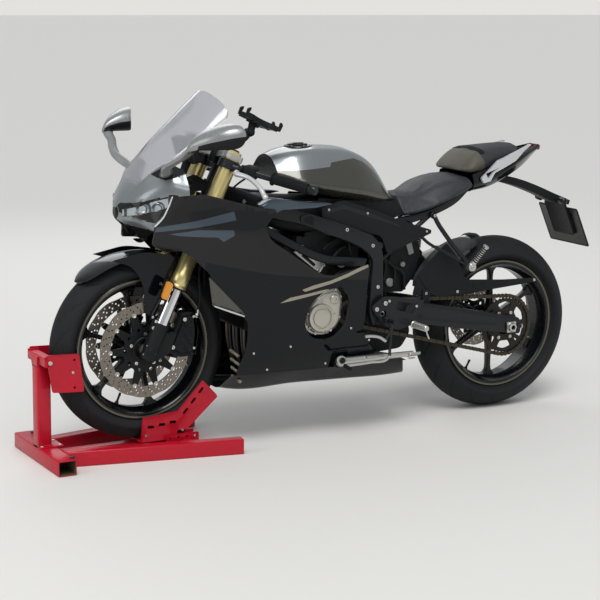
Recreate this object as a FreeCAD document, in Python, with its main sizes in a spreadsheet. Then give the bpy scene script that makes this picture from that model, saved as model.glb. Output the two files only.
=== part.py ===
"""Middleweight sport bike on a front-wheel chock. Millimetres, +X forward, +Y left, +Z up.

The origin is on the floor below the middle of the whole object. Outlines are drawn in the
side view as (x, z) from a point on the floor below the rear axle.
"""
import FreeCAD
import Part
import math
import os
import re
from FreeCAD import Placement, Rotation, Vector

# Driving sizes: word, value in mm or degrees, what it is
SIZES = (
    ("rear_axle_x", -693.0, "rear axle ahead of the origin"),
    ("wheelbase", 1390.0, "rear axle to front axle"),
    ("rear_axle_z", 312.0, "rear axle above the floor"),
    ("front_axle_z", 345.0, "front axle above the floor, tyre standing in the chock"),
    ("rake", 25.4, "fork tilt from upright, degrees"),
    ("fork_offset", 30.0, "steering axis behind the fork legs"),
    ("fork_half", 100.0, "fork leg from the middle plane"),
    ("rim_seat_r", 218.5, "tyre bead seat radius of both rims"),
    ("rim_flange_h", 13.5, "flange above the bead seat"),
    ("rim_wall", 5.0, "rim barrel and flange wall"),
    ("front_tyre_r", 300.0, "front tyre outer radius"),
    ("front_tyre_half", 60.0, "front tyre half width"),
    ("front_rim_half", 44.0, "front rim, middle to inside of flange"),
    ("rear_tyre_r", 312.0, "rear tyre outer radius"),
    ("rear_tyre_half", 80.0, "rear tyre half width"),
    ("rear_rim_half", 57.0, "rear rim, middle to inside of flange"),
    ("spoke_count", 6.0, "spokes of each wheel"),
    ("hub_r", 33.0, "wheel hub radius"),
    ("front_hub_half", 50.0, "front hub, middle to end"),
    ("rear_hub_half", 82.0, "rear hub, middle to end"),
    ("front_disc_r", 157.0, "front brake disc radius"),
    ("front_disc_y", 60.0, "front brake disc, middle plane of the bike to disc middle"),
    ("disc_thick", 5.0, "brake disc thickness"),
    ("disc_band", 37.0, "width of the braking band"),
    ("rear_disc_r", 110.0, "rear brake disc radius"),
    ("rear_disc_y", 92.0, "rear brake disc, middle plane of the bike to disc middle"),
    ("front_axle_r", 12.5, "front axle radius"),
    ("rear_axle_r", 14.0, "rear axle radius"),
    ("axle_bore_r", 8.0, "hollow of both axles"),
    ("bearing_fit", 0.05, "running clearance on shafts"),
    ("seat_gap", 0.3, "gap between pieces that seat on each other"),
    ("fork_outer_r", 27.0, "upper fork tube radius"),
    ("fork_inner_r", 20.5, "bright fork leg radius"),
    ("fork_foot_r", 26.5, "fork foot radius"),
    ("fork_foot_top", 97.0, "fork foot, axle to upper end along the fork"),
    ("fork_outer_low", 224.0, "upper tube, axle to lower end along the fork"),
    ("fork_outer_top", 700.0, "upper tube, axle to top along the fork"),
    ("lower_yoke_s", 470.0, "lower yoke underside, axle along the fork"),
    ("upper_yoke_s", 672.0, "upper yoke underside, axle along the fork"),
    ("lower_yoke_thick", 30.0, "lower yoke thickness"),
    ("upper_yoke_thick", 18.0, "upper yoke thickness"),
    ("stem_r", 15.0, "steering stem radius"),
    ("head_r", 33.0, "steering head tube radius"),
    ("grip_r", 17.0, "hand grip radius"),
    ("bar_r", 11.0, "handlebar tube radius"),
    ("chain_pitch", 15.875, "drive chain pitch"),
    ("chain_links", 112.0, "drive chain links"),
    ("chain_plate", 1.8, "chain plate thickness"),
    ("chain_inside", 6.4, "width between the chain plates"),
    ("chain_y", 96.0, "chain line from the middle plane"),
    ("rear_teeth", 42.0, "teeth of the rear sprocket"),
    ("front_teeth", 15.0, "teeth of the front sprocket"),
    ("sprocket_thick", 4.4, "sprocket thickness"),
    ("front_sprocket_x", 652.0, "front sprocket shaft ahead of the rear axle"),
    ("front_sprocket_z", 412.0, "front sprocket shaft above the floor"),
    ("pivot_x", 560.0, "swingarm pivot ahead of the rear axle"),
    ("pivot_z", 412.0, "swingarm pivot above the floor"),
    ("pivot_r", 11.0, "swingarm spindle radius"),
    ("arm_inner_y", 111.0, "swingarm side, inner face from the middle plane"),
    ("arm_thick", 26.0, "swingarm side thickness"),
    ("filler_r", 32.0, "filler cap radius"),
    ("filler_z", 979.0, "filler neck top above the floor"),
    ("fairing_wall", 3.0, "body panel thickness"),
    ("screen_wall", 3.0, "windscreen thickness"),
    ("plate_wide", 230.0, "number plate width"),
    ("plate_high", 155.0, "number plate height"),
    ("plate_tilt", 24.0, "number plate, lower edge swung back, degrees"),
    ("chock_tube", 50.0, "chock long tube height"),
    ("chock_wall", 2.5, "chock tube wall"),
    ("chock_cross_x", 1684.0, "chock cross tube, rear face ahead of the rear axle"),
    ("chock_cross_wide", 60.0, "chock cross tube width"),
    ("chock_cross_half", 200.0, "chock cross tube half length"),
    ("chock_sleeper_top", 36.0, "chock sleeper under the cradle, top above the floor"),
    ("chock_post_wide", 46.0, "chock post width"),
    ("chock_post_top", 314.0, "chock post top above the floor"),
    ("clamp_y", 75.0, "chock clamp plate, inner face from the middle plane"),
    ("cradle_y", 66.0, "chock cradle plate, inner face from the middle plane"),
    ("chock_plate", 5.0, "chock sheet thickness"),
    ("stand_length", 285.0, "side stand, pivot to foot"),
    ("stand_r", 11.0, "side stand tube radius"),
    ("stand_x", 730.0, "side stand pivot ahead of the rear axle"),
    ("stand_y", 188.0, "side stand pivot from the middle plane"),
    ("stand_z", 268.0, "side stand pivot above the floor"),
    ("stand_splay", 24.5, "side stand axis tilt from level, degrees"),
)
PLATE_TOP = (-292, 0, 716)
DRAWN_WHEELBASE = 1390.0
STRETCH_REAR, STRETCH_FRONT = 620.0, 1060.0
FORK_COLLAR = 1.5
SHOCK_TUBE, SHOCK_TUBE_R = (558, 640), 14
FILLER_X, HINGE_R = 800, 3
BRIDGE_X, BRIDGE_TOP = 432, 418
WORLD_UP = Vector(0, 0, 1)

doc = FreeCAD.newDocument("SportBike")
sheet = doc.addObject("Spreadsheet::Sheet", "Sizes")
for row, (word, value, note) in enumerate(SIZES, start=1):
    sheet.set(f"A{row}", word)
    sheet.set(f"B{row}", str(value))
    sheet.set(f"C{row}", note)
    sheet.setAlias(f"B{row}", word)
doc.recompute()


class Numbers:
    """The sheet's values by name, for shapes that are worked out in code."""

    def __getattr__(self, word):
        return float(sheet.get(word))


d = Numbers()
NAMES = {word for word, _value, _note in SIZES}


def bind(thing, prop, formula):
    """Tie a property to the sheet; every sheet word in the formula gets the sheet's name."""
    text = re.sub(r"[a-z][a-z_0-9]*", lambda m: "Sizes." + m[0] if m[0] in NAMES else m[0], str(formula))
    thing.setExpression(prop, text)


def along(x):
    """A drawn x, moved by a longer or shorter wheelbase: all of it ahead of the engine."""
    share = (x - STRETCH_REAR) / (STRETCH_FRONT - STRETCH_REAR)
    return x + (d.wheelbase - DRAWN_WHEELBASE) * min(1.0, max(0.0, share))


def run(points, radius=0.0, drawn=True):
    """Closed run of lines through (x, z[, corner radius]) points, corners rounded by arcs."""
    pts = [Vector(along(p[0]) if drawn else p[0], p[1], 0) for p in points]
    radii = [p[2] if len(p) > 2 else radius for p in points]
    ins, outs, mids = [], [], []
    for i, corner in enumerate(pts):
        back, ahead = pts[i - 1] - corner, pts[(i + 1) % len(pts)] - corner
        half = back.getAngle(ahead) / 2
        cut = min(radii[i] / math.tan(half), 0.45 * back.Length, 0.45 * ahead.Length)
        back.normalize()
        ahead.normalize()
        arm = back + ahead
        if cut < 0.1 or arm.Length < 0.02:
            cut = 0.0
        ins.append(corner + back * cut)
        outs.append(corner + ahead * cut)
        mids.append(corner + arm.normalize() * (cut / math.cos(half) - cut * math.tan(half)) if cut else None)
    edges = []
    for i, mid in enumerate(mids):
        if mid is not None:
            edges.append(Part.Arc(ins[i], mid, outs[i]))
        edges.append(Part.LineSegment(outs[i], ins[(i + 1) % len(pts)]))
    return edges


def ring(x, z, radius, drawn=True):
    return [Part.Circle(Vector(along(x) if drawn else x, z, 0), WORLD_UP, radius)]


class Piece:
    """One sub-part as a body; its features are added one after another."""

    def __init__(self, label, x="rear_axle_x", z=None, tilt=None):
        self.body = doc.addObject("PartDesign::Body", label)
        self.body.Label = label
        self.body.AllowCompound = True
        if tilt:
            self.body.Placement = Placement(Vector(), Rotation(Vector(0, -1, 0), 1.0))
            bind(self.body, "Placement.Rotation.Angle", tilt)
        bind(self.body, "Placement.Base.x", x)
        if z:
            bind(self.body, "Placement.Base.z", z)

    def sketch(self, loops, role, offset):
        sketch = self.body.newObject("Sketcher::SketchObject", "Outline")
        plane = next(f for f in self.body.Origin.OriginFeatures if f.Role == role)
        sketch.AttachmentSupport = [(plane, "")]
        sketch.MapMode = "FlatFace"
        bind(sketch, "AttachmentOffset.Base.z", offset)
        for loop in loops:
            sketch.addGeometry(loop, False)
        sketch.Visibility = False
        return sketch

    def pad(self, loops, start, length, role="XZ_Plane"):
        """Extrude side-view loops from start towards +Y, or other planes along their axis."""
        side = role == "XZ_Plane"
        sketch = self.sketch(loops, role, f"-({start})" if side else start)
        pad = self.body.newObject("PartDesign::Pad", "Pad")
        pad.Profile = sketch
        bind(pad, "Length", length)
        pad.Reversed = side
        return pad

    def pocket(self, loops, start, length, role="XZ_Plane"):
        """Cut side-view loops from start towards +Y."""
        doc.recompute()
        before = self.body.Shape.Volume
        side = role == "XZ_Plane"
        sketch = self.sketch(loops, role, f"-({start})" if side else start)
        pocket = self.body.newObject("PartDesign::Pocket", "Pocket")
        pocket.Profile = sketch
        bind(pocket, "Length", length)
        pocket.Reversed = not side
        doc.recompute()
        if self.body.Shape.Volume > before - 1.0:
            raise RuntimeError(f"a pocket cuts nothing in {self.body.Label}")
        return pocket

    def turn(self, loops):
        """Revolve (y, radius) loops round the body's Y axis."""
        sketch = self.sketch(loops, "YZ_Plane", "0")
        spin = self.body.newObject("PartDesign::Revolution", "Revolution")
        spin.Profile = sketch
        spin.ReferenceAxis = (next(f for f in self.body.Origin.OriginFeatures if f.Role == "Y_Axis"), [""])
        spin.Angle = 360.0
        return spin

    def mirror(self, features):
        """Repeat features on the right side of the bike."""
        plane = next(f for f in self.body.Origin.OriginFeatures if f.Role == "XZ_Plane")
        twin = self.body.newObject("PartDesign::Mirrored", "Mirrored")
        twin.Originals = features
        twin.MirrorPlane = (plane, [""])
        self.body.Tip = twin
        return twin

    def around(self, features, count):
        """Repeat features round the body's Y axis."""
        axis = next(f for f in self.body.Origin.OriginFeatures if f.Role == "Y_Axis")
        polar = self.body.newObject("PartDesign::PolarPattern", "PolarPattern")
        polar.Originals = features
        polar.Axis = (axis, [""])
        polar.Angle = 360.0
        bind(polar, "Occurrences", count)
        self.body.Tip = polar
        return polar


def put(label, shape, x="rear_axle_x", z=None, tilt=None):
    """One sub-part whose form is worked out in code from the sheet's values."""
    part = doc.addObject("Part::Feature", label)
    part.Label = label
    part.Shape = Part.makeCompound([shape])
    if tilt:
        part.Placement = Placement(Vector(), Rotation(Vector(0, -1, 0), 1.0))
        bind(part, "Placement.Rotation.Angle", tilt)
    bind(part, "Placement.Base.x", x)
    if z:
        bind(part, "Placement.Base.z", z)
    return part


FORK = {"x": "rear_axle_x + wheelbase", "z": "front_axle_z", "tilt": "rake"}
FRONT_WHEEL = {"x": "rear_axle_x + wheelbase", "z": "front_axle_z"}
REAR_WHEEL = {"x": "rear_axle_x", "z": "rear_axle_z"}


def flat(wires):
    """Flat face with the inner wires as holes."""
    return Part.makeFace(wires, "Part::FaceMakerBullseye")


def slab(points, y0, y1, radius=0.0, holes=(), drawn=True):
    """Solid from side-view points between two y values; holes are (x, z, radius)."""
    wires = [Part.Wire([g.toShape() for g in run(points, radius, drawn)])]
    wires += [Part.Wire([g.toShape() for g in ring(*h, drawn=drawn)]) for h in holes]
    solid = flat(wires).extrude(Vector(0, 0, y1 - y0))
    solid.rotate(Vector(), Vector(1, 0, 0), 90)
    solid.translate(Vector(0, y1, 0))
    return solid


def plan(points, z0, z1, radius=0.0):
    """Solid from plan-view (x, y) points between two heights."""
    face = Part.Face(Part.Wire([g.toShape() for g in run(points, radius)]))
    solid = face.extrude(Vector(0, 0, z1 - z0))
    solid.translate(Vector(0, 0, z0))
    return solid


def flip(shape):
    """The same shape on the right side of the bike."""
    return shape.mirror(Vector(), Vector(0, 1, 0))


def both(shape):
    return [shape, flip(shape)]


def rod(start, end, radius, end_radius=None):
    """Round bar, or cone, from one (x, y, z) point to another."""
    a, b = spot(start), spot(end)
    if end_radius is None:
        return Part.makeCylinder(radius, (b - a).Length, a, b - a)
    return Part.makeCone(radius, end_radius, (b - a).Length, a, b - a)


def spot(point):
    return Vector(along(point[0]), point[1], point[2])


def bent_rod(points, radius, drawn=True):
    """Round bar along straight runs joined by tangent arcs as large as the runs allow."""
    pts = [spot(p) if drawn else Vector(*p) for p in points]
    edges, start = [], pts[0]
    for before, corner, after in zip(pts, pts[1:], pts[2:]):
        back, ahead = before - corner, after - corner
        half = back.getAngle(ahead) / 2
        cut = 0.45 * min(back.Length, ahead.Length)
        back.normalize()
        ahead.normalize()
        arm = (back + ahead).normalize()
        enter, leave = corner + back * cut, corner + ahead * cut
        mid = corner + arm * (cut / math.cos(half) - cut * math.tan(half))
        edges += [Part.LineSegment(start, enter).toShape(), Part.Arc(enter, mid, leave).toShape()]
        start = leave
    edges.append(Part.LineSegment(start, pts[-1]).toShape())
    path = Part.Wire(edges)
    end = Part.Wire([Part.Circle(pts[0], pts[1] - pts[0], radius).toShape()])
    return path.makePipeShell([end], True, True)


def section(x, points, drawn=True):
    """Closed wire across the bike at x through (y, z) points."""
    pts = [Vector(along(x) if drawn else x, y, z) for y, z in points]
    return Part.makePolygon(pts + pts[:1])


def loft(wires):
    return Part.makeLoft(wires, True, True)


def full(half):
    """Whole section from the left half's (y, z) points, listed from the middle plane round."""
    return half + [(-y, z) for y, z in reversed(half) if y > 0.01]


def moved_in(outer, wall):
    """The (y, z) points of an upward run on the left side, moved inwards by the wall."""
    inner = []
    for i, (y, z) in enumerate(outer):
        y0, z0 = outer[max(0, i - 1)]
        y1, z1 = outer[min(len(outer) - 1, i + 1)]
        length = math.hypot(y1 - y0, z1 - z0)
        inner.append((y - (z1 - z0) / length * wall, z + (y1 - y0) / length * wall))
    return inner


def fork_spot(s, t, y=0.0):
    """Point in the bike's frame from distances along and ahead of the fork line."""
    rake = math.radians(d.rake)
    x = d.wheelbase - s * math.sin(rake) + t * math.cos(rake)
    return Vector(x, y, d.front_axle_z + s * math.cos(rake) + t * math.sin(rake))


# Wheels

def tyre(label, place, radius, half, rim_half, shoulder_drop):
    """Solid round-crowned tyre on its bead seats."""
    seat, flange = d.rim_seat_r + d.bearing_fit, d.rim_seat_r + d.rim_flange_h
    crown = radius - shoulder_drop
    piece = Piece(label, **place)
    points = [Vector(p[0], p[1], 0) for p in (
        (-rim_half + 0.2, seat), (rim_half - 0.2, seat), (rim_half - 0.2, flange + 1.0),
        (half, crown), (0, radius), (-half, crown), (-rim_half + 0.2, flange + 1.0))]
    bulge = (flange + crown) / 2 - 2.0
    left, right = Vector(half - 1.5, bulge, 0), Vector(-half + 1.5, bulge, 0)
    piece.turn([[
        Part.LineSegment(points[0], points[1]), Part.LineSegment(points[1], points[2]),
        Part.Arc(points[2], left, points[3]), Part.Arc(points[3], points[4], points[5]),
        Part.Arc(points[5], right, points[6]), Part.LineSegment(points[6], points[0])]])


def rim(label, place, rim_half, hub_half, phase, spoke_half, drop):
    """Cast wheel: barrel with a well and flanges, hub, and spokes in a polar pattern."""
    piece = Piece(label, **place)
    seat, wall = d.rim_seat_r, d.rim_wall
    top, well = seat + d.rim_flange_h, seat - drop
    outer = [(rim_half, top), (rim_half, seat), (rim_half - 20, seat), (rim_half - 30, well)]
    inner = [(rim_half - 33, well - wall), (rim_half - 18, seat - wall), (rim_half + wall, seat - wall),
             (rim_half + wall, top)]
    barrel = [(-y, r) for y, r in outer] + outer[::-1] + inner[::-1] + [(-y, r) for y, r in inner]
    piece.turn([run(barrel, drawn=False)])
    bore = (d.front_axle_r if place is FRONT_WHEEL else d.rear_axle_r) + d.bearing_fit
    piece.turn([run([(-hub_half, bore), (hub_half, bore), (hub_half, d.hub_r - 6), (hub_half - 14, d.hub_r),
                     (-hub_half + 14, d.hub_r), (-hub_half, d.hub_r - 6)], drawn=False)])
    tip = well - wall + 1.5
    root = d.hub_r - 2.0
    angle = math.radians(phase)
    blade = [(root, -spoke_half * 1.7), (root + 30, -spoke_half), (tip - 22, -spoke_half * 0.8),
             (tip, -spoke_half * 2.2), (tip, spoke_half * 2.2), (tip - 22, spoke_half * 0.8),
             (root + 30, spoke_half), (root, spoke_half * 1.7)]
    turned = [(r * math.cos(angle) - w * math.sin(angle), r * math.sin(angle) + w * math.cos(angle))
              for r, w in blade]
    spoke = piece.pad([run(turned, 6.0, drawn=False)], "-15", "30")
    piece.around([spoke], "spoke_count")


def disc(piece, start, radius, bolt_ring):
    """Brake disc on its carrier: a band with windows between it and the arms."""
    band = piece.pad([ring(0, 0, radius, False), ring(0, 0, radius - d.disc_band, False)], start, "disc_thick")
    carrier = piece.pad([ring(0, 0, bolt_ring, False), ring(0, 0, d.hub_r + 1.0, False)], start, "disc_thick")
    arm_out, arm_in = radius - d.disc_band + 2, bolt_ring - 2
    arms = []
    for k in range(8):
        mid = math.radians(45 * k + 10)
        ray, across = Vector(math.cos(mid), math.sin(mid), 0), Vector(-math.sin(mid), math.cos(mid), 0) * 8
        corners = (ray * arm_in - across, ray * arm_out - across, ray * arm_out + across, ray * arm_in + across)
        arms.append(run([tuple(p)[:2] for p in corners], drawn=False))
    spokes = piece.pad(arms, start, "disc_thick")
    return [band, carrier, spokes]


def wheels():
    tyre("front_tyre", FRONT_WHEEL, d.front_tyre_r, d.front_tyre_half, d.front_rim_half, 40.0)
    tyre("rear_tyre", REAR_WHEEL, d.rear_tyre_r, d.rear_tyre_half, d.rear_rim_half, 56.0)
    rim("front_rim", FRONT_WHEEL, d.front_rim_half, d.front_hub_half, 78.0, 9.0, 16.0)
    rim("rear_rim", REAR_WHEEL, d.rear_rim_half, d.rear_hub_half, 90.0, 9.0, 16.0)
    pair = Piece("front_discs", **FRONT_WHEEL)
    left = disc(pair, "front_disc_y - disc_thick / 2", d.front_disc_r, 62.0)
    collar = pair.pad([ring(0, 0, d.hub_r + 12, False), ring(0, 0, d.hub_r + 1.0, False)],
                      "front_hub_half - 20", "front_disc_y - front_hub_half + 20 - disc_thick / 2")
    pair.mirror(left + [collar])
    single = Piece("rear_disc", **REAR_WHEEL)
    disc(single, "-rear_disc_y - disc_thick / 2", d.rear_disc_r, 56.0)
    single.pad([ring(0, 0, d.hub_r + 12, False), ring(0, 0, d.hub_r + 1.0, False)],
               "-rear_disc_y + disc_thick / 2", "rear_disc_y - rear_hub_half + 20")


# Chain drive

def pitch_radius(teeth):
    return d.chain_pitch / (2 * math.sin(math.pi / teeth))


def toothed(teeth, root_drop, tip_drop):
    """Loop of teeth: four points a tooth round the pitch circle."""
    pitch = pitch_radius(teeth)
    step = 2 * math.pi / teeth
    points = []
    for k in range(int(teeth)):
        for share, drop in ((0.10, tip_drop), (0.32, root_drop), (0.68, root_drop), (0.90, tip_drop)):
            a = (k + share) * step
            points.append(((pitch - drop) * math.cos(a), (pitch - drop) * math.sin(a)))
    return run(points, drawn=False)


def rear_sprocket():
    """Ring of teeth, slim arms and a carrier bolted to the hub."""
    piece = Piece("rear_sprocket", **REAR_WHEEL)
    inner_ring = pitch_radius(d.rear_teeth) - 26
    piece.pad([toothed(d.rear_teeth, 9.5, 6.0), ring(0, 0, inner_ring, False)],
              "chain_y - sprocket_thick / 2", "sprocket_thick")
    piece.pad([ring(0, 0, 58, False), ring(0, 0, d.hub_r + 1.0, False)],
              "chain_y - sprocket_thick / 2", "sprocket_thick")
    arm = piece.pad([run([(56, -7), (inner_ring + 2, -7), (inner_ring + 2, 7), (56, 7)], drawn=False)],
                    "chain_y - sprocket_thick / 2", "sprocket_thick")
    piece.around([arm], "6")
    piece.pad([ring(0, 0, 52, False), ring(0, 0, d.hub_r + 1.0, False)],
              "rear_hub_half - 22", "chain_y - sprocket_thick / 2 - rear_hub_half + 22")


def chain_path(offset):
    """Points and headings along the closed chain line, moved outwards by offset."""
    rear = Vector(0, d.rear_axle_z, 0)
    front = Vector(d.front_sprocket_x, d.front_sprocket_z, 0)
    r_rear, r_front = pitch_radius(d.rear_teeth), pitch_radius(d.front_teeth)
    line = front - rear
    tilt = math.atan2(line.y, line.x)
    lean = math.acos((r_rear - r_front) / line.Length)
    straight = math.sqrt(line.Length ** 2 - (r_rear - r_front) ** 2)
    lap_rear, lap_front = 2 * (math.pi - lean), 2 * lean
    total = 2 * straight + lap_rear * r_rear + lap_front * r_front
    count = int(d.chain_links) * 2
    points = []
    for k in range(count):
        s = total * k / count
        wide = offset if k % 2 == 0 else offset * 0.72
        if s < straight:
            a = tilt + lean
            start = rear + Vector(math.cos(a), math.sin(a), 0) * (r_rear + wide)
            points.append(start + Vector(math.sin(a), -math.cos(a), 0) * s)
        elif s < straight + lap_front * r_front:
            a = tilt + lean - (s - straight) / r_front
            points.append(front + Vector(math.cos(a), math.sin(a), 0) * (r_front + wide))
        elif s < 2 * straight + lap_front * r_front:
            a = tilt - lean
            start = front + Vector(math.cos(a), math.sin(a), 0) * (r_front + wide)
            points.append(start + Vector(math.sin(a), -math.cos(a), 0) * (s - straight - lap_front * r_front))
        else:
            a = tilt - lean - (s - 2 * straight - lap_front * r_front) / r_rear
            points.append(rear + Vector(math.cos(a), math.sin(a), 0) * (r_rear + wide))
    return points


def drive_chain():
    """Two waisted plate loops joined by a roller at each link."""
    half = 7.2
    loops = [Part.makePolygon(p + p[:1]) for p in (chain_path(half), chain_path(-half))]
    face = flat(loops)
    solids = []
    for low in (d.chain_y - d.chain_inside / 2 - d.chain_plate, d.chain_y + d.chain_inside / 2):
        plate = face.extrude(Vector(0, 0, d.chain_plate))
        plate.rotate(Vector(), Vector(1, 0, 0), 90)
        plate.translate(Vector(0, low + d.chain_plate, 0))
        solids.append(plate)
    roller_r = 4.6
    for p in chain_path(0)[::2]:
        corners = [Vector(p.x + roller_r * math.cos(a), p.y + roller_r * math.sin(a), 0)
                   for a in (math.radians(60 * k) for k in range(6))]
        roller = Part.Face(Part.makePolygon(corners + corners[:1])).extrude(Vector(0, 0, d.chain_inside))
        roller.rotate(Vector(), Vector(1, 0, 0), 90)
        roller.translate(Vector(0, d.chain_y + d.chain_inside / 2, 0))
        solids.append(roller)
    put("drive_chain", solids[0].multiFuse(solids[1:]))


# Frame, engine and what it carries

def main_frame():
    """Two side beams from the steering head to the swingarm pivot, with a truss below each."""
    beam = slab([(1128, 880, 8), (887, 790, 60), (612, 690, 40), (560, 650, 30), (546, 440, 40),
                 (526, 395, 20), (536, 372, 16), (592, 372, 16), (604, 410, 30), (598, 600, 30),
                 (650, 648, 40), (887, 738, 60), (1100, 790, 8)], 20, 170)
    band = plan([(1150, 26, 4), (1085, 66, 20), (1000, 112, 40), (900, 150, 60), (640, 166, 60),
                 (520, 158, 10), (520, 140, 10), (560, 139, 20), (640, 140, 40), (880, 122, 60),
                 (1000, 84, 40), (1085, 20, 4)], 300, 900)
    truss = slab([(1040, 770, 6), (1046, 738, 10), (645, 596, 20), (597, 560, 6), (597, 590, 6),
                  (640, 628, 20)], 100, 160)
    truss_band = plan([(1060, 92), (1000, 108), (880, 136), (640, 152), (590, 152), (590, 141),
                       (640, 139), (880, 122), (1000, 84), (1060, 50)], 300, 900)
    sides = []
    for piece in (beam.common(band), truss.common(truss_band)):
        sides += both(piece)
    low, high = d.lower_yoke_s + d.lower_yoke_thick, d.upper_yoke_s
    axis = -d.fork_offset
    foot, top = fork_spot(low + d.seat_gap, axis), fork_spot(high - d.seat_gap, axis)
    head = Part.makeCylinder(d.head_r, (top - foot).Length, foot, top - foot)
    bore = Part.makeCylinder(d.stem_r + d.bearing_fit, (top - foot).Length + 40,
                             foot - (top - foot).normalize() * 20, top - foot)
    shock_x, shock_z = SHOCK_TUBE
    cross = [rod((shock_x, -141, shock_z), (shock_x, 141, shock_z), SHOCK_TUBE_R),
             rod((640, -141, 655), (640, 141, 655), 12), rod((640, 0, 655), (640, 0, 793.4), 10)]
    gusset = slab([(1118, 862), (1098, 800), (1010, 770), (1000, 815)], -30, 30)
    whole = head.multiFuse(sides + [gusset] + cross).cut(bore)
    holes = [Part.makeCylinder(d.pivot_r + d.bearing_fit, 60, Vector(d.pivot_x, s * 150 - 30, d.pivot_z),
                               Vector(0, 1, 0)) for s in (1, -1)]
    put("main_frame", whole.cut(Part.makeCompound(holes)))


def subframe():
    """Seat rails, their cross tubes and struts, with lugs that seat on the beams."""
    rail = slab([(612, 674), (575, 692), (450, 728.6), (388, 737.6), (300, 761.6), (214, 795.6), (160, 817),
                 (80, 838), (-20, 868), (-20, 852), (0, 846), (80, 820), (158, 806), (214, 768), (300, 734),
                 (388, 710), (455, 698), (575, 664), (612, 652)], 40, 130)
    band = plan([(620, 112), (300, 112), (160, 88), (80, 80), (-20, 62), (-20, 50), (80, 66), (160, 74),
                 (300, 92), (620, 92)], 600, 900)
    rails = both(rail.common(band))
    ties = [Part.makeBox(20, 2 * y, 16, Vector(x, -y, z))
            for x, y, z in ((552, 93, 672), (300, 93, 738), (20, 57, 843))]
    struts = both(rod((566, 102, 560), (330, 102, 732), 8.5))
    lugs = both(Part.makeBox(22, 39.1, 20, Vector(590, 100, 652)))
    lugs += both(Part.makeBox(18, 38.8, 18, Vector(558, 100, 551)))
    put("subframe", rails[0].multiFuse(rails[1:] + ties + struts + lugs))


def engine():
    """Crankcase, gearbox and forward-leaning cylinders, with the output sprocket."""
    case = slab([(985, 420, 20), (972, 262, 30), (900, 238, 20), (706, 238, 4), (706, 490, 4), (960, 500, 20)],
                -112, 112)
    gearbox = slab([(720, 262, 10), (652, 262, 20), (612, 340, 20), (596, 470, 20), (640, 520, 20),
                    (720, 500, 10)], -112, 80)
    block = slab([(960, 480, 10), (1000, 640, 14), (820, 690, 14), (780, 500, 10)], -112, 112)
    sump = Part.makeBox(186, 150, 30, Vector(along(760), -75, 212))
    shaft = Part.makeCylinder(14, d.chain_y - 60, Vector(d.front_sprocket_x, 70, d.front_sprocket_z),
                              Vector(0, 1, 0))
    wide = d.chain_inside - 2 * d.seat_gap
    small = Part.makeCylinder(pitch_radius(d.front_teeth) - 6.0, wide,
                              Vector(d.front_sprocket_x, d.chain_y - wide / 2, d.front_sprocket_z), Vector(0, 1, 0))
    mounts = both(Part.makeBox(20, 22.4, 30, Vector(along(850), 100, 660)))
    pivot, axis = stand_pivot()
    lug = Part.makeCylinder(13, 56, Vector(pivot.x, 110, pivot.z - 14), Vector(0, 1, 0))
    ear = Part.makeCylinder(15, 14, pivot + axis * (8 + d.seat_gap), axis)
    pin = Part.makeCylinder(6, 36, pivot - axis * 14, axis)
    head = Part.makeCylinder(10, 5, pivot - axis * (13 + d.seat_gap), axis)
    put("engine", case.multiFuse([gearbox, block, sump, shaft, small, lug, ear, pin, head] + mounts))


def stand_pivot():
    """Side stand pivot and its splayed axis, pointing inwards and down."""
    splay = math.radians(d.stand_splay)
    return spot((d.stand_x, d.stand_y, d.stand_z)), Vector(0, -math.cos(splay), -math.sin(splay))


def engine_covers():
    """Left generator cover, seen through the side panel, and right clutch cover."""
    piece = Piece("engine_covers")
    piece.pad([run([(738, 518, 14), (722, 483, 12), (730, 396, 40), (780, 358, 40), (846, 366, 34),
                    (878, 412, 40), (853, 476, 30), (800, 512, 30)])], "112 + seat_gap", "76")
    piece.pad([ring(812, 424, 47)], "180", "20")
    piece.pad([ring(760, 482, 16)], "180", "14")
    piece.pad([ring(790, 395, 84)], "-150", "38 - seat_gap")
    piece.pad([ring(790, 395, 60)], "-166", "20")


def radiator():
    core = Part.makeBox(34, 300, 250, Vector(along(1036), -150, 400))
    tanks = [Part.makeBox(40, 22, 262, Vector(along(1033), y, 394)) for y in (-166, 144)]
    reach = along(1036) + 5.5 - along(985.5)
    arms = [Part.makeBox(reach, 12, 20, Vector(along(985.5), y, 560)) for y in (-63, 51)]
    put("radiator", core.multiFuse(tanks + arms))


def exhaust():
    """Four header pipes into a collector below the sump and a mid pipe to the right."""
    headers = [bent_rod([(990.4, y, 599.9), (1012, y, 594.5), (1013, y, 430), (1006, y, 262), (966, y * 0.8, 212)],
                        15) for y in (-84, -30, 30, 84)]
    collector = slab([(1000, 228, 8), (975, 194, 8), (700, 194, 10), (690, 209, 8), (940, 209, 8)], -76, 76)
    mid = bent_rod([(720, -60, 206), (660, -75, 222), (605, -118, 282), (545, -160, 306), (440, -188, 312),
                    (345, -198, 385), (300, -200, 449.2), (236, -200, 468)], 20)
    put("exhaust", collector.multiFuse(headers + [mid]))


def silencer():
    """Round silencer on the right, its ends coned."""
    front, back = Vector(236, -200, 468), Vector(-84, -200, 562)
    line = (back - front).normalize()
    length = (back - front).Length
    cone = Part.makeCone(24, 52, 60, front + line * d.seat_gap, line)
    can = Part.makeCylinder(52, length - 84, front + line * 60, line)
    tail = Part.makeCone(52, 40, 24, front + line * (length - 24), line)
    bore = Part.makeCylinder(26, 120, front + line * (length - 100), line)
    strap = slab([(190, 560), (176, 520), (196, 512), (214, 556)], -206, -196)
    put("silencer", cone.multiFuse([can, tail, strap]).cut(bore))


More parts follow.
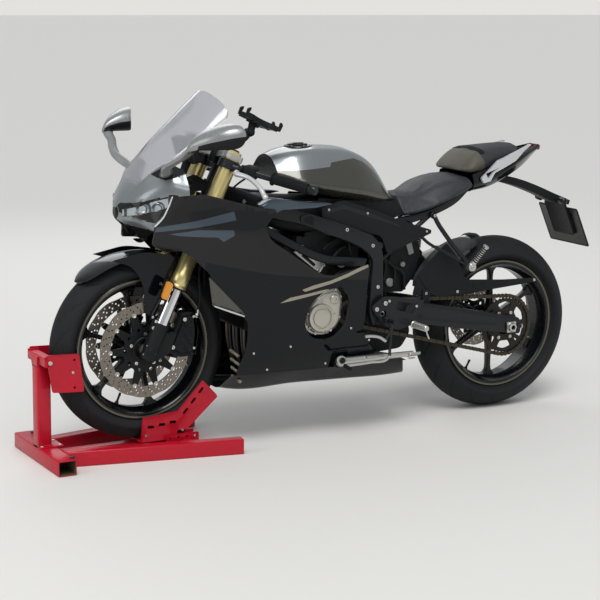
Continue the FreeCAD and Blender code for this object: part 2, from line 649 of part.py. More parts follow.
def fuel_tank():
    """Closed tank, one row a section."""
    # x, low z, low half width, side z, side half width, shoulder z, shoulder half width, top z
    rows = ((925, 868, 52, 893, 98, 930, 66, 956),
            (862, 850, 96, 868, 150, 938, 96, 973),
            (730, 812, 108, 842, 162, 938, 104, 979),
            (621, 792, 104, 824, 150, 922, 96, 962),
            (546, 778, 98, 806, 126, 880, 82, 920),
            (492, 780, 84, 796, 104, 826, 66, 856),
            (458, 786, 62, 790, 76, 798, 48, 806))
    wires = []
    for x, low, low_w, side, side_w, shoulder, shoulder_w, top in rows:
        wires.append(section(x, full([(0, low), (low_w, low), (side_w, side), (shoulder_w, shoulder), (0, top)])))
    body = loft(wires)
    neck = Part.makeCylinder(d.filler_r - 5, d.filler_z - 940, spot((FILLER_X, 0, 940)))
    put("fuel_tank", body.fuse(neck))


def filler_lid():
    """Filler cap on the tank's neck, with its hinge barrel at the front."""
    piece = Piece("filler_lid")
    piece.pad([ring(FILLER_X, 0, d.filler_r)], "filler_z + seat_gap", "6", role="XY_Plane")
    barrel = ring(along(FILLER_X) + d.filler_r, d.filler_z + d.seat_gap + HINGE_R, HINGE_R, drawn=False)
    piece.pad([barrel], "-12", "24")


def shoulder_panels():
    """Gloss panels between the grips and the tank."""
    panel = slab([(1048, 811, 6), (1004, 834, 16), (950, 826, 20), (880, 813, 20), (800, 808, 12), (776, 804, 6),
                  (838, 794, 10), (980, 792, 6), (1000, 783, 4), (1034, 788, 6)], 168, 208.8)
    put("shoulder_panels", Part.makeCompound(both(panel)))


# x, chin half width and z, cheek half width and z, brow half width and z, top half width and z
NOSE_ROWS = ((1462, 8, 768, 26, 778, 26, 804, 8, 816),
             (1428, 36, 742, 96, 768, 100, 838, 54, 866),
             (1385, 70, 700, 132, 742, 140, 862, 92, 916),
             (1335, 104, 668, 162, 716, 170, 880, 120, 950),
             (1290, 132, 672, 188, 712, 192, 872, 150, 930))


def nose_block():
    """The nose as a solid, one seat gap larger, to shape what sits on it."""
    wires = []
    for x, *row in NOSE_ROWS:
        outer = moved_in(list(zip(row[::2], row[1::2])), -d.seat_gap)
        wires.append(section(x, full([(0, outer[0][1])] + outer + [(0, outer[-1][1])])))
    return loft(wires)


def nose_fairing():
    """Nose shell round the lamps, from the chin to the top edge, with lamp openings."""
    wires = []
    for x, *row in NOSE_ROWS:
        outer = list(zip(row[::2], row[1::2]))
        wires.append(section(x, outer + moved_in(outer, d.fairing_wall)[::-1]))
    left = loft(wires).cut(side_zone(d.seat_gap)).cut(lamp_unit(d.seat_gap, 40))
    beak = slab([(1469, 806), (1469, 776), (1452, 770), (1440, 790), (1448, 812)], -14, 14, 3)
    put("nose_fairing", left.multiFuse([flip(left), beak]))


def fairing_stay():
    """Bracket from the steering head forward to the nose and instruments."""
    tongue = slab([(1140, 872, 4), (1150, 846, 4), (1240, 838, 20), (1372, 770, 10), (1384, 800, 10),
                   (1262, 880, 20), (1190, 900, 6)], -12, 12)
    bar = Part.makeBox(14, 328.8, 14, spot((1318, -164.4, 801)))
    foot, top = fork_spot(400, -d.fork_offset), fork_spot(800, -d.fork_offset)
    head = Part.makeCylinder(d.head_r + d.seat_gap, (top - foot).Length, foot, top - foot)
    put("fairing_stay", tongue.fuse(bar).cut(head))


def lamp_unit(grow, out):
    """Left lamp with its outer face moved out, grown all round by a gap."""
    # x, half width and z of the lower edge, half width and z of the upper edge
    rows = ((1456 + grow, 34, 783, 34, 803), (1428, 94, 772, 97.5, 836), (1385, 131.5, 754, 137.5, 850),
            (1342 - grow, 161, 822, 162.5, 851))
    depth = 18
    return loft([section(x, [(low_w + out, low - grow), (high_w + out, high + grow),
                             (high_w - depth, high + grow), (low_w - depth, low - grow)])
                 for x, low_w, low, high_w, high in rows])


def headlamps():
    """Twin swept lamp units below the brow."""
    put("headlamps", Part.makeCompound(both(lamp_unit(0, 0))))


def windscreen():
    """Swept clear screen from its seat on the nose to its upper edge."""
    # x, z at the middle, half width, z at the side
    rows = ((1424, 878, 60, 869), (1385, 936, 96, 918), (1335, 1000, 124, 952), (1222, 1112, 136, 1031),
            (1110, 1212, 147, 1112))
    wires = []
    for x, z, half, side in rows:
        outer = [(half * s, z - (z - side) * s * s) for s in (1.0, 0.8, 0.55, 0.28, 0.0)]
        outer += [(-y, zz) for y, zz in reversed(outer[:-1])]
        inner = [(y, zz - d.screen_wall * 1.5) for y, zz in reversed(outer)]
        wires.append(section(x, outer + inner))
    side_view = slab([(1430, 850), (1430, 900), (1172, 1190), (1158, 1169), (1112, 1098), (1340, 900)], -170, 170)
    put("windscreen", loft(wires).common(side_view).cut(nose_block()))


def side_zone(grow=0.0):
    """The left side fairing's outline in the side view, as a thick block."""
    points = [(1392, 690, 12), (1300, 676, 30), (1219, 596, 20), (1206, 520, 20), (1128, 470, 20),
              (1088, 440, 40), (1082, 358, 60), (1108, 268, 20), (1108, 251), (448, 238), (512, 268, 20),
              (602, 290, 40), (648, 372, 20), (644, 420, 10), (642, 500, 6), (634, 594, 10), (808, 560, 60),
              (908, 628, 60), (1018, 700, 20), (1038, 742, 20), (990, 794, 10), (1058, 808, 30), (1150, 832, 40),
              (1244, 858, 20), (1324, 852, 6), (1384, 752, 20)]
    face = Part.Face(Part.Wire([g.toShape() for g in run(points)]))
    if grow:
        face = face.makeOffset2D(grow)
    block = face.extrude(Vector(0, 0, 160))
    block.rotate(Vector(), Vector(1, 0, 0), 90)
    block.translate(Vector(0, 260, 0))
    return block


def side_panel():
    """Left side fairing: a wall with its half widths tabled, trimmed to the side outline."""
    heights = (170, 260, 400, 560, 700, 870)
    # x, then the half width at each of the heights
    rows = ((1430, 40, 60, 80, 90, 100, 100),
            (1335, 90, 110, 130, 146, 162, 169),
            (1290, 100, 130, 150, 172, 188, 192),
            (1200, 108, 150, 180, 200, 212, 206),
            (1130, 112, 160, 188, 206, 218, 212),
            (1050, 112, 164, 196, 212, 222, 208),
            (850, 114, 168, 203, 214, 216, 200),
            (640, 118, 164, 195, 204, 204, 190),
            (410, 130, 158, 168, 170, 172, 172))
    wires = []
    for x, *widths in rows:
        outer = list(zip(widths, heights))
        wires.append(section(x, outer + [(y - d.fairing_wall, z) for y, z in reversed(outer)]))
    return loft(wires).common(side_zone())


def stand_gap():
    """Opening of the left panels round the side stand's lug."""
    return slab([(698, 225), (764, 225), (764, 298, 10), (698, 298, 10)], 120, 260)


def side_fairings():
    cover_gap = slab([(744, 526, 14), (714, 486, 12), (722, 392, 40), (778, 350, 40), (852, 358, 34),
                      (886, 410, 40), (860, 482, 30), (804, 522, 30)], 150, 260)
    panel = side_panel()
    put("side_fairing_left", panel.cut(cover_gap).cut(stand_gap()))
    put("side_fairing_right", flip(panel))


def belly_pan():
    """Lower fairing that meets the side panels' lower edges, open at the top."""
    # x, half width of the floor, floor z, half width and z of the rim
    rows = ((1128, 60, 190, 155, 250.4), (1090, 78, 184, 156.5, 250.3), (850, 84, 181, 159.3, 245.6),
            (640, 88, 176, 154.5, 241.5), (500, 96, 174, 152, 238.7), (430, 104, 176, 140, 200))
    wires = []
    for x, floor_w, floor, rim_w, rim_z in rows:
        outer = [(rim_w, rim_z), (floor_w, floor), (-floor_w, floor), (-rim_w, rim_z)]
        wall = d.fairing_wall
        inner = [(-rim_w + wall, rim_z), (-floor_w + wall, floor + wall), (floor_w - wall, floor + wall),
                 (rim_w - wall, rim_z)]
        wires.append(section(x, outer + inner))
    put("belly_pan", loft(wires).cut(stand_gap()))


def mirrors():
    """Stalk from the nose and a rounded head on each side."""
    stalk = bent_rod([(1345, 112, 915), (1372, 200, 948), (1352, 290, 990), (1310, 345, 1030)], 9)
    stalk = stalk.cut(nose_block())
    head = loft([section(x, [(y + w * 0.85, z - h), (y + w, z - h * 0.2), (y + w * 0.6, z + h), (y - w * 0.6, z + h),
                             (y - w, z), (y - w * 0.7, z - h)])
                 for x, y, z, w, h in ((1338, 380, 1040, 22, 10), (1310, 380, 1048, 62, 30),
                                       (1262, 380, 1052, 80, 42), (1244, 380, 1054, 76, 40))])
    put("mirrors", Part.makeCompound(both(stalk.fuse(head))))


def instrument_panel():
    """Display on a bracket behind the screen."""
    case = slab([(1234, 1010, 8), (1216, 1024, 8), (1194, 940, 8), (1214, 930, 8)], -78, 78)
    leg = slab([(1202, 936), (1224, 890.9), (1240, 886.5), (1218, 944)], -14, 14)
    put("instrument_panel", case.fuse(leg))


def frame_side_covers():
    """Flat covers below the tank and seat."""
    piece = Piece("frame_side_covers")
    cover = piece.pad([run([(785, 753.3, 4), (786, 782, 6), (705, 806, 20), (584, 766, 20), (478, 724, 20),
                            (352, 684, 6), (352, 672, 6), (527, 612, 12), (538, 640, 10), (552, 674, 20),
                            (640, 700.6, 4)])], "124", "20")
    piece.mirror([cover])


def seat_block(label, rows):
    """Closed cushion: x, low half width, low z, side half width, side z, top half width and z."""
    wires = [section(x, full([(0, low), (low_w, low), (side_w, side), (top_w, top - 6), (0, top)]))
             for x, low_w, low, side_w, side, top_w, top in rows]
    put(label, loft(wires))


def seats():
    seat_block("rider_seat", ((450, 100, 729, 128, 742, 70, 808), (388, 108, 738, 140, 752, 90, 803),
                              (300, 112, 762, 146, 778, 104, 838), (214, 116, 796, 138, 814, 108, 856),
                              (166, 112, 817, 128, 828, 96, 862)))
    seat_block("pillion_seat", ((198, 70, 874, 84, 880, 60, 886), (170, 96, 869, 118, 880, 90, 912),
                                (130, 98, 870, 116, 898, 88, 944), (60, 90, 885.6, 108, 914, 80, 954),
                                (-20, 74, 902.2, 88, 930, 62, 958), (-76, 40, 924, 50, 940, 34, 958)))


# x, low half width and z, side half width and z, top half width and z
TAIL_ROWS = ((160, 92, 800, 118, 824, 104, 862), (80, 88, 812, 116, 846, 96, 882), (0, 74, 838, 104, 880, 82, 894),
             (-80, 50, 868, 84, 916, 60, 925), (-176, 18, 928, 36, 940, 24, 950))


def tail_block(shift, wall, rise):
    """The tail unit as a solid, its sections moved along the bike and in by a wall."""
    return loft([section(x + shift, full([(0, low + wall), (low_w - wall, low + wall), (side_w - wall, side),
                                          (top_w - wall, top + rise), (0, top + rise)]))
                 for x, low_w, low, side_w, side, top_w, top in TAIL_ROWS])


def tail_cowl():
    """Tail shell below the pillion seat, open at the top and front."""
    put("tail_cowl", tail_block(0, 0, 0).cut(tail_block(4, 4, 2)))


def tail_trims():
    """Light grab trims beside the pillion seat."""
    trim = slab([(67, 909, 4), (-96, 959, 6), (-60, 936, 10), (-20, 903, 10), (80, 866, 6), (98, 838, 4),
                 (128, 832, 4), (138, 850, 6)], 60, 140)
    band = plan([(140, 127), (80, 125), (0, 113), (-80, 93), (-110, 78), (-110, 70), (-80, 84.4), (0, 104.4),
                 (80, 116.3), (140, 117.8)], 820, 980)
    put("tail_trims", Part.makeCompound(both(trim.common(band))))


def tail_lamp():
    put("tail_lamp", slab([(-176.3, 949, 2), (-176.3, 929, 2), (-184, 930, 4), (-184, 946, 4)], -30, 30))


def plate_hanger():
    """Rear mudguard arm that carries the plate."""
    arm = slab([(20, 826, 4), (-84, 800, 20), (-188, 762, 20), (-232, 742, 10), (-290, 724, 6), (-322, 722, 6),
                (-324, 738, 6), (-256, 766, 10), (-188, 796, 20), (-84, 832, 20), (16, 856, 4)], -34, 34)
    lean = math.radians(d.plate_tilt)
    down, out = Vector(-math.sin(lean), 0, -math.cos(lean)), Vector(math.cos(lean), 0, -math.sin(lean))
    top = Vector(*PLATE_TOP)
    corners = [top - down * 20, top - down * 20 + out * 9, top + down * 110 + out * 9, top + down * 110]
    backing = slab([(p.x, p.z, 3) for p in corners], -60, 60)
    put("plate_hanger", arm.cut(tail_block(0, -d.seat_gap, 0)).fuse(backing))


def number_plate():
    face = Part.makeBox(3, d.plate_wide, d.plate_high, Vector(-3 - d.seat_gap, -d.plate_wide / 2, -d.plate_high))
    face.rotate(Vector(), Vector(0, 1, 0), d.plate_tilt)
    face.translate(Vector(*PLATE_TOP))
    put("number_plate", face)


def swingarm():
    """Two side arms, the cross member inside the chain loop, and the pivot tube."""
    side = slab([(470, 446, 20), (326, 420, 60), (136, 380, 60), (-40, 342, 12), (-48, 310, 10), (-44, 282, 12),
                 (198, 320, 60), (379, 354, 20), (520, 376, 20), (560, 384, 20), (588, 412, 24), (560, 438, 20)],
                d.arm_inner_y, d.arm_inner_y + d.arm_thick)
    spindle = Part.makeCylinder(d.pivot_r, 340, Vector(d.pivot_x, -170, d.pivot_z), Vector(0, 1, 0))
    bridge = Part.makeBox(66, 2 * d.arm_inner_y + 2, 62, Vector(BRIDGE_X, -d.arm_inner_y - 1, BRIDGE_TOP - 62))
    tube = Part.makeCylinder(20, 2 * d.arm_inner_y + 2, Vector(d.pivot_x, -d.arm_inner_y - 1, d.pivot_z),
                             Vector(0, 1, 0))
    web = slab([(500, 412), (500, 362), (548, 396), (548, 428)], -60, 60)
    whole = side.multiFuse([flip(side), bridge, tube, web, spindle])
    bore = Part.makeCylinder(d.rear_axle_r + d.bearing_fit, 400, Vector(0, -200, d.rear_axle_z), Vector(0, 1, 0))
    hollow = Part.makeCylinder(6, 400, Vector(d.pivot_x, -200, d.pivot_z), Vector(0, 1, 0))
    put("swingarm", whole.cut(bore).cut(hollow))


def rear_shock():
    """Single shock between the swingarm's cross member and the frame's cross tube."""
    low, top = Vector(BRIDGE_X + 42, 0, BRIDGE_TOP), Vector(SHOCK_TUBE[0], 0, SHOCK_TUBE[1])
    line = (top - low).normalize()
    wire, core, step, turns = 33, 24, 8.5, 9
    profile = [Vector(0, 0, 0), Vector(core, 0, 0)]
    for k in range(turns):
        profile += [Vector(wire, 0, step * (2 * k + 1)), Vector(core, 0, step * (2 * k + 2))]
    profile.append(Vector(0, 0, step * 2 * turns))
    spring = Part.Face(Part.makePolygon(profile + profile[:1])).revolve(Vector(), WORLD_UP, 360)
    spring.Placement = Placement(low + line * 26, Rotation(WORLD_UP, line))
    eye = Part.makeCylinder(12, (top - low).Length, low, line)
    floor = Part.makeBox(200, 200, 40 + d.seat_gap, Vector(BRIDGE_X - 60, -100, BRIDGE_TOP - 40))
    tube = Part.makeCylinder(SHOCK_TUBE_R + d.seat_gap, 200, Vector(SHOCK_TUBE[0], -100, SHOCK_TUBE[1]),
                             Vector(0, 1, 0))
    put("rear_shock", eye.fuse(spring).cut(floor).cut(tube))


def chain_guard():
    """Hugger over the front of the rear tyre with the guard plate outside the chain."""
    space = Part.makeCylinder(d.rear_tyre_r + 8, 400, Vector(0, -200, d.rear_axle_z), Vector(0, 1, 0))
    skin = Part.makeCylinder(d.rear_tyre_r + 12, 174, Vector(0, -87, d.rear_axle_z), Vector(0, 1, 0))
    zone = slab([(60, 660), (275, 720), (420, 600), (420, 450), (290, 450), (120, 590)], -87, 87)
    shell = skin.cut(space).common(zone)
    across = Part.makeCylinder(d.rear_tyre_r + 12, 22, Vector(0, 84, d.rear_axle_z), Vector(0, 1, 0))
    ledge = across.cut(space).common(slab([(150, 660), (290, 660), (290, 490), (150, 490)], 84, 106))
    plate = slab([(381, 521, 20), (300, 596, 20), (262, 628, 10), (224, 586, 20), (179, 492, 20), (20, 480, 20),
                  (-131, 476, 4), (-131, 462, 4), (57, 449, 20), (218, 436, 20), (317, 446, 20), (400, 452, 10)],
                 104, 107)
    foot = slab([(330, 470, 4), (330, 400, 4), (360, 404, 4), (360, 470, 4)], 104, d.arm_inner_y - d.seat_gap)
    put("chain_guard", shell.multiFuse([plate, ledge, foot]))


def rear_axle():
    piece = Piece("rear_axle", **REAR_WHEEL)
    piece.pad([ring(0, 0, d.rear_axle_r, False), ring(0, 0, d.axle_bore_r, False)], "-146", "292")
    nut = piece.pad([ring(0, 0, 22, False), ring(0, 0, d.rear_axle_r - 1, False)],
                    "arm_inner_y + arm_thick", "9")
    piece.mirror([nut])
    spacer = piece.pad([ring(0, 0, 20, False), ring(0, 0, d.rear_axle_r - 1, False)],
                       "rear_hub_half + seat_gap", "arm_inner_y - rear_hub_half - seat_gap")
    piece.mirror([spacer])


def rear_caliper():
    outer = slab([(60, 380, 8), (120, 366, 8), (150, 404, 8), (126, 440, 10), (60, 430, 10)], -110.7, -100)
    inner = slab([(64, 400, 8), (112, 386, 8), (126, 420, 8), (100, 436, 8), (66, 428, 8)], -86, -80)
    roof = slab([(70, 420, 4), (112, 420, 4), (112, 436, 4), (70, 436, 4)], -104, -82)
    put("rear_caliper", outer.multiFuse([inner, roof]))


def footrests():
    """Rider heel plates with pegs, and pillion hangers with folded pegs."""
    left = []
    left.append(slab([(563, 473, 10), (520, 470, 10), (396, 448, 10), (444, 366, 16), (500, 352, 16),
                      (560, 372, 16), (612, 440, 14)], 174, 180, holes=((d.pivot_x, d.pivot_z, 13),)))
    left.append(rod((488, 178, 380), (488, 262, 380), 10))
    left += [rod((556, 161.3, 450), (556, 177, 450), 9), rod((590, 163.6, 432), (590, 177, 432), 9)]
    left += [rod((548, 176, 392), (548, 236, 392), 7),
             bent_rod([(548, 232, 392), (660, 232, 306), (738, 232, 236)], 5),
             rod((738, 226, 236), (738, 266, 232), 6.5)]
    rider = left[0].multiFuse(left[1:])
    strut = bent_rod([(330, 120.4, 735), (310, 128, 690), (206, 170, 552)], 8)
    brace = bent_rod([(425, 117.8, 712), (356, 117.8, 638), (208, 170, 550)], 5.5)
    peg = rod((204, 172, 548), (168, 214, 626), 9)
    knuckle = rod((205, 158, 549), (205, 188, 549), 14)
    pillion = strut.multiFuse([brace, peg, knuckle])
    put("rider_footrests", Part.makeCompound(both(rider)))
    put("pillion_footrests", Part.makeCompound(both(pillion)))


def side_stand():
    """Folded side stand: knuckle on the engine's pin, tapered leg and foot plate."""
    pivot, axis = stand_pivot()
    back, down = Vector(-1, 0, 0), Vector(0, math.sin(math.radians(d.stand_splay)),
                                          -math.cos(math.radians(d.stand_splay)))
    knuckle = Part.makeCylinder(18, 16, pivot - axis * 8, axis)
    leg = Part.makeCone(d.stand_r, d.stand_r - 2, d.stand_length - 16, pivot + back * 16, back)
    foot = Part.makeBox(46, 8, 34)
    foot.translate(Vector(-23, -4, -17))
    foot.rotate(Vector(), Vector(1, 0, 0), -d.stand_splay)
    foot.translate(pivot + back * d.stand_length + down * 4)
    bore = Part.makeCylinder(6 + d.bearing_fit, 40, pivot - axis * 20, axis)
    put("side_stand", knuckle.multiFuse([leg, foot]).cut(bore))


def forks():
    upper = Piece("fork_outer_tubes", **FORK)
    tube = upper.pad([[Part.Circle(Vector(0, -d.fork_half, 0), WORLD_UP, d.fork_outer_r)]],
                     "fork_outer_low", "fork_outer_top - fork_outer_low", role="XY_Plane")
    collar = upper.pad([[Part.Circle(Vector(0, -d.fork_half, 0), WORLD_UP, d.fork_outer_r + FORK_COLLAR)]],
                       "fork_outer_low", "50", role="XY_Plane")
    upper.mirror([tube, collar])
    lower = Piece("fork_inner_legs", **FORK)
    leg = lower.pad([[Part.Circle(Vector(0, -d.fork_half, 0), WORLD_UP, d.fork_inner_r)]],
                    "fork_foot_top", "fork_outer_low - fork_foot_top", role="XY_Plane")
    lower.mirror([leg])
    feet = Piece("fork_feet", **FORK)
    foot = feet.pad([[Part.Circle(Vector(0, -d.fork_half, 0), WORLD_UP, d.fork_foot_r)]],
                    "-30", "fork_foot_top + 30", role="XY_Plane")
    lug = feet.pad([run([(-18, -30, 8), (18, -30, 8), (24, 40, 8), (-60, 90, 8), (-66, 24, 8)], drawn=False)],
                   "fork_half - 14", "22")
    feet.mirror([foot, lug])
    feet.pocket([ring(0, 0, d.front_axle_r + d.bearing_fit, False)], "-150", "300")


def yokes():
    """Lower and upper yoke round the fork tubes, joined by the steering stem."""
    outline = [(-62, -36, 14), (-62, 36, 14), (-36, 66, 20), (-33, 128, 20), (33, 128, 20), (30, 76, 20),
               (14, 40, 20), (14, -40, 20), (30, -76, 20), (33, -128, 20), (-33, -128, 20), (-36, -66, 20)]
    piece = Piece("yokes", **FORK)
    holes = [[Part.Circle(Vector(0, y, 0), WORLD_UP, d.fork_outer_r + d.bearing_fit)]
             for y in (d.fork_half, -d.fork_half)]
    for low, thick in (("lower_yoke_s", "lower_yoke_thick"), ("upper_yoke_s", "upper_yoke_thick")):
        piece.pad([run(outline, drawn=False)] + holes, low, thick, role="XY_Plane")
    piece.pad([[Part.Circle(Vector(-d.fork_offset, 0, 0), WORLD_UP, d.stem_r)]],
              "lower_yoke_s - 10", "upper_yoke_s + upper_yoke_thick + 22 - lower_yoke_s", role="XY_Plane")


def bar_ends():
    """Root and outer end of the left clip-on bar in the bike's frame."""
    root = fork_spot(650, -6, d.fork_half + 26)
    return root, Vector(d.wheelbase - 440, 348, 876)


def handlebars():
    """Clip-on clamps round the fork tops with their bars."""
    root, tip = bar_ends()
    line = (tip - root).normalize()
    up = (fork_spot(1, 0) - fork_spot(0, 0)).normalize()
    foot = fork_spot(638, 0, d.fork_half)
    clamp = Part.makeCylinder(d.fork_outer_r + 9, 30, foot, up)
    inside = Part.makeCylinder(d.fork_outer_r + d.bearing_fit, 60, foot - up * 15, up)
    bar = Part.makeCylinder(d.bar_r, (tip - root).Length, root, line)
    pod = Part.makeCylinder(20, 44, root + line * 42, line)
    left = clamp.multiFuse([bar, pod]).cut(inside)
    bore = Part.makeCylinder(7, 60, tip - line * 50, line)
    put("handlebars", Part.makeCompound(both(left.cut(bore))))


def grips():
    root, tip = bar_ends()
    line = (tip - root).normalize()
    start, length = tip - line * 132, 128
    grip = Part.makeCylinder(d.grip_r, length, start, line)
    flange = Part.makeCylinder(d.grip_r + 4, 5, start, line)
    hole = Part.makeCylinder(d.bar_r + d.bearing_fit, length + 10, start - line * 5, line)
    left = grip.fuse(flange).cut(hole)
    weight = Part.makeCylinder(d.grip_r - 1, 26, tip + line * d.seat_gap, line)
    put("grips", Part.makeCompound(both(left) + both(weight)))


def hand_levers():
    root, tip = bar_ends()
    line = (tip - root).normalize()
    start = root + line * 30
    perch = Part.makeCylinder(17, 11, start, line).cut(
        Part.makeCylinder(d.bar_r + d.bearing_fit, 40, start - line * 10, line))
    blade = bent_rod([tuple(start + line * 5 + Vector(13, 2, -2)), tuple(start + line * 16 + Vector(36, 6, -6)),
                      tuple(start + line * 60 + Vector(46, 4, -4)), tuple(start + line * 110 + Vector(60, 8, -12)),
                      tuple(start + line * 165 + Vector(84, 16, -40))], 6, drawn=False)
    put("hand_levers", Part.makeCompound(both(perch.fuse(blade))))


def front_mudguard():
    """Curved guard over the tyre with a blade down each fork leg."""
    inner, outer = d.front_tyre_r + 14, d.front_tyre_r + 17
    arc = slab([(1250, 600), (1290, 690), (1400, 720), (1530, 660), (1530, 640), (1392, 560), (1300, 560)], -76, 76)
    hoop = Part.makeCylinder(outer, 152, Vector(d.wheelbase, -76, d.front_axle_z), Vector(0, 1, 0))
    space = Part.makeCylinder(inner, 400, Vector(d.wheelbase, -200, d.front_axle_z), Vector(0, 1, 0))
    crown = hoop.cut(space).common(arc)
    blade = slab([(1500, 640, 10), (1440, 622, 40), (1403, 573, 40), (1392, 505, 20), (1388, 430, 6), (1368, 440, 6),
                  (1330, 520, 20), (1285, 590, 10), (1262, 640, 6), (1312, 652, 10), (1380, 664, 30)], 66, 72.7)
    cut = Part.makeCylinder(d.fork_outer_r + FORK_COLLAR + d.seat_gap, 900, fork_spot(-60, 0, d.fork_half),
                            fork_spot(1, 0) - fork_spot(0, 0))
    put("front_mudguard", crown.multiFuse(both(blade)).cut(Part.makeCompound(both(cut))))


def front_calipers():
    """Radial caliper behind each fork foot, straddling its disc."""
    piece = Piece("front_calipers", **FORK)
    body = [(-62, 24, 10), (-62, 160, 10), (-96, 172, 10), (-138, 124, 20), (-164, 44, 14), (-112, 22, 10)]
    outer = piece.pad([run(body, drawn=False)], "front_disc_y + 4", "22")
    inner = piece.pad([run(body, drawn=False)], "front_disc_y - 19", "15")
    roof = piece.pad([run([(-96, 160, 4), (-126, 120, 4), (-157, 50, 4), (-163, 50, 4), (-137, 123, 4),
                           (-98, 169, 4)], drawn=False)], "front_disc_y - 19", "45")
    piece.mirror([outer, inner, roof])


def front_axle():
    piece = Piece("front_axle", **FRONT_WHEEL)
    piece.pad([ring(0, 0, d.front_axle_r, False), ring(0, 0, d.axle_bore_r, False)],
              "-fork_half - 24", "2 * fork_half + 48")
    spacer = piece.pad([ring(0, 0, 18, False), ring(0, 0, d.front_axle_r - 1, False)],
                       "front_hub_half + seat_gap", "fork_half - fork_foot_r - front_hub_half - 2 * seat_gap")
    piece.mirror([spacer])


def brake_hoses():
    hose = bent_rod([tuple(fork_spot(168, -118, 76)), tuple(fork_spot(220, -96, 92)), tuple(fork_spot(300, -56, 92)),
                     tuple(fork_spot(400, -44, 84)), tuple(fork_spot(468, -40, 60))], 4, drawn=False)
    put("brake_hoses", Part.makeCompound(both(hose)))


def phone_holder():
    """Open claw for a telephone on an arm from the upper yoke."""
    shift = Vector(d.wheelbase - DRAWN_WHEELBASE, 0, 0)
    base = fork_spot(d.upper_yoke_s + d.upper_yoke_thick + 12.5, -d.fork_offset)
    up = (fork_spot(1, 0) - fork_spot(0, 0)).normalize()
    knee, head = Vector(990, 20, 1030) + shift, Vector(978, 20, 1072) + shift
    foot = Part.makeCylinder(12, 12, base, up)
    post = Part.makeCylinder(9, (knee - base - up * 6).Length, base + up * 6, knee - base - up * 6)
    ball = Part.makeSphere(15, knee)
    back = slab([(1046, 1098, 6), (1038, 1108, 6), (904, 1046, 6), (912, 1034, 6)], -12, 52, drawn=False)
    hooks = [slab([(1026, 1092), (1044, 1096), (1062, 1112), (1054, 1120), (1034, 1106)], y, y + 10, drawn=False)
             for y in (-12, 42)]
    hooks += [slab([(918, 1046), (906, 1048), (898, 1062), (890, 1056), (904, 1034), (918, 1040)], y, y + 10,
                   drawn=False) for y in (-12, 42)]
    for claw in [back] + hooks:
        claw.translate(shift)
    link = Part.makeCylinder(8, (head - knee).Length, knee, head - knee)
    put("phone_holder", post.multiFuse([foot, ball, back, link] + hooks))


def chock_frame():
    """Open square cross tube, post, base plate and the two splayed floor tubes."""
    wall, high, x0 = d.chock_wall, d.chock_tube, along(d.chock_cross_x)
    cross = Part.makeBox(d.chock_cross_wide, 2 * d.chock_cross_half, high, Vector(x0, -d.chock_cross_half, 0))
    hollow = Part.makeBox(d.chock_cross_wide - 2 * wall, 2 * d.chock_cross_half + 2, high - 2 * wall,
                          Vector(x0 + wall, -d.chock_cross_half - 1, wall))
    post_x = x0 + d.chock_cross_wide - d.chock_post_wide
    post = Part.makeBox(d.chock_post_wide, d.chock_post_wide, d.chock_post_top - high,
                        Vector(post_x, -d.chock_post_wide / 2, high))
    base = Part.makeBox(80, 76, 5, Vector(x0 - 20, -38, high))
    whole = cross.cut(hollow).multiFuse([post, base])
    far = along(1105)
    for side in (1, -1):
        start, end = Vector(x0 + 4, side * 84, 0), Vector(far, side * 196, 0)
        line = end - start
        wide = 46
        bar = Part.makeBox(line.Length, wide, high)
        inside = Part.makeBox(line.Length + 2, wide - 2 * wall, high - 2 * wall, Vector(-0.5, wall, wall))
        bar = bar.cut(inside)
        bar.translate(Vector(0, -wide / 2, 0))
        bar.rotate(Vector(), WORLD_UP, math.degrees(math.atan2(line.y, line.x)))
        bar.translate(start)
        ahead = Part.makeBox(60, 500, 90, Vector(x0, -250, -10))
        whole = whole.fuse(bar.cut(ahead))
    spine = Part.makeBox(x0 - along(1250), 40, 30, Vector(along(1250), -20, 0))
    sleeper = Part.makeBox(30, 300, d.chock_sleeper_top, Vector(along(1235), -150, 0))
    ears = both(slab([(1326, 58, 6), (1209, 58, 6), (1209, 2, 4), (1326, 2, 4)], 80, 85,
                     holes=((1222, 46, 5), (1252, 47, 5), (1282, 46, 5), (1312, 46, 5))))
    put("chock_frame", whole.multiFuse([spine, sleeper] + ears))


def chock_clamps():
    """Hinge bracket on the post and the two plates beside the tyre."""
    inner, sheet_thick = d.clamp_y, d.chock_plate
    plate = slab([(1732, 362, 8), (1624, 358, 8), (1608, 234, 8), (1714, 240, 8)], inner, inner + sheet_thick)
    top = Part.makeBox(d.chock_post_wide, d.chock_post_wide, 34,
                       Vector(along(d.chock_cross_x) + d.chock_cross_wide - d.chock_post_wide,
                              -d.chock_post_wide / 2, d.chock_post_top + d.seat_gap))
    bar = slab([(1704, 352, 6), (1738, 352, 6), (1738, 322, 6), (1704, 322, 6)], -inner - 1, inner + 1)
    put("chock_clamps", bar.multiFuse(both(plate) + [top]))


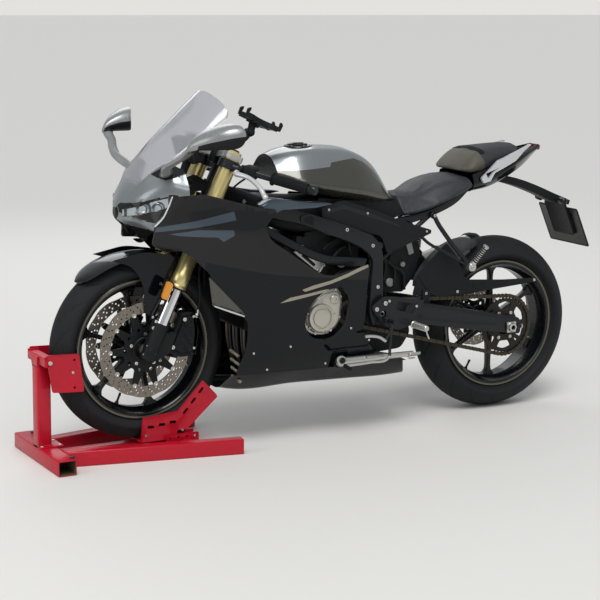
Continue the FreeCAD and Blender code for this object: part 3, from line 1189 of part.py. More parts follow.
def chock_cradle():
    """V of slotted side plates and floor the tyre rolls into, on feet over the sleeper."""
    y0, y1 = d.cradle_y, d.cradle_y + d.chock_plate
    side = slab([(1410, 40, 4), (1403, 120, 4), (1277, 131, 6), (1187, 225, 4), (1137, 172, 4), (1134, 164, 3),
                 (1266, 48, 4), (1290, 39, 4)], y0, y1)
    slots = []
    for x, z, turn in ((1375, 88, 4), (1335, 92, 4), (1296, 96, 4), (1250, 128, -48), (1222, 160, -48),
                       (1194, 192, -48)):
        slot = slab([(x - 12, z - 5, 4.5), (x + 12, z - 5, 4.5), (x + 12, z + 5, 4.5), (x - 12, z + 5, 4.5)],
                    y0 - 5, y1 + 5)
        slot.rotate(Vector(along(x), 0, z), Vector(0, 1, 0), -turn)
        slots.append(slot)
    side = side.cut(Part.makeCompound(slots))
    floor_a = slab([(1410, 44.6), (1380, 44.6), (1268, 52), (1264, 46), (1380, 39), (1410, 39)], -y1, y1)
    floor_b = slab([(1269.5, 52.3), (1136.8, 167), (1132.9, 162.5), (1264, 47)], -y1, y1)
    space = Part.makeCylinder(d.front_tyre_r + d.seat_gap, 400, Vector(d.wheelbase, -200, d.front_axle_z),
                              Vector(0, 1, 0))
    low = d.chock_sleeper_top + d.seat_gap
    foot = slab([(1280, 66), (1222, 66), (1222, low), (1280, low)], y0, y1)
    put("chock_cradle", floor_a.fuse(floor_b).cut(space).multiFuse(both(side) + both(foot)))


def build_all():
    wheels()
    rear_sprocket()
    drive_chain()
    main_frame()
    subframe()
    engine()
    engine_covers()
    radiator()
    exhaust()
    silencer()
    fuel_tank()
    filler_lid()
    shoulder_panels()
    nose_fairing()
    fairing_stay()
    headlamps()
    windscreen()
    side_fairings()
    belly_pan()
    mirrors()
    instrument_panel()
    frame_side_covers()
    seats()
    tail_cowl()
    tail_trims()
    tail_lamp()
    plate_hanger()
    number_plate()
    swingarm()
    rear_shock()
    chain_guard()
    rear_axle()
    rear_caliper()
    footrests()
    side_stand()
    forks()
    yokes()
    handlebars()
    grips()
    hand_levers()
    front_mudguard()
    front_calipers()
    front_axle()
    brake_hoses()
    phone_holder()
    chock_frame()
    chock_clamps()
    chock_cradle()


build_all()
doc.recompute()
os.makedirs("parts", exist_ok=True)
for thing in doc.Objects:
    if "Invalid" in thing.State or "Error" in thing.State:
        raise RuntimeError(f"{thing.Label} did not compute: {thing.State}")
subparts = [o for o in doc.Objects if o.TypeId in ("PartDesign::Body", "Part::Feature")]
for part in subparts:
    if part.Shape.isNull() or not part.Shape.isValid():
        raise RuntimeError(f"{part.Label} has no valid shape")
    print(part.Label, len(part.Shape.Solids), len(part.Shape.Faces), round(part.Shape.Volume / 1e6, 3))
for part in subparts:
    part.Shape.exportStep(f"parts/{part.Label}.step")
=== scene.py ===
"""Looks of a middleweight sport bike on its front-wheel chock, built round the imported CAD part.

Drawn in millimetres from a point on the floor below the rear axle: +X forward, +Y left, +Z up.
"""
import bmesh
import bpy
import math
import numpy as np
from mathutils import Matrix, Vector
from mathutils.bvhtree import BVHTree
from mathutils.geometry import delaunay_2d_cdt


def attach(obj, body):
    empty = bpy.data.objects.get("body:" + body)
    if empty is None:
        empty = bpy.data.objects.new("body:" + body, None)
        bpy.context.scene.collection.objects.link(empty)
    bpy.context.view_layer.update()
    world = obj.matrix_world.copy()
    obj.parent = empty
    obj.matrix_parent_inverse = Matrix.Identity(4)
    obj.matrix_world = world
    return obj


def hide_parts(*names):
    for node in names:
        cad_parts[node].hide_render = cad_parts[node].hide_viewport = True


bl_info = {
    "name": "Sport bike looks",
    "version": (1, 0, 0),
    "blender": (4, 5, 0),
    "location": "3D View > Sidebar > Sport bike",
    "description": "Builds the outside of a sport bike on a wheel chock round its CAD frame",
    "category": "Object",
}

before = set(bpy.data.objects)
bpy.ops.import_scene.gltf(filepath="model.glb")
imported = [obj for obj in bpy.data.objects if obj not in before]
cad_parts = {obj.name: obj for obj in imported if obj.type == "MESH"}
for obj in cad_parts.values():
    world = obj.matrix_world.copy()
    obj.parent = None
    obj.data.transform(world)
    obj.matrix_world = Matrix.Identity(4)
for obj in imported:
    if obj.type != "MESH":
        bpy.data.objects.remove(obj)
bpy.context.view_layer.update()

# Driving dimensions in millimetres, as in the part's source
REAR_AXLE_X = -693.0  # where the drawing's origin lies in the frame
WHEELBASE = 1390.0
FRONT_AXLE_Z, REAR_AXLE_Z = 345.0, 312.0
RAKE = math.radians(25.4)
FORK_HALF = 100  # each fork leg from the middle plane
CHAIN_Y, CHAIN_PITCH, CHAIN_LINKS = 96.0, 15.875, 112
FRONT_TEETH, REAR_TEETH = 15, 42

# Places that several pieces share
FRONT_AXLE, REAR_AXLE = (WHEELBASE, 0, FRONT_AXLE_Z), (0, 0, REAR_AXLE_Z)
SPINDLE = (560, 0, 412)  # swingarm's pivot
FILLER = (800, 0, 0)  # middle of the tank's filler, seen from above
FORK_UP = np.array((-math.sin(RAKE), 0, math.cos(RAKE)))
FORK_BACK = (-math.cos(RAKE), 0, -math.sin(RAKE))

BOLTS = {}  # body: bolt heads asked for by the pieces, each a place, an aim and a radius
FINISH, TREES = {}, {}  # materials and Geometry Nodes trees by name


# Numbers and curves

def linear(code):
    """Linear colour from an sRGB hex code."""
    parts = [int(code[k:k + 2], 16) / 255 for k in (0, 2, 4)]
    return tuple(c / 12.92 if c <= 0.04045 else ((c + 0.055) / 1.055) ** 2.4 for c in parts) + (1.0,)


def fork_point(s, t, y=0.0):
    """Point from distances along the fork from its axle and ahead of its line."""
    return np.array((WHEELBASE - s * math.sin(RAKE) + t * math.cos(RAKE), y,
                     FRONT_AXLE_Z + s * math.cos(RAKE) + t * math.sin(RAKE)))


STEM_FOOT = fork_point(0, -30)  # the steering stem's axis, level with the front axle


def glide(knots, values, at):
    """Values at the places asked for, on a smooth curve through the knots."""
    t, v, at = np.asarray(knots, float), np.asarray(values, float), np.asarray(at, float)
    if t[0] > t[-1]:
        t, v = t[::-1], v[::-1]
    shape = (-1,) + (1,) * (v.ndim - 1)
    step = np.diff(t).reshape(shape)
    slope = np.diff(v, axis=0) / step
    mid = (slope[:-1] * step[1:] + slope[1:] * step[:-1]) / (step[:-1] + step[1:])
    tang = np.concatenate([slope[:1], mid, slope[-1:]])
    k = np.clip(np.searchsorted(t, at, side="right") - 1, 0, len(t) - 2)
    h = step[k]
    u = (at - t[k]).reshape(shape) / h
    return ((2 * u ** 3 - 3 * u ** 2 + 1) * v[k] + (u ** 3 - 2 * u ** 2 + u) * h * tang[k]
            + (3 * u ** 2 - 2 * u ** 3) * v[k + 1] + (u ** 3 - u ** 2) * h * tang[k + 1])


def drawn_out(rows, count):
    """Rows of points drawn out to more rows along a smooth curve."""
    rows = np.asarray(rows, float)
    flat = rows.reshape(len(rows), -1)
    gaps = np.linalg.norm(np.diff(rows, axis=0), axis=-1).reshape(len(rows) - 1, -1).mean(axis=1)
    t = np.concatenate([[0], np.cumsum(gaps)])
    return glide(t, flat, np.linspace(0, t[-1], count)).reshape((count,) + rows.shape[1:])


def rounded(points, cut, steps=4, closed=True, size=2):
    """Points of a run of lines, corners rounded; a number after a corner's coordinates is its own cut."""
    pts = [np.array(p[:size], float) for p in points]
    out = []
    for i, p in enumerate(pts):
        if not closed and i in (0, len(pts) - 1):
            out.append(p)
            continue
        back, ahead = pts[i - 1] - p, pts[(i + 1) % len(pts)] - p
        far, near = np.linalg.norm(back), np.linalg.norm(ahead)
        mine = points[i][size] if len(points[i]) > size else cut
        c = min(mine, 0.45 * far, 0.45 * near)
        a, b = p + back / far * c, p + ahead / near * c
        out += [(1 - u) ** 2 * a + 2 * u * (1 - u) * p + u * u * b for u in np.linspace(0, 1, steps + 1)]
    return np.array(out)


def oblong(x0, x1, z0, z1, cut, steps=4):
    """Rectangle with rounded corners."""
    return rounded([(x0, z0), (x1, z0), (x1, z1), (x0, z1)], cut, steps)


def inside(points, loop):
    """Which of the points lie inside a closed loop."""
    x, y = points[:, 0], points[:, 1]
    hit = np.zeros(len(points), bool)
    for (x0, y0), (x1, y1) in zip(loop, np.roll(loop, -1, axis=0)):
        if y0 == y1:
            continue
        cross = (y0 > y) != (y1 > y)
        hit ^= cross & (x < (x1 - x0) * (y - y0) / (y1 - y0) + x0)
    return hit


def stepped(loop, spacing):
    """A closed loop with more points on its long edges."""
    out = []
    for a, b in zip(loop, np.roll(loop, -1, axis=0)):
        count = max(1, int(np.linalg.norm(b - a) / spacing))
        out += [a + (b - a) * k / count for k in range(count)]
    return np.array(out)


def carved(outer, holes=(), lines=(), spacing=0.0):
    """Triangles inside an outline and outside its holes, kept to the lines drawn inside it."""
    loops = [np.asarray(loop, float) for loop in [outer, *holes, *lines]]
    if spacing:
        loops = [stepped(loop, spacing) for loop in loops]
    spots, edges = [], []
    for loop in loops:
        base = len(spots)
        spots += list(loop)
        edges += [(base + k, base + (k + 1) % len(loop)) for k in range(len(loop))]
    if spacing:
        low, high = loops[0].min(axis=0), loops[0].max(axis=0)
        grid = np.array([(x + (row % 2) * spacing / 2, y)
                         for row, y in enumerate(np.arange(low[1] + spacing / 2, high[1], spacing * 0.87))
                         for x in np.arange(low[0], high[0], spacing)])
        grid = grid[inside(grid, loops[0])]
        border = np.array(spots)
        grid = [p for p in grid if np.min(np.sum((border - p) ** 2, axis=1)) > (spacing * 0.45) ** 2]
        spots += grid
    result = delaunay_2d_cdt([Vector(p) for p in spots], edges, [], 0, 1e-4, False)
    points = np.array([tuple(p) for p in result[0]])
    faces = [tuple(f) for f in result[2]]
    middles = np.array([points[list(f)].mean(axis=0) for f in faces])
    keep = inside(middles, loops[0])
    for hole in loops[1:1 + len(holes)]:
        keep &= ~inside(middles, hole)
    return points, [f for f, k in zip(faces, keep) if k], middles[keep]


def circle(x, z, radius, count=16):
    """Round hole or disc in the side view."""
    turns = [2 * math.pi * k / count for k in range(count)]
    return np.array([(x + radius * math.cos(a), z + radius * math.sin(a)) for a in turns])


def wheel_point(cx, cz, r, angle, y):
    """Point at a distance and angle about an axle that lies at (cx, cz)."""
    return (cx + r * math.cos(angle), y, cz + r * math.sin(angle))


def unit(v):
    """The direction of a vector."""
    v = np.asarray(v, float)
    return v / np.linalg.norm(v)


def length_along(points):
    """How far along a run of points each one lies."""
    return np.concatenate([[0], np.cumsum(np.linalg.norm(np.diff(points, axis=0), axis=1))])


def from_above(u, v, w):
    """Lays a plate flat: along, across and up."""
    return (u, v, w)


def looks():
    """The sizes and colours that a user can change."""
    return bpy.context.scene.bike_looks


# Building shapes

def walled(faces, count):
    """A sheet's faces, the same turned over on the count of corners after them, and the walls between."""
    edges = dict.fromkeys((a, b) for f in faces for a, b in zip(f, f[1:] + f[:1]))
    rim = [(a, b, b + count, a + count) for a, b in edges if (b, a) not in edges]
    return list(faces) + [tuple(k + count for k in f[::-1]) for f in faces] + rim


class Shape:
    """Corners in millimetres and faces, each face with the number of its finish."""

    def __init__(self):
        self.points, self.faces, self.marks = [], [], []

    def add(self, points, faces, mark=0):
        """More corners and faces, with one finish or one for each face."""
        base = len(self.points)
        self.points += [tuple(map(float, p)) for p in points]
        self.faces += [tuple(base + k for k in face) for face in faces]
        self.marks += [mark] * len(faces) if isinstance(mark, int) else list(mark)
        return self

    def twin(self):
        """The same again on the right side of the bike."""
        points, faces, marks = list(self.points), list(self.faces), list(self.marks)
        return self.add([(x, -y, z) for x, y, z in points], [f[::-1] for f in faces], marks)

    def join(self, other, side=1):
        """Another shape's faces, on the right side of the bike where side is -1."""
        return self.add([(x, y * side, z) for x, y, z in other.points], other.faces, other.marks)

    def middles(self):
        """The middle of each face."""
        return np.array([np.mean([self.points[k] for k in f], axis=0) for f in self.faces])

    def keep(self, wanted):
        """Only the faces wanted."""
        self.faces = [f for f, k in zip(self.faces, wanted) if k]
        self.marks = [m for m, k in zip(self.marks, wanted) if k]
        return self

    def skin(self, rows, mark=0, caps=(True, True), closed=True):
        """Faces between rows of equal length; the finish is one, or one for each point of a row."""
        rows = np.asarray(rows, float)
        n, m = rows.shape[:2]
        faces, marks = [], []
        for i in range(n - 1):
            for j in range(m if closed else m - 1):
                k = (j + 1) % m
                faces.append((i * m + j, i * m + k, (i + 1) * m + k, (i + 1) * m + j))
                marks.append(mark if isinstance(mark, int) else mark[j])
        for at, wanted in ((0, caps[0]), (n - 1, caps[1])):
            if wanted:
                faces.append(tuple(at * m + j for j in range(m)))
                marks.append(mark if isinstance(mark, int) else mark[0])
        return self.add(rows.reshape(-1, 3), faces, marks)

    def pipe(self, points, radius, sides=12, steps=0, mark=0, flat=1.0):
        """Round bar through the points; the radius may change from point to point."""
        pts = np.asarray(points, float)
        radii = np.full(len(pts), float(radius)) if np.isscalar(radius) else np.asarray(radius, float)
        if steps:
            t = length_along(pts)
            at = np.linspace(0, t[-1], steps)
            pts, radii = glide(t, pts, at), glide(t, radii, at)
        heading = unit(pts[1] - pts[0])
        side = unit(np.cross(heading, (0.3, 0.1, 1.0) if abs(heading[2]) < 0.9 else (1.0, 0.2, 0.1)))
        rows = []
        for i, p in enumerate(pts):
            ahead = unit(pts[min(i + 1, len(pts) - 1)] - pts[max(i - 1, 0)])
            side = unit(side - ahead * np.dot(side, ahead))
            lift = np.cross(ahead, side)
            rows.append([p + radii[i] * (side * math.cos(a) + lift * math.sin(a) * flat)
                         for a in np.linspace(0, 2 * math.pi, sides, endpoint=False)])
        return self.skin(rows, mark)

    def spun(self, profile, centre, axis=(0, 1, 0), sides=48, mark=0, loop=False):
        """(distance along the axis, radius) points turned round an axis."""
        axis = unit(axis)
        side = unit(np.cross(axis, (0.0, 0.0, 1.0) if abs(axis[2]) < 0.9 else (1.0, 0.0, 0.0)))
        lift = np.cross(axis, side)
        centre = np.asarray(centre, float)
        ring = [side * math.cos(a) + lift * math.sin(a)
                for a in np.linspace(0, 2 * math.pi, sides, endpoint=False)]
        rows = [[centre + axis * along + r * radius for along, radius in profile] for r in ring]
        rows.append(rows[0])
        marks = mark if isinstance(mark, int) else list(mark)
        return self.skin(rows, marks, caps=(False, False), closed=loop)

    def plate(self, outer, start, end, holes=(), mark=0, lay=None):
        """Flat plate with holes, between two distances; side view unless lay turns it."""
        lay = lay or (lambda u, v, w: (u, w, v))
        loops = [np.asarray(outer, float)] + [np.asarray(h, float) for h in holes]
        points, faces, _middles = carved(loops[0], loops[1:])
        corners = [lay(u, v, w) for w in (start, end) for u, v in points]
        return self.add(corners, walled(faces, len(points)), mark)

    def sheet(self, outer, depth, wall, holes=(), areas=(), spacing=14.0, mark=0):
        """Curved panel with its face at depth(x, z); areas take other finishes."""
        points, faces, middles = carved(outer, holes, [a for a, _m in areas], spacing)
        deep = depth(points[:, 0], points[:, 1])
        corners = [(x, y - back, z) for back in (0, wall) for (x, z), y in zip(points, deep)]
        marks = np.full(len(faces), mark)
        for loop, other in areas:
            marks[inside(middles, np.asarray(loop, float))] = other
        whole = walled(faces, len(points))
        return self.add(corners, whole, marks.tolist() + [mark] * (len(whole) - len(faces)))


def new_object(name, data):
    """Object with its data, in the scene."""
    obj = bpy.data.objects.new(name, data)
    bpy.context.scene.collection.objects.link(obj)
    return obj


def in_metres(points):
    """Points of the drawing, in millimetres, as places in the frame."""
    at = np.array(points, float) / 1000.0
    at[:, 0] += REAR_AXLE_X / 1000.0
    return at.tolist()


def smooth_mesh(name, shape, finishes, bevel=0.0, angle=32.0, bevel_angle=40.0):
    """Blender object from a shape: doubles merged, faces turned out, edges rounded, creases kept."""
    mesh = bpy.data.meshes.new(name)
    mesh.from_pydata(in_metres(shape.points), [], shape.faces)
    for one in finishes:
        mesh.materials.append(FINISH[one])
    mesh.polygons.foreach_set("material_index", shape.marks)
    obj = new_object(name, mesh)
    weld_points = obj.modifiers.new("Weld", "WELD")
    weld_points.merge_threshold = 0.00002
    if bevel:
        edge = obj.modifiers.new("Bevel", "BEVEL")
        edge.width, edge.segments = bevel / 1000.0, 2
        edge.limit_method, edge.angle_limit = "ANGLE", math.radians(bevel_angle)
        edge.harden_normals = False
    solid = plain_copy(obj)
    turn_faces_out(solid)
    solid.polygons.foreach_set("use_smooth", [True] * len(solid.polygons))
    solid.set_sharp_from_angle(angle=math.radians(angle))
    obj.modifiers.clear()
    obj.data = solid
    bpy.data.meshes.remove(mesh)
    solid.name = name
    return obj


def plain_copy(obj):
    """The object's mesh with its modifiers worked in."""
    graph = bpy.context.evaluated_depsgraph_get()
    graph.update()
    return bpy.data.meshes.new_from_object(obj.evaluated_get(graph))


def turn_faces_out(mesh):
    """Turn all faces outwards."""
    work = bmesh.new()
    work.from_mesh(mesh)
    bmesh.ops.dissolve_degenerate(work, dist=0.000005, edges=work.edges)
    bmesh.ops.recalc_face_normals(work, faces=work.faces)
    work.to_mesh(mesh)
    work.free()


def settled(obj, body, nodes=()):
    """A finished piece put on its body, in place of the CAD nodes named."""
    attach(obj, body)
    if nodes:
        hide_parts(*nodes)
    return obj


def piece(name, shape, body, slot, finishes, nodes=(), **how):
    """A shape made a mesh and put on its body."""
    return settled(smooth_mesh(name, shape, finishes, **how), body, nodes)


def bolt(body, spot, aim, radius=5.0):
    """Ask for a bolt head at a spot, facing along aim."""
    BOLTS.setdefault(body, []).append((tuple(spot), tuple(unit(aim)), float(radius)))


def bolts_both(body, spot, aim, radius=5.0):
    """The same bolt on the left and the right."""
    bolt(body, spot, aim, radius)
    bolt(body, (spot[0], -spot[1], spot[2]), (aim[0], -aim[1], aim[2]), radius)


# Repeats by Geometry Nodes

def node(tree, kind, inputs=None, **settings):
    """A node with its settings, and its inputs set or linked."""
    one = tree.nodes.new(kind)
    for word, value in settings.items():
        setattr(one, word, value)
    for word, value in (inputs or {}).items():
        if isinstance(value, bpy.types.NodeSocket):
            tree.links.new(value, one.inputs[word])
        else:
            one.inputs[word].default_value = value
    return one


def new_tree(name, **sockets):
    """Geometry Nodes tree with named inputs: the kind of each, or the number that it starts from."""
    tree = bpy.data.node_groups.new(name, "GeometryNodeTree")
    tree.interface.new_socket("Geometry", in_out="INPUT", socket_type="NodeSocketGeometry")
    for word, given in sockets.items():
        kind = given if isinstance(given, str) else {int: "Int", float: "Float"}[type(given)]
        socket = tree.interface.new_socket(word.replace("_", " "), in_out="INPUT",
                                           socket_type="NodeSocket" + kind)
        if kind is not given:
            socket.default_value = given
    tree.interface.new_socket("Geometry", in_out="OUTPUT", socket_type="NodeSocketGeometry")
    return tree, node(tree, "NodeGroupInput").outputs


def end_tree(tree, parts, finish_socket):
    """The tree's end: its parts made real and given their finish."""
    real = node(tree, "GeometryNodeRealizeInstances", {"Geometry": parts})
    paint = node(tree, "GeometryNodeSetMaterial",
                 {"Geometry": real.outputs["Geometry"], "Material": finish_socket})
    node(tree, "NodeGroupOutput", {0: paint.outputs["Geometry"]})
    return tree


def repeat_tree():
    """Places a part on every point of a mesh, turned and sized by the points' attributes."""
    tree, given = new_tree("Repeat part", Part="Object", Finish="Material")
    aim, across, size = (
        node(tree, "GeometryNodeInputNamedAttribute", {"Name": word}, data_type=kind).outputs["Attribute"]
        for word, kind in (("aim", "FLOAT_VECTOR"), ("across", "FLOAT_VECTOR"), ("size", "FLOAT")))
    upright = node(tree, "FunctionNodeAlignRotationToVector", {"Vector": aim}, axis="Z")
    turned = node(tree, "FunctionNodeAlignRotationToVector", {
        "Rotation": upright.outputs["Rotation"], "Vector": across}, axis="X", pivot_axis="Z")
    part = node(tree, "GeometryNodeObjectInfo", {"Object": given["Part"]})
    place = node(tree, "GeometryNodeInstanceOnPoints", {
        "Points": given["Geometry"], "Instance": part.outputs["Geometry"],
        "Rotation": turned.outputs["Rotation"], "Scale": size})
    return end_tree(tree, place.outputs["Instances"], given["Finish"])


def grown(name, mesh, tree_name, **values):
    """Object that a Geometry Nodes tree makes from a mesh, with the tree's inputs set by name."""
    obj = new_object(name, mesh)
    mod = obj.modifiers.new(name, "NODES")
    mod.node_group = TREES[tree_name]
    sockets = {i.name: i.identifier for i in mod.node_group.interface.items_tree if i.in_out == "INPUT"}
    for word, value in values.items():
        mod[sockets[word.replace("_", " ")]] = value
    solid = plain_copy(obj)
    obj.modifiers.clear()
    obj.data = solid
    bpy.data.meshes.remove(mesh)
    solid.name = name
    return obj


def loose_part(name, shape, finish_name, angle=32.0):
    """A part at the world's middle, for Geometry Nodes to place."""
    part = smooth_mesh(name, shape, [finish_name], angle=angle)
    part.data.transform(Matrix.Translation((-REAR_AXLE_X / 1000.0, 0, 0)))
    return part


def repeated(name, part_shape, spots, body, finish_name, angle=32.0):
    """One mesh of a part repeated at (point, aim, across, size) spots."""
    part = loose_part(name + "_part", part_shape, finish_name, angle)
    mesh = bpy.data.meshes.new(name)
    mesh.from_pydata(in_metres([s[0] for s in spots]), [], [])
    layers = (("aim", "FLOAT_VECTOR", "vector"), ("across", "FLOAT_VECTOR", "vector"),
              ("size", "FLOAT", "value"))
    for k, (word, kind, key) in enumerate(layers, 1):
        layer = mesh.attributes.new(word, kind, "POINT")
        layer.data.foreach_set(key, np.array([s[k] for s in spots], float).ravel())
    obj = grown(name, mesh, "repeat", Part=part, Finish=FINISH[finish_name])
    bpy.data.objects.remove(part)
    return settled(obj, body)


# Finishes

def finish(name, tone, second=None, metal=0.0, rough=0.4, spread=0.04, coat=0.0, grain=12.0, relief=None,
           relief_mm=1.5, depth_mm=0.05, stretch=(1, 1, 1), clear=0.0, shine=0.5):
    """Surface by name: tones as sRGB hex or linear colours, grain and relief in real millimetres."""
    tone = linear(tone) if isinstance(tone, str) else tuple(tone)
    paint = bpy.data.materials.new(name)
    paint.use_nodes = True
    tree = paint.node_tree
    tree.nodes.clear()
    place = node(tree, "ShaderNodeTexCoord")
    scaled = node(tree, "ShaderNodeMapping", {"Vector": place.outputs["Object"], "Scale": stretch})
    cloud = node(tree, "ShaderNodeTexNoise",
                 {"Vector": scaled.outputs["Vector"], "Scale": 1000.0 / grain, "Detail": 3.0})
    wear = node(tree, "ShaderNodeMapRange",
                {"Value": cloud.outputs[0], "From Min": 0.3, "From Max": 0.7,
                 "To Min": max(0.02, rough - spread), "To Max": rough + spread})
    body = node(tree, "ShaderNodeBsdfPrincipled", {
        "Base Color": tone, "Metallic": metal, "Roughness": wear.outputs["Result"], "Coat Weight": coat,
        "Coat Roughness": 0.04, "Transmission Weight": clear, "Specular IOR Level": shine})
    if second:
        blend = node(tree, "ShaderNodeMix", {"Factor": cloud.outputs[0]}, data_type="RGBA")
        blend.inputs[6].default_value, blend.inputs[7].default_value = tone, linear(second)
        tree.links.new(blend.outputs[2], body.inputs["Base Color"])
    if relief:
        kind, detail = ("ShaderNodeTexVoronoi", {}) if relief == "hide" else ("ShaderNodeTexNoise",
            {"Detail": 2.0})
        bumps = node(tree, kind, {"Vector": scaled.outputs["Vector"], "Scale": 1000.0 / relief_mm,
                                  **detail})
        push = node(tree, "ShaderNodeBump",
                    {"Height": bumps.outputs[0], "Strength": 0.6, "Distance": depth_mm / 1000.0})
        tree.links.new(push.outputs["Normal"], body.inputs["Normal"])
    node(tree, "ShaderNodeOutputMaterial", {"Surface": body.outputs["BSDF"]})
    return paint


# name: real material and finishing, then the numbers that draw it
SURFACES = {
    "tyre_rubber": dict(shine=0.2, tone="1b1c1e", second="232426", rough=0.72, relief="fine",
                        relief_mm=1.2, depth_mm=0.1),
    # cast alloy, powder coated gloss black
    "rim_black": dict(shine=0.25, tone="0b0c0e", rough=0.28, coat=0.25),
    "rim_line": dict(tone="5f5c4c", rough=0.35, metal=0.4),  # pale lip line of a coated rim
    # ground stainless steel
    "disc_steel": dict(tone="8f877d", second="7b746c", metal=1.0, rough=0.34, grain=3.0),
    "carrier_black": dict(shine=0.3, tone="17181a", metal=0.4, rough=0.45),  # anodised disc carrier
    "bobbin_steel": dict(tone="c8c6c0", metal=1.0, rough=0.3),
    # anodised upper fork tube
    "fork_gold": dict(tone="dcc886", metal=0.85, rough=0.3, spread=0.015, grain=40.0),
    "leg_chrome": dict(tone="e2e3e3", metal=1.0, rough=0.1, spread=0.02),  # hard-chromed fork leg
    # painted casting
    "cast_black": dict(shine=0.25, tone="1a1b1d", metal=0.3, rough=0.5, relief="fine", depth_mm=0.08),
    # satin powder coat on steel and alloy
    "frame_black": dict(shine=0.25, tone="1c1d20", metal=0.2, rough=0.42, coat=0.2),
    # lacquered black body panels
    "paint_black": dict(shine=0.15, tone="0b0d12", rough=0.1, coat=0.25, spread=0.02),
    # dark grey lacquer, lighter than the black: partly its own tone, partly a painted sheen of the sky on
    # upper surfaces
    "paint_dusk": dict(shine=0.2, tone="1b1b1c", rough=0.14, metal=0.1, coat=0.35, spread=0.02),
    # blue-grey graphic lacquer
    "paint_slate": dict(shine=0.3, tone="323b45", rough=0.24, metal=0.5, coat=0.4, spread=0.02),
    # metallic tank top
    "paint_silver": dict(tone="858a8b", second="7b8080", metal=0.6, rough=0.3, coat=1.0, grain=2.0),
    # tank flanks
    "paint_olive": dict(tone="45443a", second="3b3a32", metal=0.5, rough=0.26, coat=1.0, grain=2.0),
    "stripe_pale": dict(tone="8f8a78", rough=0.35, coat=0.4),
    "trim_light": dict(tone="cfd1d4", rough=0.24, metal=0.4, coat=0.8),
    "plastic_black": dict(shine=0.2, tone="18191b", rough=0.55, relief="fine", relief_mm=0.9,
                          depth_mm=0.05),
    "seat_hide": dict(shine=0.3, tone="2b2d30", second="34363a", rough=0.5, relief="hide", relief_mm=1.6,
                      depth_mm=0.12),
    "seat_olive": dict(shine=0.3, tone="4b483e", second="55524a", rough=0.55, relief="hide",
                       relief_mm=1.6, depth_mm=0.12),
    "seam_thread": dict(tone="6a6a68", rough=0.8),
    "alloy_silver": dict(tone="c5c4bf", metal=0.9, rough=0.33, grain=4.0),  # bead-blasted silver alloy
    "cover_alloy": dict(tone="bdb9ae", metal=0.85, rough=0.38, relief="fine", relief_mm=1.0,
                        depth_mm=0.06),
    "engine_alloy": dict(tone="8e8f8d", metal=0.8, rough=0.5, relief="fine", relief_mm=2.0,
                         depth_mm=0.15),
    "bolt_steel": dict(tone="d2d1cc", metal=1.0, rough=0.28),
    "dark_bolt": dict(tone="3a3a3c", metal=0.9, rough=0.4),
    # brushed steel
    "silencer_steel": dict(tone="aaa9a4", metal=1.0, rough=0.3, stretch=(1, 12, 12), grain=4.0),
    # heat-tinted steel
    "header_steel": dict(tone="5e544b", second="4b4a50", metal=1.0, rough=0.35, grain=60.0),
    "core_black": dict(tone="141516", metal=0.5, rough=0.7),
    "smoke_screen": dict(tone="c9cad0", rough=0.12, spread=0.02, coat=0.6, clear=0.72),
    "lamp_clear": dict(tone="eef2f4", rough=0.03, spread=0.01, clear=1.0),
    "lamp_silver": dict(tone="d8dcdf", metal=1.0, rough=0.12, spread=0.02),
    "lamp_white": dict(tone="d9ddd8", rough=0.3, coat=0.5),
    "amber_lens": dict(tone="d98a12", rough=0.15, coat=0.8, relief="hide", relief_mm=4.0, depth_mm=0.3),
    "red_lens": dict(tone="8e1014", rough=0.15, coat=0.8),
    "mirror_grey": dict(tone="8e908f", metal=0.5, rough=0.3, coat=0.5),
    "mirror_glass": dict(tone="e9ecee", metal=1.0, rough=0.03, spread=0.01),
    "screen_glass": dict(tone="0c0d10", rough=0.08, coat=1.0),
    "grip_rubber": dict(shine=0.2, tone="161719", rough=0.8, relief="fine", relief_mm=0.8, depth_mm=0.08),
    "hose_rubber": dict(shine=0.3, tone="121315", rough=0.55),
    "chain_steel": dict(tone="3d3932", second="544e42", metal=0.9, rough=0.42, grain=2.0),
    "sprocket_steel": dict(tone="2a2826", second="35312c", metal=0.7, rough=0.45),  # oiled dark sprocket
    "plate_black": dict(tone="151517", rough=0.45, coat=0.2),
    "chock_red": dict(shine=0.3, tone="be0c28", second="a80b23", rough=0.36, coat=0.15, relief="fine",
                      relief_mm=6.0, depth_mm=0.1),
    "tube_inside": dict(tone="6d5f44", metal=0.3, rough=0.7),
    "cap_metal": dict(tone="2a2b2c", metal=0.8, rough=0.3),
}


# Wheels and brakes

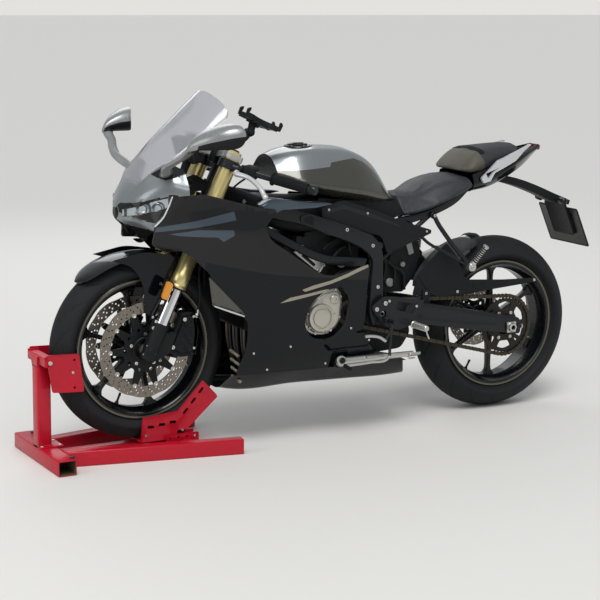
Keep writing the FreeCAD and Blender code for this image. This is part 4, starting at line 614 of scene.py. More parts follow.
def tyre(name, body, cx, cz, radius, half, rim_half, drop, node_name):
    """Tyre with slanted tread grooves cut into its crown."""
    around, across = 720, 30
    crown_r = (half ** 2 + drop ** 2) / (2 * drop)
    lean = math.asin(half / crown_r)
    side = [(rim_half - 0.6, 219.0), (rim_half - 0.6, 232.5), (rim_half + 2.5, 236.0),
            (rim_half + 4.5, 238.0)]
    a, b, c = (np.array(p) for p in ((rim_half + 4.5, 238.0), (half + 1.0, 246.0), (half, radius - drop)))
    side += [tuple((1 - u) ** 2 * a + 2 * u * (1 - u) * b + u * u * c) for u in np.linspace(0.12, 0.94, 8)]
    arc = [(crown_r * math.sin(t), radius - crown_r + crown_r * math.cos(t))
           for t in np.linspace(lean, 0, across)]
    half_run = side + arc
    profile = np.array(half_run + [(-y, r) for y, r in reversed(half_run[:-1])])
    run = np.array([0.0] * len(side) + [crown_r * t for t in np.linspace(lean, 0, across)])
    run = np.concatenate([run, -run[:-1][::-1]])
    live = np.array([False] * len(side) + [True] * across)
    live = np.concatenate([live, live[:-1][::-1]])
    theta = np.linspace(0, 2 * math.pi, around, endpoint=False)
    s = (theta * radius)[:, None]
    u = run[None, :]
    step = 2 * math.pi * radius / 18
    cut = np.zeros((around, len(profile)))
    reach = crown_r * lean
    for sign in (1, -1):
        v = u * sign
        base = s + (0.5 * step if sign < 0 else 0.0)
        for start, low, high, length, width in ((0.0, 0.10, 0.62, 82.0, 2.7), (38.0, 0.34, 0.90, 64.0, 2.4),
                                                (74.0, 0.60, 0.96, 34.0, 2.2)):
            t = np.mod(base - start, step) / length
            middle = reach * (low + (high - low) * t ** 0.75)
            slope = reach * (high - low) / length
            far = np.abs(v - middle) / math.sqrt(1 + slope ** 2)
            taper = np.clip(np.minimum(t, 1 - t) * 8, 0, 1)
            cut = np.maximum(cut, np.where((t < 1) & live[None, :],
                                           np.clip((width * taper - far) / 1.2, 0, 1), 0))
    r = profile[:, 1][None, :] - looks().tread_depth * 1000.0 * cut
    y = np.broadcast_to(profile[:, 0][None, :], r.shape)
    rows = np.stack([cx + r * np.cos(theta)[:, None], y, cz + r * np.sin(theta)[:, None]], axis=-1)
    rows = np.concatenate([rows, rows[:1]])
    shape = Shape().skin(rows, caps=(False, False), closed=True)
    piece(name, shape, body, "tyre", ["tyre_rubber"], [node_name], angle=50)


def rim(name, body, cx, cz, rim_half, hub_half, phase, node_name, hub_bore):
    """Cast rim: barrel with a pale lip line, six slim spokes, hub and valve."""
    shape = Shape()
    h = rim_half
    profile = [(-h - 5, 217), (-h - 5.5, 229), (-h - 3, 232.5), (-h, 231.5), (-h + 0.5, 219),
               (-h + 18, 218.2), (-h + 30, 203), (h - 30, 203), (h - 18, 218.2), (h - 0.5, 219), (h, 231.5),
               (h + 3, 232.5), (h + 5.5, 229), (h + 5.2, 225.5), (h + 4.6, 223), (h + 5, 217),
               (h + 2, 213.5), (h - 16, 212), (h - 32, 197.5), (-h + 32, 197.5), (-h + 16, 212),
               (-h - 2, 213.5)]
    marks = [1 if k in (0, 12, 13) else 0 for k in range(len(profile))]  # the lip line
    shape.spun(profile, (cx, 0, cz), sides=120, mark=marks, loop=True)
    hub = [(-hub_half, hub_bore), (-hub_half, 27), (-hub_half + 3, 30), (-hub_half + 16, 33), (-24, 33),
           (-18, 36), (18, 36), (24, 33), (hub_half - 16, 33), (hub_half - 3, 30), (hub_half, 27),
           (hub_half, hub_bore)]
    shape.spun(hub, (cx, 0, cz), sides=48, loop=True)
    for k in range(6):
        angle = math.radians(phase + 60 * k)
        ray = np.array((math.cos(angle), 0, math.sin(angle)))
        over = np.array((-math.sin(angle), 0, math.cos(angle)))
        rows = []
        for r, wide, deep in ((26, 17, 17), (40, 15, 17), (58, 10.5, 15.5), (95, 8.2, 13.5), (140, 7.4, 12),
                              (168, 8, 11.5), (182, 11, 12), (192, 19, 13), (199.5, 30, 14)):
            ring = rounded([(wide, deep), (-wide, deep), (-wide, -deep), (wide, -deep)],
                           min(wide, deep) * 0.55, 3)
            rows.append([np.array((cx, 0, cz)) + ray * r + over * a + np.array((0, b, 0)) for a, b in ring])
        shape.skin(drawn_out(rows, 34))
    valve = math.radians(-67 if body == "front_wheel" else -60)
    base = np.array(wheel_point(cx, cz, 198, valve, 4))
    ray = np.array((math.cos(valve), 0, math.sin(valve)))
    shape.spun([(0, 7), (-6, 6.5), (-9, 4), (-26, 3.6), (-27, 4.4), (-37, 4.2), (-38, 0.5)], base, ray,
               sides=14)
    piece(name, shape, body, "black_alloy", ["rim_black", "rim_line"], [node_name], angle=38)


def brake_disc(shape, cx, cz, y, side, radius, band, waves, carrier_ring, arms, rows):
    """Floating disc: scalloped drilled band, black carrier and bobbins."""

    def wavy(reach, depth, count, steps):
        """Round outline with a count of lobes."""
        out = []
        for t in np.linspace(0, 2 * math.pi, steps, endpoint=False):
            r = reach + depth * (0.5 + 0.5 * math.cos(count * t)) ** 3
            out.append((cx + r * math.cos(t), cz + r * math.sin(t)))
        return np.array(out)

    holes = [wavy(radius - band, 2.0, arms, 140)]
    for r, count, turn, size in rows:
        for k in range(count):
            a = 2 * math.pi * (k + turn) / count
            holes.append(circle(cx + r * math.cos(a), cz + r * math.sin(a), size, 8))
    shape.plate(wavy(radius, -2.6, waves, 180), y - 2.5, y + 2.5, holes)
    reach = radius - band
    outline, windows = [], []
    for k in range(arms):
        a = 2 * math.pi * k / arms
        for turn, r in ((-0.5, carrier_ring + 6), (-0.32, carrier_ring + 8), (-0.13, reach - 5),
                        (-0.1, reach - 1), (0.1, reach - 1), (0.13, reach - 5), (0.32, carrier_ring + 8)):
            t = a + turn * 2 * math.pi / arms
            outline.append((cx + r * math.cos(t), cz + r * math.sin(t)))
        windows.append(circle(cx + (carrier_ring + 2) * math.cos(a), cz + (carrier_ring + 2) * math.sin(a),
                              6.5, 12))
    windows.append(circle(cx, cz, 34, 40))
    shape.plate(rounded(outline, 5, 2), y - 3.2, y + 3.2, windows, mark=1)
    for k in range(arms):
        a = 2 * math.pi * k / arms
        spot = (cx + (reach + 1) * math.cos(a), y, cz + (reach + 1) * math.sin(a))
        shape.spun([(-4.2 * side, 4), (-4.2 * side, 7.5), (4.4 * side, 7.5), (4.8 * side, 5),
                    (3.6 * side, 3.5), (3.6 * side, 0.3)], spot, sides=16, mark=2)
    shape.spun([(y - 3 * side, 44), (y + 5 * side, 44), (y + 7 * side, 41), (y + 7 * side, 34)],
               (cx, 0, cz), sides=40, mark=1)


def wheels():
    """Both tyres and both rims."""
    front = (WHEELBASE, FRONT_AXLE_Z)
    tyre("front_tyre_dressed", "front_wheel", *front, 300.0, 60.0, 44.0, 40.0, "front_tyre")
    tyre("rear_tyre_dressed", "rear_wheel", 0.0, REAR_AXLE_Z, 312.0, 80.0, 57.0, 56.0, "rear_tyre")
    rim("front_rim_dressed", "front_wheel", *front, 44.0, 50.0, 78, "front_rim", 12.6)
    rim("rear_rim_dressed", "rear_wheel", 0.0, REAR_AXLE_Z, 57.0, 82.0, 90, "rear_rim", 14.1)


def brake_discs():
    """Drilled discs on both wheels and their bolts."""
    rows = ((126, 30, 0.0, 3.3), (134.5, 36, 0.3, 3.3), (143, 36, 0.0, 3.3), (150, 30, 0.5, 2.6))
    shape = Shape()
    for side in (1, -1):
        brake_disc(shape, WHEELBASE, FRONT_AXLE_Z, 60 * side, side, 157, 37, 10, 66, 10, rows)
        shape.spun([(30 * side, 45), (54 * side, 45), (57 * side, 40)], FRONT_AXLE, sides=40, mark=1)
    piece("front_discs_dressed", shape, "front_wheel", "disc_steel",
          ["disc_steel", "carrier_black", "bobbin_steel"], ["front_discs"], angle=30)
    for side in (1, -1):
        for k in range(5):
            a = math.radians(72 * k + 20)
            bolt("front_wheel", wheel_point(WHEELBASE, FRONT_AXLE_Z, 52, a, 63.4 * side), (0, side, 0), 6)
    shape = Shape()
    brake_disc(shape, 0, REAR_AXLE_Z, -92, -1, 110, 34, 9, 50, 6,
               ((84, 20, 0.0, 3), (92, 26, 0.4, 3), (101, 26, 0.0, 3)))
    shape.spun([(-60, 45), (-92, 45)], REAR_AXLE, sides=40, mark=1)
    piece("rear_disc_dressed", shape, "rear_wheel", "disc_steel",
          ["disc_steel", "carrier_black", "bobbin_steel"], ["rear_disc"], angle=30)


def front_calipers():
    """Radial calipers behind the fork legs, with their bores and bolts."""
    caliper = Shape()
    outline = rounded([(-60, 26, 12), (-60, 158, 12), (-92, 173, 12), (-118, 150, 20), (-140, 120, 20),
                       (-163, 46, 16), (-112, 20, 12)], 8, 4)
    for side in (1, -1):
        caliper.plate(outline, 66 * side, 86 * side, lay=fork_lay)
        pad = rounded([(-74, 40, 14), (-74, 150, 14), (-98, 160, 10), (-126, 118, 20), (-148, 56, 14),
                       (-110, 34, 10)], 8, 4)
        caliper.plate(pad, 86 * side, 91 * side, lay=fork_lay)
        caliper.plate(outline, 41 * side, 56 * side, lay=fork_lay)
        roof = rounded([(-92, 161), (-120, 124), (-153, 52), (-165, 46), (-141, 123), (-95, 173)], 4, 3)
        caliper.plate(roof, 41 * side, 86 * side, lay=fork_lay)
        for t, s in ((-92, 134), (-112, 96), (-128, 60)):
            caliper.spun([(90, 15), (93.5, 13.5), (93.5, 10), (91.5, 9), (91.5, 0.3)],
                         fork_point(s, t, 0) * (1, 0, 1), (0, side, 0), sides=24)
        for t, s in ((-74, 140), (-74, 42)):
            spot = fork_point(s, t, 86.0)
            bolt("steering", (spot[0], side * 91.2, spot[2]), (0, side, 0), 7)
        for t, s in ((-100, 160), (-146, 66)):
            spot = fork_point(s, t, 0)
            bolt("steering", (spot[0], side * 91.2, spot[2]), (0, side, 0), 4.5)
    piece("front_calipers_dressed", caliper, "steering", "caliper_alloy", ["cast_black"],
          ["front_calipers"], bevel=2.0)


def fork_lay(u, v, w):
    """Point from distances ahead of and along the fork, and across."""
    p = fork_point(v, u, w)
    return (p[0], w, p[2])


def fork():
    """Fork tubes, legs and feet, with a reflector on each foot."""
    up, axle = FORK_UP, np.array(FRONT_AXLE)
    gold, chrome, feet = Shape(), Shape(), Shape()
    for side in (1, -1):
        foot = axle + np.array((0, FORK_HALF * side, 0))
        gold.spun([(224, 21), (224, 27), (226, 28.5), (232, 28.5), (233.5, 27.6), (236, 27.6),
                   (237.5, 28.5), (272, 28.5), (275, 27), (698, 27), (700, 25), (700, 18)], foot, up,
                  sides=40)
        gold.spun([(700, 18), (702, 17), (706, 16), (706, 9), (703, 8), (703, 0.4)], foot, up, sides=24,
                  mark=1)
        gold.spun([(218, 21), (218, 24.5), (221, 26.4), (224.5, 26.4)], foot, up, sides=40, mark=2)
        chrome.spun([(90, 12), (90, 20.4), (226, 20.4)], foot, up, sides=40)
    piece("fork_outer_dressed", gold, "steering", "gold_anodised",
          ["fork_gold", "cast_black", "plastic_black"], ["fork_outer_tubes"])
    piece("fork_legs_dressed", chrome, "steering", "chrome_leg", ["leg_chrome"], ["fork_inner_legs"])
    for side in (1, -1):
        foot = axle + np.array((0, FORK_HALF * side, 0))
        feet.spun([(-30, 0.5), (-30, 20), (-26, 25), (88, 26.5), (94, 26.5), (97, 24), (97, 20.6)], foot,
                  up, sides=36)
        feet.plate(rounded([(-20, -28, 10), (18, -28, 10), (26, 40, 10), (-58, 92, 8), (-66, 24, 8)], 6, 4),
                   86 * side, 108 * side, lay=fork_lay)
        feet.plate(rounded([(12, 60, 4), (34, 66, 6), (34, 108, 6), (12, 96, 4)], 6, 4), 96 * side,
                   106 * side, lay=fork_lay)
        feet.spun([(98, 17), (124.5, 17), (126, 15), (126, 9), (120, 8.4)], axle, (0, side, 0), sides=30)
        for t, s in ((20, 16), (20, -14)):
            spot = fork_point(s, t)
            bolt("steering", (spot[0], 108.4 * side, spot[2]), (0, side, 0), 4.5)
        for s in (76, 98):
            spot = fork_point(s, 26)
            bolt("steering", (spot[0], 107 * side, spot[2]), (0, side, 0), 5.5)
    piece("fork_feet_dressed", feet, "steering", "black_foot", ["cast_black"], ["fork_feet"], bevel=1.5)
    lens = Shape()
    for side in (1, -1):
        lens.plate(rounded([(1362, 524), (1340, 514), (1318, 566), (1340, 578)], 9, 4), 121 * side,
                   128 * side)
        lens.plate(rounded([(1365, 520), (1339, 508), (1311, 567), (1340, 584)], 10, 4), 112 * side,
                   122 * side, mark=1)
        lens.pipe([(1330, 112 * side, 536), (1318, 104 * side, 540)], 5, 8, mark=1)
    piece("fork_reflectors", lens, "steering", "red_lens", ["amber_lens", "plastic_black"], bevel=1.5)


def guard():
    """Front mudguard: arched crown and a blade down each fork leg."""
    shape = Shape()
    cx, cz = WHEELBASE, FRONT_AXLE_Z
    rows = []
    for a, half in ((118, 56), (112, 66), (100, 74), (88, 76), (76, 76), (64, 72), (54, 58), (49, 34),
                    (47, 10)):
        t = math.radians(a)
        rows.append([wheel_point(cx, cz, r - 10 * abs(s) ** 2.5, t, half * s)
                     for r, way in ((316, 1), (313, -1)) for s in np.linspace(-way, way, 13)])
    # the crown takes the lighter grey, partly a painted sheen on its upper face; the blades keep the black
    # lacquer
    shape.skin(drawn_out(rows, 40), mark=1)
    outline = rounded([(1512, 646, 4), (1440, 624, 40), (1405, 573, 40), (1393, 505, 30), (1388, 428, 6),
                       (1367, 438, 6), (1330, 520, 20), (1286, 588, 10), (1262, 640, 6), (1312, 654, 10),
                       (1400, 668, 30)], 10, 5)

    def depth(x, z):
        """How far the blade's outer face lies from the middle plane."""
        return 70 + 9 * np.clip((np.hypot(x - cx, z - cz) - 120) / 190, 0, 1) ** 0.5

    for side in (1, -1):
        shape.join(Shape().sheet(outline, depth, 3.0, spacing=16), side)
        for x, z in ((1366, 452), (1340, 560)):
            bolt("steering", (x, (depth(x, z) + 0.6) * side, z), (0, side, 0), 5)
    piece("mudguard_dressed", shape, "steering", "guard_gloss", ["paint_black", "paint_dusk"],
          ["front_mudguard"], bevel=0.8)


# Body panels

SIDE_HEIGHTS = (170, 260, 400, 560, 700, 870)
SIDE_ROWS = ((1430, 40, 60, 80, 90, 100, 100), (1335, 90, 110, 130, 146, 162, 169),
             (1290, 100, 130, 150, 172, 188, 192), (1200, 108, 150, 180, 200, 212, 206),
             (1130, 112, 160, 188, 206, 218, 212), (1050, 112, 164, 196, 212, 222, 208),
             (850, 114, 168, 203, 214, 216, 200), (640, 118, 164, 195, 204, 204, 190),
             (410, 130, 158, 168, 170, 172, 172))


def side_width(x, z):
    """Half width of the side fairing at side-view points."""
    rows = np.array(SIDE_ROWS, float)
    widths = glide(rows[:, 0], rows[:, 1:], x)
    return np.array([glide(SIDE_HEIGHTS, row, [height])[0]
                     for row, height in zip(widths, np.atleast_1d(z))])


def crease(x, z, a, b, high, wide):
    """Lift beside a styling line from a to b in the side view."""
    a, b = np.array(a, float), np.array(b, float)
    line = b - a
    t = np.clip(((x - a[0]) * line[0] + (z - a[1]) * line[1]) / (line @ line), 0, 1)
    far = np.hypot(x - a[0] - t * line[0], z - a[1] - t * line[1])
    return high * np.clip(1 - far / wide, 0, 1) * np.clip(np.minimum(t, 1 - t) * 6, 0, 1)


def fairing_depth(x, z):
    """How far the side panel's outer face lies from the middle plane, with its styling lines."""
    deep = side_width(x, z)
    deep = deep + crease(x, z, (1400, 770), (1040, 716), 5, 60) + crease(x, z, (1200, 600), (660, 520), 4,
        70)
    return deep + crease(x, z, (1130, 470), (640, 300), 4, 60)


SIDE_OUTLINE = ((1392, 690, 12), (1300, 676, 30), (1219, 596, 20), (1206, 520, 20), (1128, 470, 20),
                (1088, 440, 40), (1082, 358, 60), (1108, 268, 20), (1108, 251, 2), (448, 238, 3),
                (512, 268, 20), (602, 290, 40), (648, 372, 20), (644, 420, 10), (642, 500, 6),
                (634, 594, 10), (808, 560, 60), (908, 628, 60), (1018, 700, 20), (1038, 742, 20),
                (990, 794, 10), (1058, 808, 30), (1150, 832, 40), (1244, 858, 20), (1324, 852, 6),
                (1384, 752, 20))


def side_fairings():
    """Both side panels: the left one has openings for the engine cover and the stand."""
    outline = rounded(SIDE_OUTLINE, 8, 5)
    cover_gap = rounded([(744, 526), (714, 486), (722, 392, 40), (778, 350, 40), (852, 358, 34),
                         (886, 410, 40), (860, 482, 30), (804, 522, 30)], 14, 5)
    stand = rounded([(698, 239), (764, 239), (764, 298, 10), (698, 298, 10)], 2, 3)
    slate = [rounded([(1411, 745), (1342, 761), (1147, 800), (1140, 772), (1300, 750), (1384, 737)], 3, 3),
             rounded([(1347, 732), (1268, 746), (1150, 741), (1147, 724), (1184, 705), (1203, 720),
                      (1321, 727)], 3, 3)]
    # the lower area keeps the black lacquer; the rest takes the lighter grey, which is partly a painted
    # sheen on the panel's upper part
    lower = rounded([(1240, 640, 4), (1000, 585, 60), (640, 540, 10), (600, 200, 4), (1180, 200, 4),
                     (1250, 500, 4)], 4, 4)
    stripes = [rounded([(898, 528), (855, 540), (790, 551), (724, 569), (643, 595), (639, 584), (724, 557),
                        (790, 540), (846, 529), (885, 521)], 2, 2),
               rounded([(976, 489), (940, 505), (876, 513), (815, 522), (794, 523), (815, 513), (876, 503),
                        (940, 493)], 2, 2)]
    for side, name in ((1, "left"), (-1, "right")):
        holes = [cover_gap, stand] if side == 1 else []
        shape = Shape().sheet(outline, fairing_depth, 3.0, holes, [(lower, 0)] + [(one, 2) for one in slate]
                              + [(one, 3) for one in stripes], 14, mark=1)
        if side == -1:
            shape.points = [(x, -y, z) for x, y, z in shape.points]
        piece(f"side_fairing_{name}_dressed", shape, "chassis", "gloss_black",
              ["paint_black", "paint_dusk", "paint_slate", "stripe_pale"], [f"side_fairing_{name}"],
              bevel=1.2, angle=28)
    for x, z in ((1058, 325), (926, 337), (699, 380), (1000, 262), (780, 262), (620, 330)):
        deep = float(fairing_depth(np.array([x], float), np.array([z], float))[0])
        bolts_both("chassis", (x, deep + 0.4, z), (0.1, 1, 0), 4)


def winglets():
    """Air guides that stand off the side panels, with a light edge."""
    wing = Shape()
    outline = rounded([(1230, 594, 6), (1115, 470, 4), (1128, 462, 4), (1215, 498, 6)], 6, 4)
    for side in (1, -1):
        half = Shape().sheet(outline, lambda x, z: side_width(x, z) + 8 + 22
                             * np.clip((1235 - x) / 120, 0, 1) ** 1.4, 4.0, spacing=14)
        wing.join(half, side)
        edge = [(1216, side * 214, 500), (1170, side * 226, 482), (1120, side * 238, 463)]
        wing.pipe(edge, [2.2, 3.0, 2.4], 8, 10, mark=1)
    piece("air_winglets", wing, "chassis", "gloss_black", ["paint_olive", "trim_light"], bevel=0.8)


NOSE_ROWS = ((1462, 8, 768, 26, 778, 26, 804, 8, 816), (1428, 36, 742, 96, 768, 100, 838, 54, 866),
             (1385, 70, 700, 132, 742, 140, 862, 92, 916), (1335, 104, 668, 162, 716, 170, 880, 120, 950),
             (1290, 132, 672, 188, 712, 192, 872, 150, 930))


def nose_face():
    """Smooth rows of the nose shell, chin to top edge."""
    rows = []
    for x, *row in NOSE_ROWS:
        points = [(x, y, z) for y, z in zip(row[::2], row[1::2])]
        rows.append(rounded(points, 26, 5, closed=False, size=3))
    return refined(drawn_out(rows, 90), 64)


def nose():
    """Nose shell round the lamps, with its air intake and silver areas that are a painted reflection on its
    gloss.
    """
    shape, wall = Shape(), []
    for row in nose_face():
        inner = []
        for i, p in enumerate(row):
            a, b = row[max(0, i - 1)], row[min(len(row) - 1, i + 1)]
            d = unit(b - a)
            inner.append(p + np.array((0, -d[2], d[1])) * 3.0)
        wall.append(list(row) + inner[::-1])
    shape.skin(wall)
    mid = shape.middles()[:, [0, 2]]
    t = (mid[:, 0] - 1342) / 114.0  # along the lamp, from its rear end to the tip
    low, high = 822 + (783 - 822) * t, 851 + (803 - 851) * t
    in_lamp = (0 <= t) & (t <= 1) & (low - 4 < mid[:, 1]) & (mid[:, 1] < high + 4 - 8 * np.abs(t - 0.4))
    shape.keep(~in_lamp & ~inside(mid, rounded([p[:2] for p in SIDE_OUTLINE], 0.1, 1)))
    intake = rounded([(1393, 935), (1320, 962), (1269, 926), (1347, 900), (1375, 909)], 8, 3)
    # the pale areas take silver paint: a painted reflection of the sky on the gloss shell
    pale = [rounded([(1475, 812), (1456, 822), (1342, 856), (1290, 848), (1240, 872), (1240, 1020),
                     (1320, 1000), (1475, 900)], 4, 3),
            rounded([(1475, 764), (1475, 800), (1457, 790), (1428, 778), (1385, 764), (1362, 790),
                     (1348, 790), (1372, 738), (1428, 750)], 4, 3)]
    mid = shape.middles()[:, [0, 2]]
    painted_reflection = inside(mid, pale[0]) | inside(mid, pale[1])
    shape.marks = np.where(inside(mid, intake), 1, np.where(painted_reflection, 2, shape.marks)).tolist()
    shape.twin()
    tip = [[(x, y, z) for y, z in oblong(w, -w, h, l, 6, 3)]
           for x, w, l, h in ((1436, 20, 782, 826), (1458, 13, 774, 813), (1467, 6, 778, 806))]
    shape.skin(drawn_out(tip, 10))
    shares = np.linspace(-1, 1, 15)
    # the silver cap on the nose's top front is part of the same painted reflection
    cap = [[(x, w * s, z + c * (1 - s * s)) for s in shares] + [(x, w * s, z + c * (1 - s * s) - 3)
            for s in shares[::-1]] for x, w, z, c in ((1466, 7, 808, 2), (1452, 27, 832, 7),
            (1428, 55, 866, 10), (1412, 70, 884, 8), (1400, 79, 896, 6))]
    shape.skin(drawn_out(cap, 16), mark=2)
    piece("nose_fairing_dressed", shape, "chassis", "gloss_black",
          ["paint_dusk", "core_black", "paint_silver"], ["nose_fairing"], angle=30)


def lamps():
    """Clear lamp glass with reflectors, lenses and light lines behind it."""
    glass, inner = Shape(), Shape()
    rows = []
    for x, low_w, low, high_w, high in ((1457, 33, 782, 33, 804), (1446, 54, 777, 57, 815),
                                        (1428, 95, 771, 99, 837), (1405, 114, 762, 120, 845),
                                        (1385, 132.5, 757, 138.5, 850), (1362, 147, 785, 151, 852),
                                        (1342, 161, 822, 162.5, 850)):
        mid_w, mid = (low_w + high_w) / 2 + 3, (low + high) / 2
        rows.append([(x, low_w, low), (x, mid_w, mid), (x, high_w, high), (x, high_w - 3, high),
                     (x, mid_w - 3, mid), (x, low_w - 3, low)])
    glass.skin(drawn_out(rows, 24)).twin()
    for side in (1, -1):
        for x, y, z, r in ((1408, 96, 806, 22), (1372, 128, 812, 17)):
            inner.spun([(12, r), (10, r + 2), (4, r - 2), (-6, r * 0.5), (-8, 1)], (x, y * side, z),
                       (0.55, 0.82 * side, -0.05), sides=28)
            inner.spun([(2, r * 0.62), (5, r * 0.5), (7, r * 0.2), (7.5, 0.4)], (x, y * side, z),
                       (0.55, 0.82 * side, -0.05), sides=24, mark=1)
        inner.pipe([(1450, 32 * side, 806), (1425, 90 * side, 834), (1385, 128 * side, 844),
                    (1348, 154 * side, 846)], 3.2, 8, 16, mark=2)
        inner.skin([[(x, (y - 26) * side, low), (x, (y - 26) * side, high), (x, (y - 22) * side, high),
                     (x, (y - 22) * side, low)] for x, y, low, high in ((1450, 48, 780, 806),
                (1428, 98, 774, 836), (1385, 136, 760, 850), (1366, 152, 784, 851), (1345, 170, 816, 850))],
                   mark=3)
    for side in (1, -1):
        inner.pipe([(1338, 165.5 * side, 852), (1352, 158 * side, 812), (1364, 149.5 * side, 783),
                    (1386, 136 * side, 755)], 2.4, 10, 20, mark=2)
    piece("lamp_glass_dressed", glass, "chassis", "lamp_glass", ["lamp_clear"], ["headlamps"])
    piece("lamp_insides", inner, "chassis", "lamp_glass", ["lamp_silver", "lamp_clear", "lamp_white",
            "lamp_silver"])


def screen():
    """Clear screen: rows across it, its side edges and rounded top trimmed by where each row ends."""
    knots = ((1424, 878, 60, 869), (1385, 936, 96, 918), (1335, 1000, 124, 952), (1222, 1112, 136, 1031),
             (1110, 1212, 147, 1112))
    table = drawn_out([[row] for row in knots], 240)[:, 0]
    rows = []
    for share in np.linspace(0, 1, 46):
        front = []
        for s in np.linspace(1, -1, 41):
            heights = table[:, 1] - (table[:, 1] - table[:, 3]) * s * s
            end = float(np.interp(0.0, heights - 1098 - 1.543 * (table[:, 0] - 1112),
                                  heights)) - 14 * abs(s) ** 12
            z = heights[0] + (min(end, 1168.0) - heights[0]) * share
            front.append((float(np.interp(z, heights, table[:, 0])),
                          float(np.interp(z, heights, table[:, 2])), z, s))
        rows.append([(x, half * s, z) for x, half, z, s in front])
    grid = np.array(rows)
    back = grid - np.array((1.6, 0, 2.6))
    n, m = grid.shape[:2]
    faces = [(i * m + j, i * m + j + 1, (i + 1) * m + j + 1, (i + 1) * m + j) for i in range(n - 1)
             for j in range(m - 1)]
    shape = Shape().add(np.concatenate([grid.reshape(-1, 3), back.reshape(-1, 3)]), walled(faces, n * m))
    piece("windscreen_dressed", shape, "chassis", "clear_screen", ["smoke_screen"], ["windscreen"],
          angle=60)


def refined(rows, count):
    """The same rows with evenly spaced points, the last meeting the first in a closed row."""
    out = []
    for row in np.asarray(rows, float):
        far = length_along(row)
        out.append(np.stack([np.interp(np.linspace(0, far[-1], count), far, row[:, k]) for k in range(3)],
                            axis=1))
    return np.array(out)


def half_hull(rows, cut, steps, count):
    """Whole rows from left-half (y, z) runs given low to high, drawn out lengthwise."""
    out = []
    for x, run in rows:
        whole = list(run) + [(-y, z) + tuple(rest) for y, z, *rest in reversed(run) if y > 0.01]
        out.append([(x, y, z) for y, z in rounded(whole, cut, steps)])
    return drawn_out(out, count)


def belly():
    """Belly pan, cut out on the left for the side stand."""
    rows = []
    for x, floor_w, floor, rim_w, rim_z in ((1128, 60, 190, 155, 250.4), (1090, 78, 184, 156.5, 250.3),
                                            (850, 84, 181, 159.3, 245.6), (640, 88, 176, 154.5, 241.5),
                                            (500, 96, 174, 152, 238.7), (430, 104, 178, 149, 237)):
        top = x + (30 if x == 430 else 0)
        outer = rounded([(top, rim_w, rim_z), (x, floor_w, floor), (x, -floor_w, floor),
                         (top, -rim_w, rim_z)], 26, 5, False, 3)
        inner = rounded([(top, rim_w - 3, rim_z), (x, floor_w - 3, floor + 3), (x, -floor_w + 3, floor + 3),
                         (top, -rim_w + 3, rim_z)], 24, 5, False, 3)
        rows.append(list(outer) + list(inner)[::-1])
    shape = Shape().skin(drawn_out(rows, 30))
    x, y, z = shape.middles().T
    shape.keep(~((698 < x) & (x < 764) & (y > 120) & (z > 224)))
    piece("belly_pan_dressed", shape, "chassis", "gloss_black", ["paint_black"], ["belly_pan"], angle=30,
          bevel=0.8)


def louvres():
    """Slats in the belly's front corners."""
    slats = Shape()
    for k in range(4):
        z, x = 321 - 29 * k, 1099 - 2 * k
        for side in (1, -1):
            ends = ((x, 98 * side, z), (x - 2 - k, 142 * side, z - 9))
            slats.skin([[(a + u, y, b + v) for u, v in ((0, 7), (4, 2), (-2, -7), (-10, 0))]
                        for a, y, b in ends])
    piece("belly_louvres", slats, "chassis", "light_trim", ["stripe_pale"], bevel=1.0)


TANK_ROWS = ((925, 868, 52, 893, 98, 930, 66, 956), (862, 850, 96, 868, 150, 938, 96, 973),
             (730, 812, 108, 842, 162, 938, 104, 979), (621, 792, 104, 824, 150, 922, 96, 962),
             (546, 778, 98, 806, 126, 880, 82, 920), (492, 780, 84, 796, 104, 826, 66, 856),
             (458, 786, 62, 790, 76, 798, 48, 806))

TANK_EDGE = ((458, 492, 520, 560, 600, 640, 680, 737, 744, 840, 940),
             (792, 836, 862, 895, 924, 938, 935, 929, 916, 910, 905))  # colour border: x, height


def split_ring(row, height, low_count, high_count):
    """A closed row of a hull, spaced so that a point on each side lies at the height given."""
    left = row[row[:, 1] > 0]
    half = np.vstack([left[0] * (1, 0, 1), left, left[-1] * (1, 0, 1)])
    k = int(np.argmax(half[:, 2] > height))
    share = (height - half[k - 1, 2]) / (half[k, 2] - half[k - 1, 2])
    cross = half[k - 1] + (half[k] - half[k - 1]) * share
    low = refined([np.vstack([half[:k], cross])], low_count)[0]
    high = refined([np.vstack([cross, half[k:]])], high_count)[0]
    run = np.vstack([low, high[1:]])
    return np.vstack([run, run[-2:0:-1] * (1, -1, 1)])


def tank():
    """Fuel tank in two colours, with its filler ring."""
    shape, rows = Shape(), []
    for x, low, low_w, side, side_w, shoulder, shoulder_w, top in TANK_ROWS:
        run = [(0, low), (low_w, low, 10), (side_w, side, 20), (shoulder_w + 14, shoulder - 14, 22),
               (shoulder_w - 20, top - 9, 22), (0, top + 1)]
        rows.append((x, run))
    low_count, high_count = 46, 44
    rows = [split_ring(row, np.interp(row[0, 0], *TANK_EDGE), low_count, high_count)
            for row in half_hull(rows, 16, 5, 160)]
    last_high = low_count + 2 * high_count - 3
    shape.skin(rows, [0 if low_count - 1 <= j < last_high else 1 for j in range(len(rows[0]))])
    shape.marks[-2] = 2  # the front end stands behind the steering head and is made dark
    shape.spun([(940, 30), (977, 30), (979, 28), (979, 2)], FILLER, (0, 0, 1), sides=40)
    shape.spun([(972, 52), (979, 47), (980, 40), (979, 36), (975, 34)], FILLER, (0, 0, 1), sides=48, mark=2)
    piece("fuel_tank_dressed", shape, "chassis", "tank_paint", ["paint_silver", "paint_olive", "cap_metal"],
          ["fuel_tank"], angle=40)


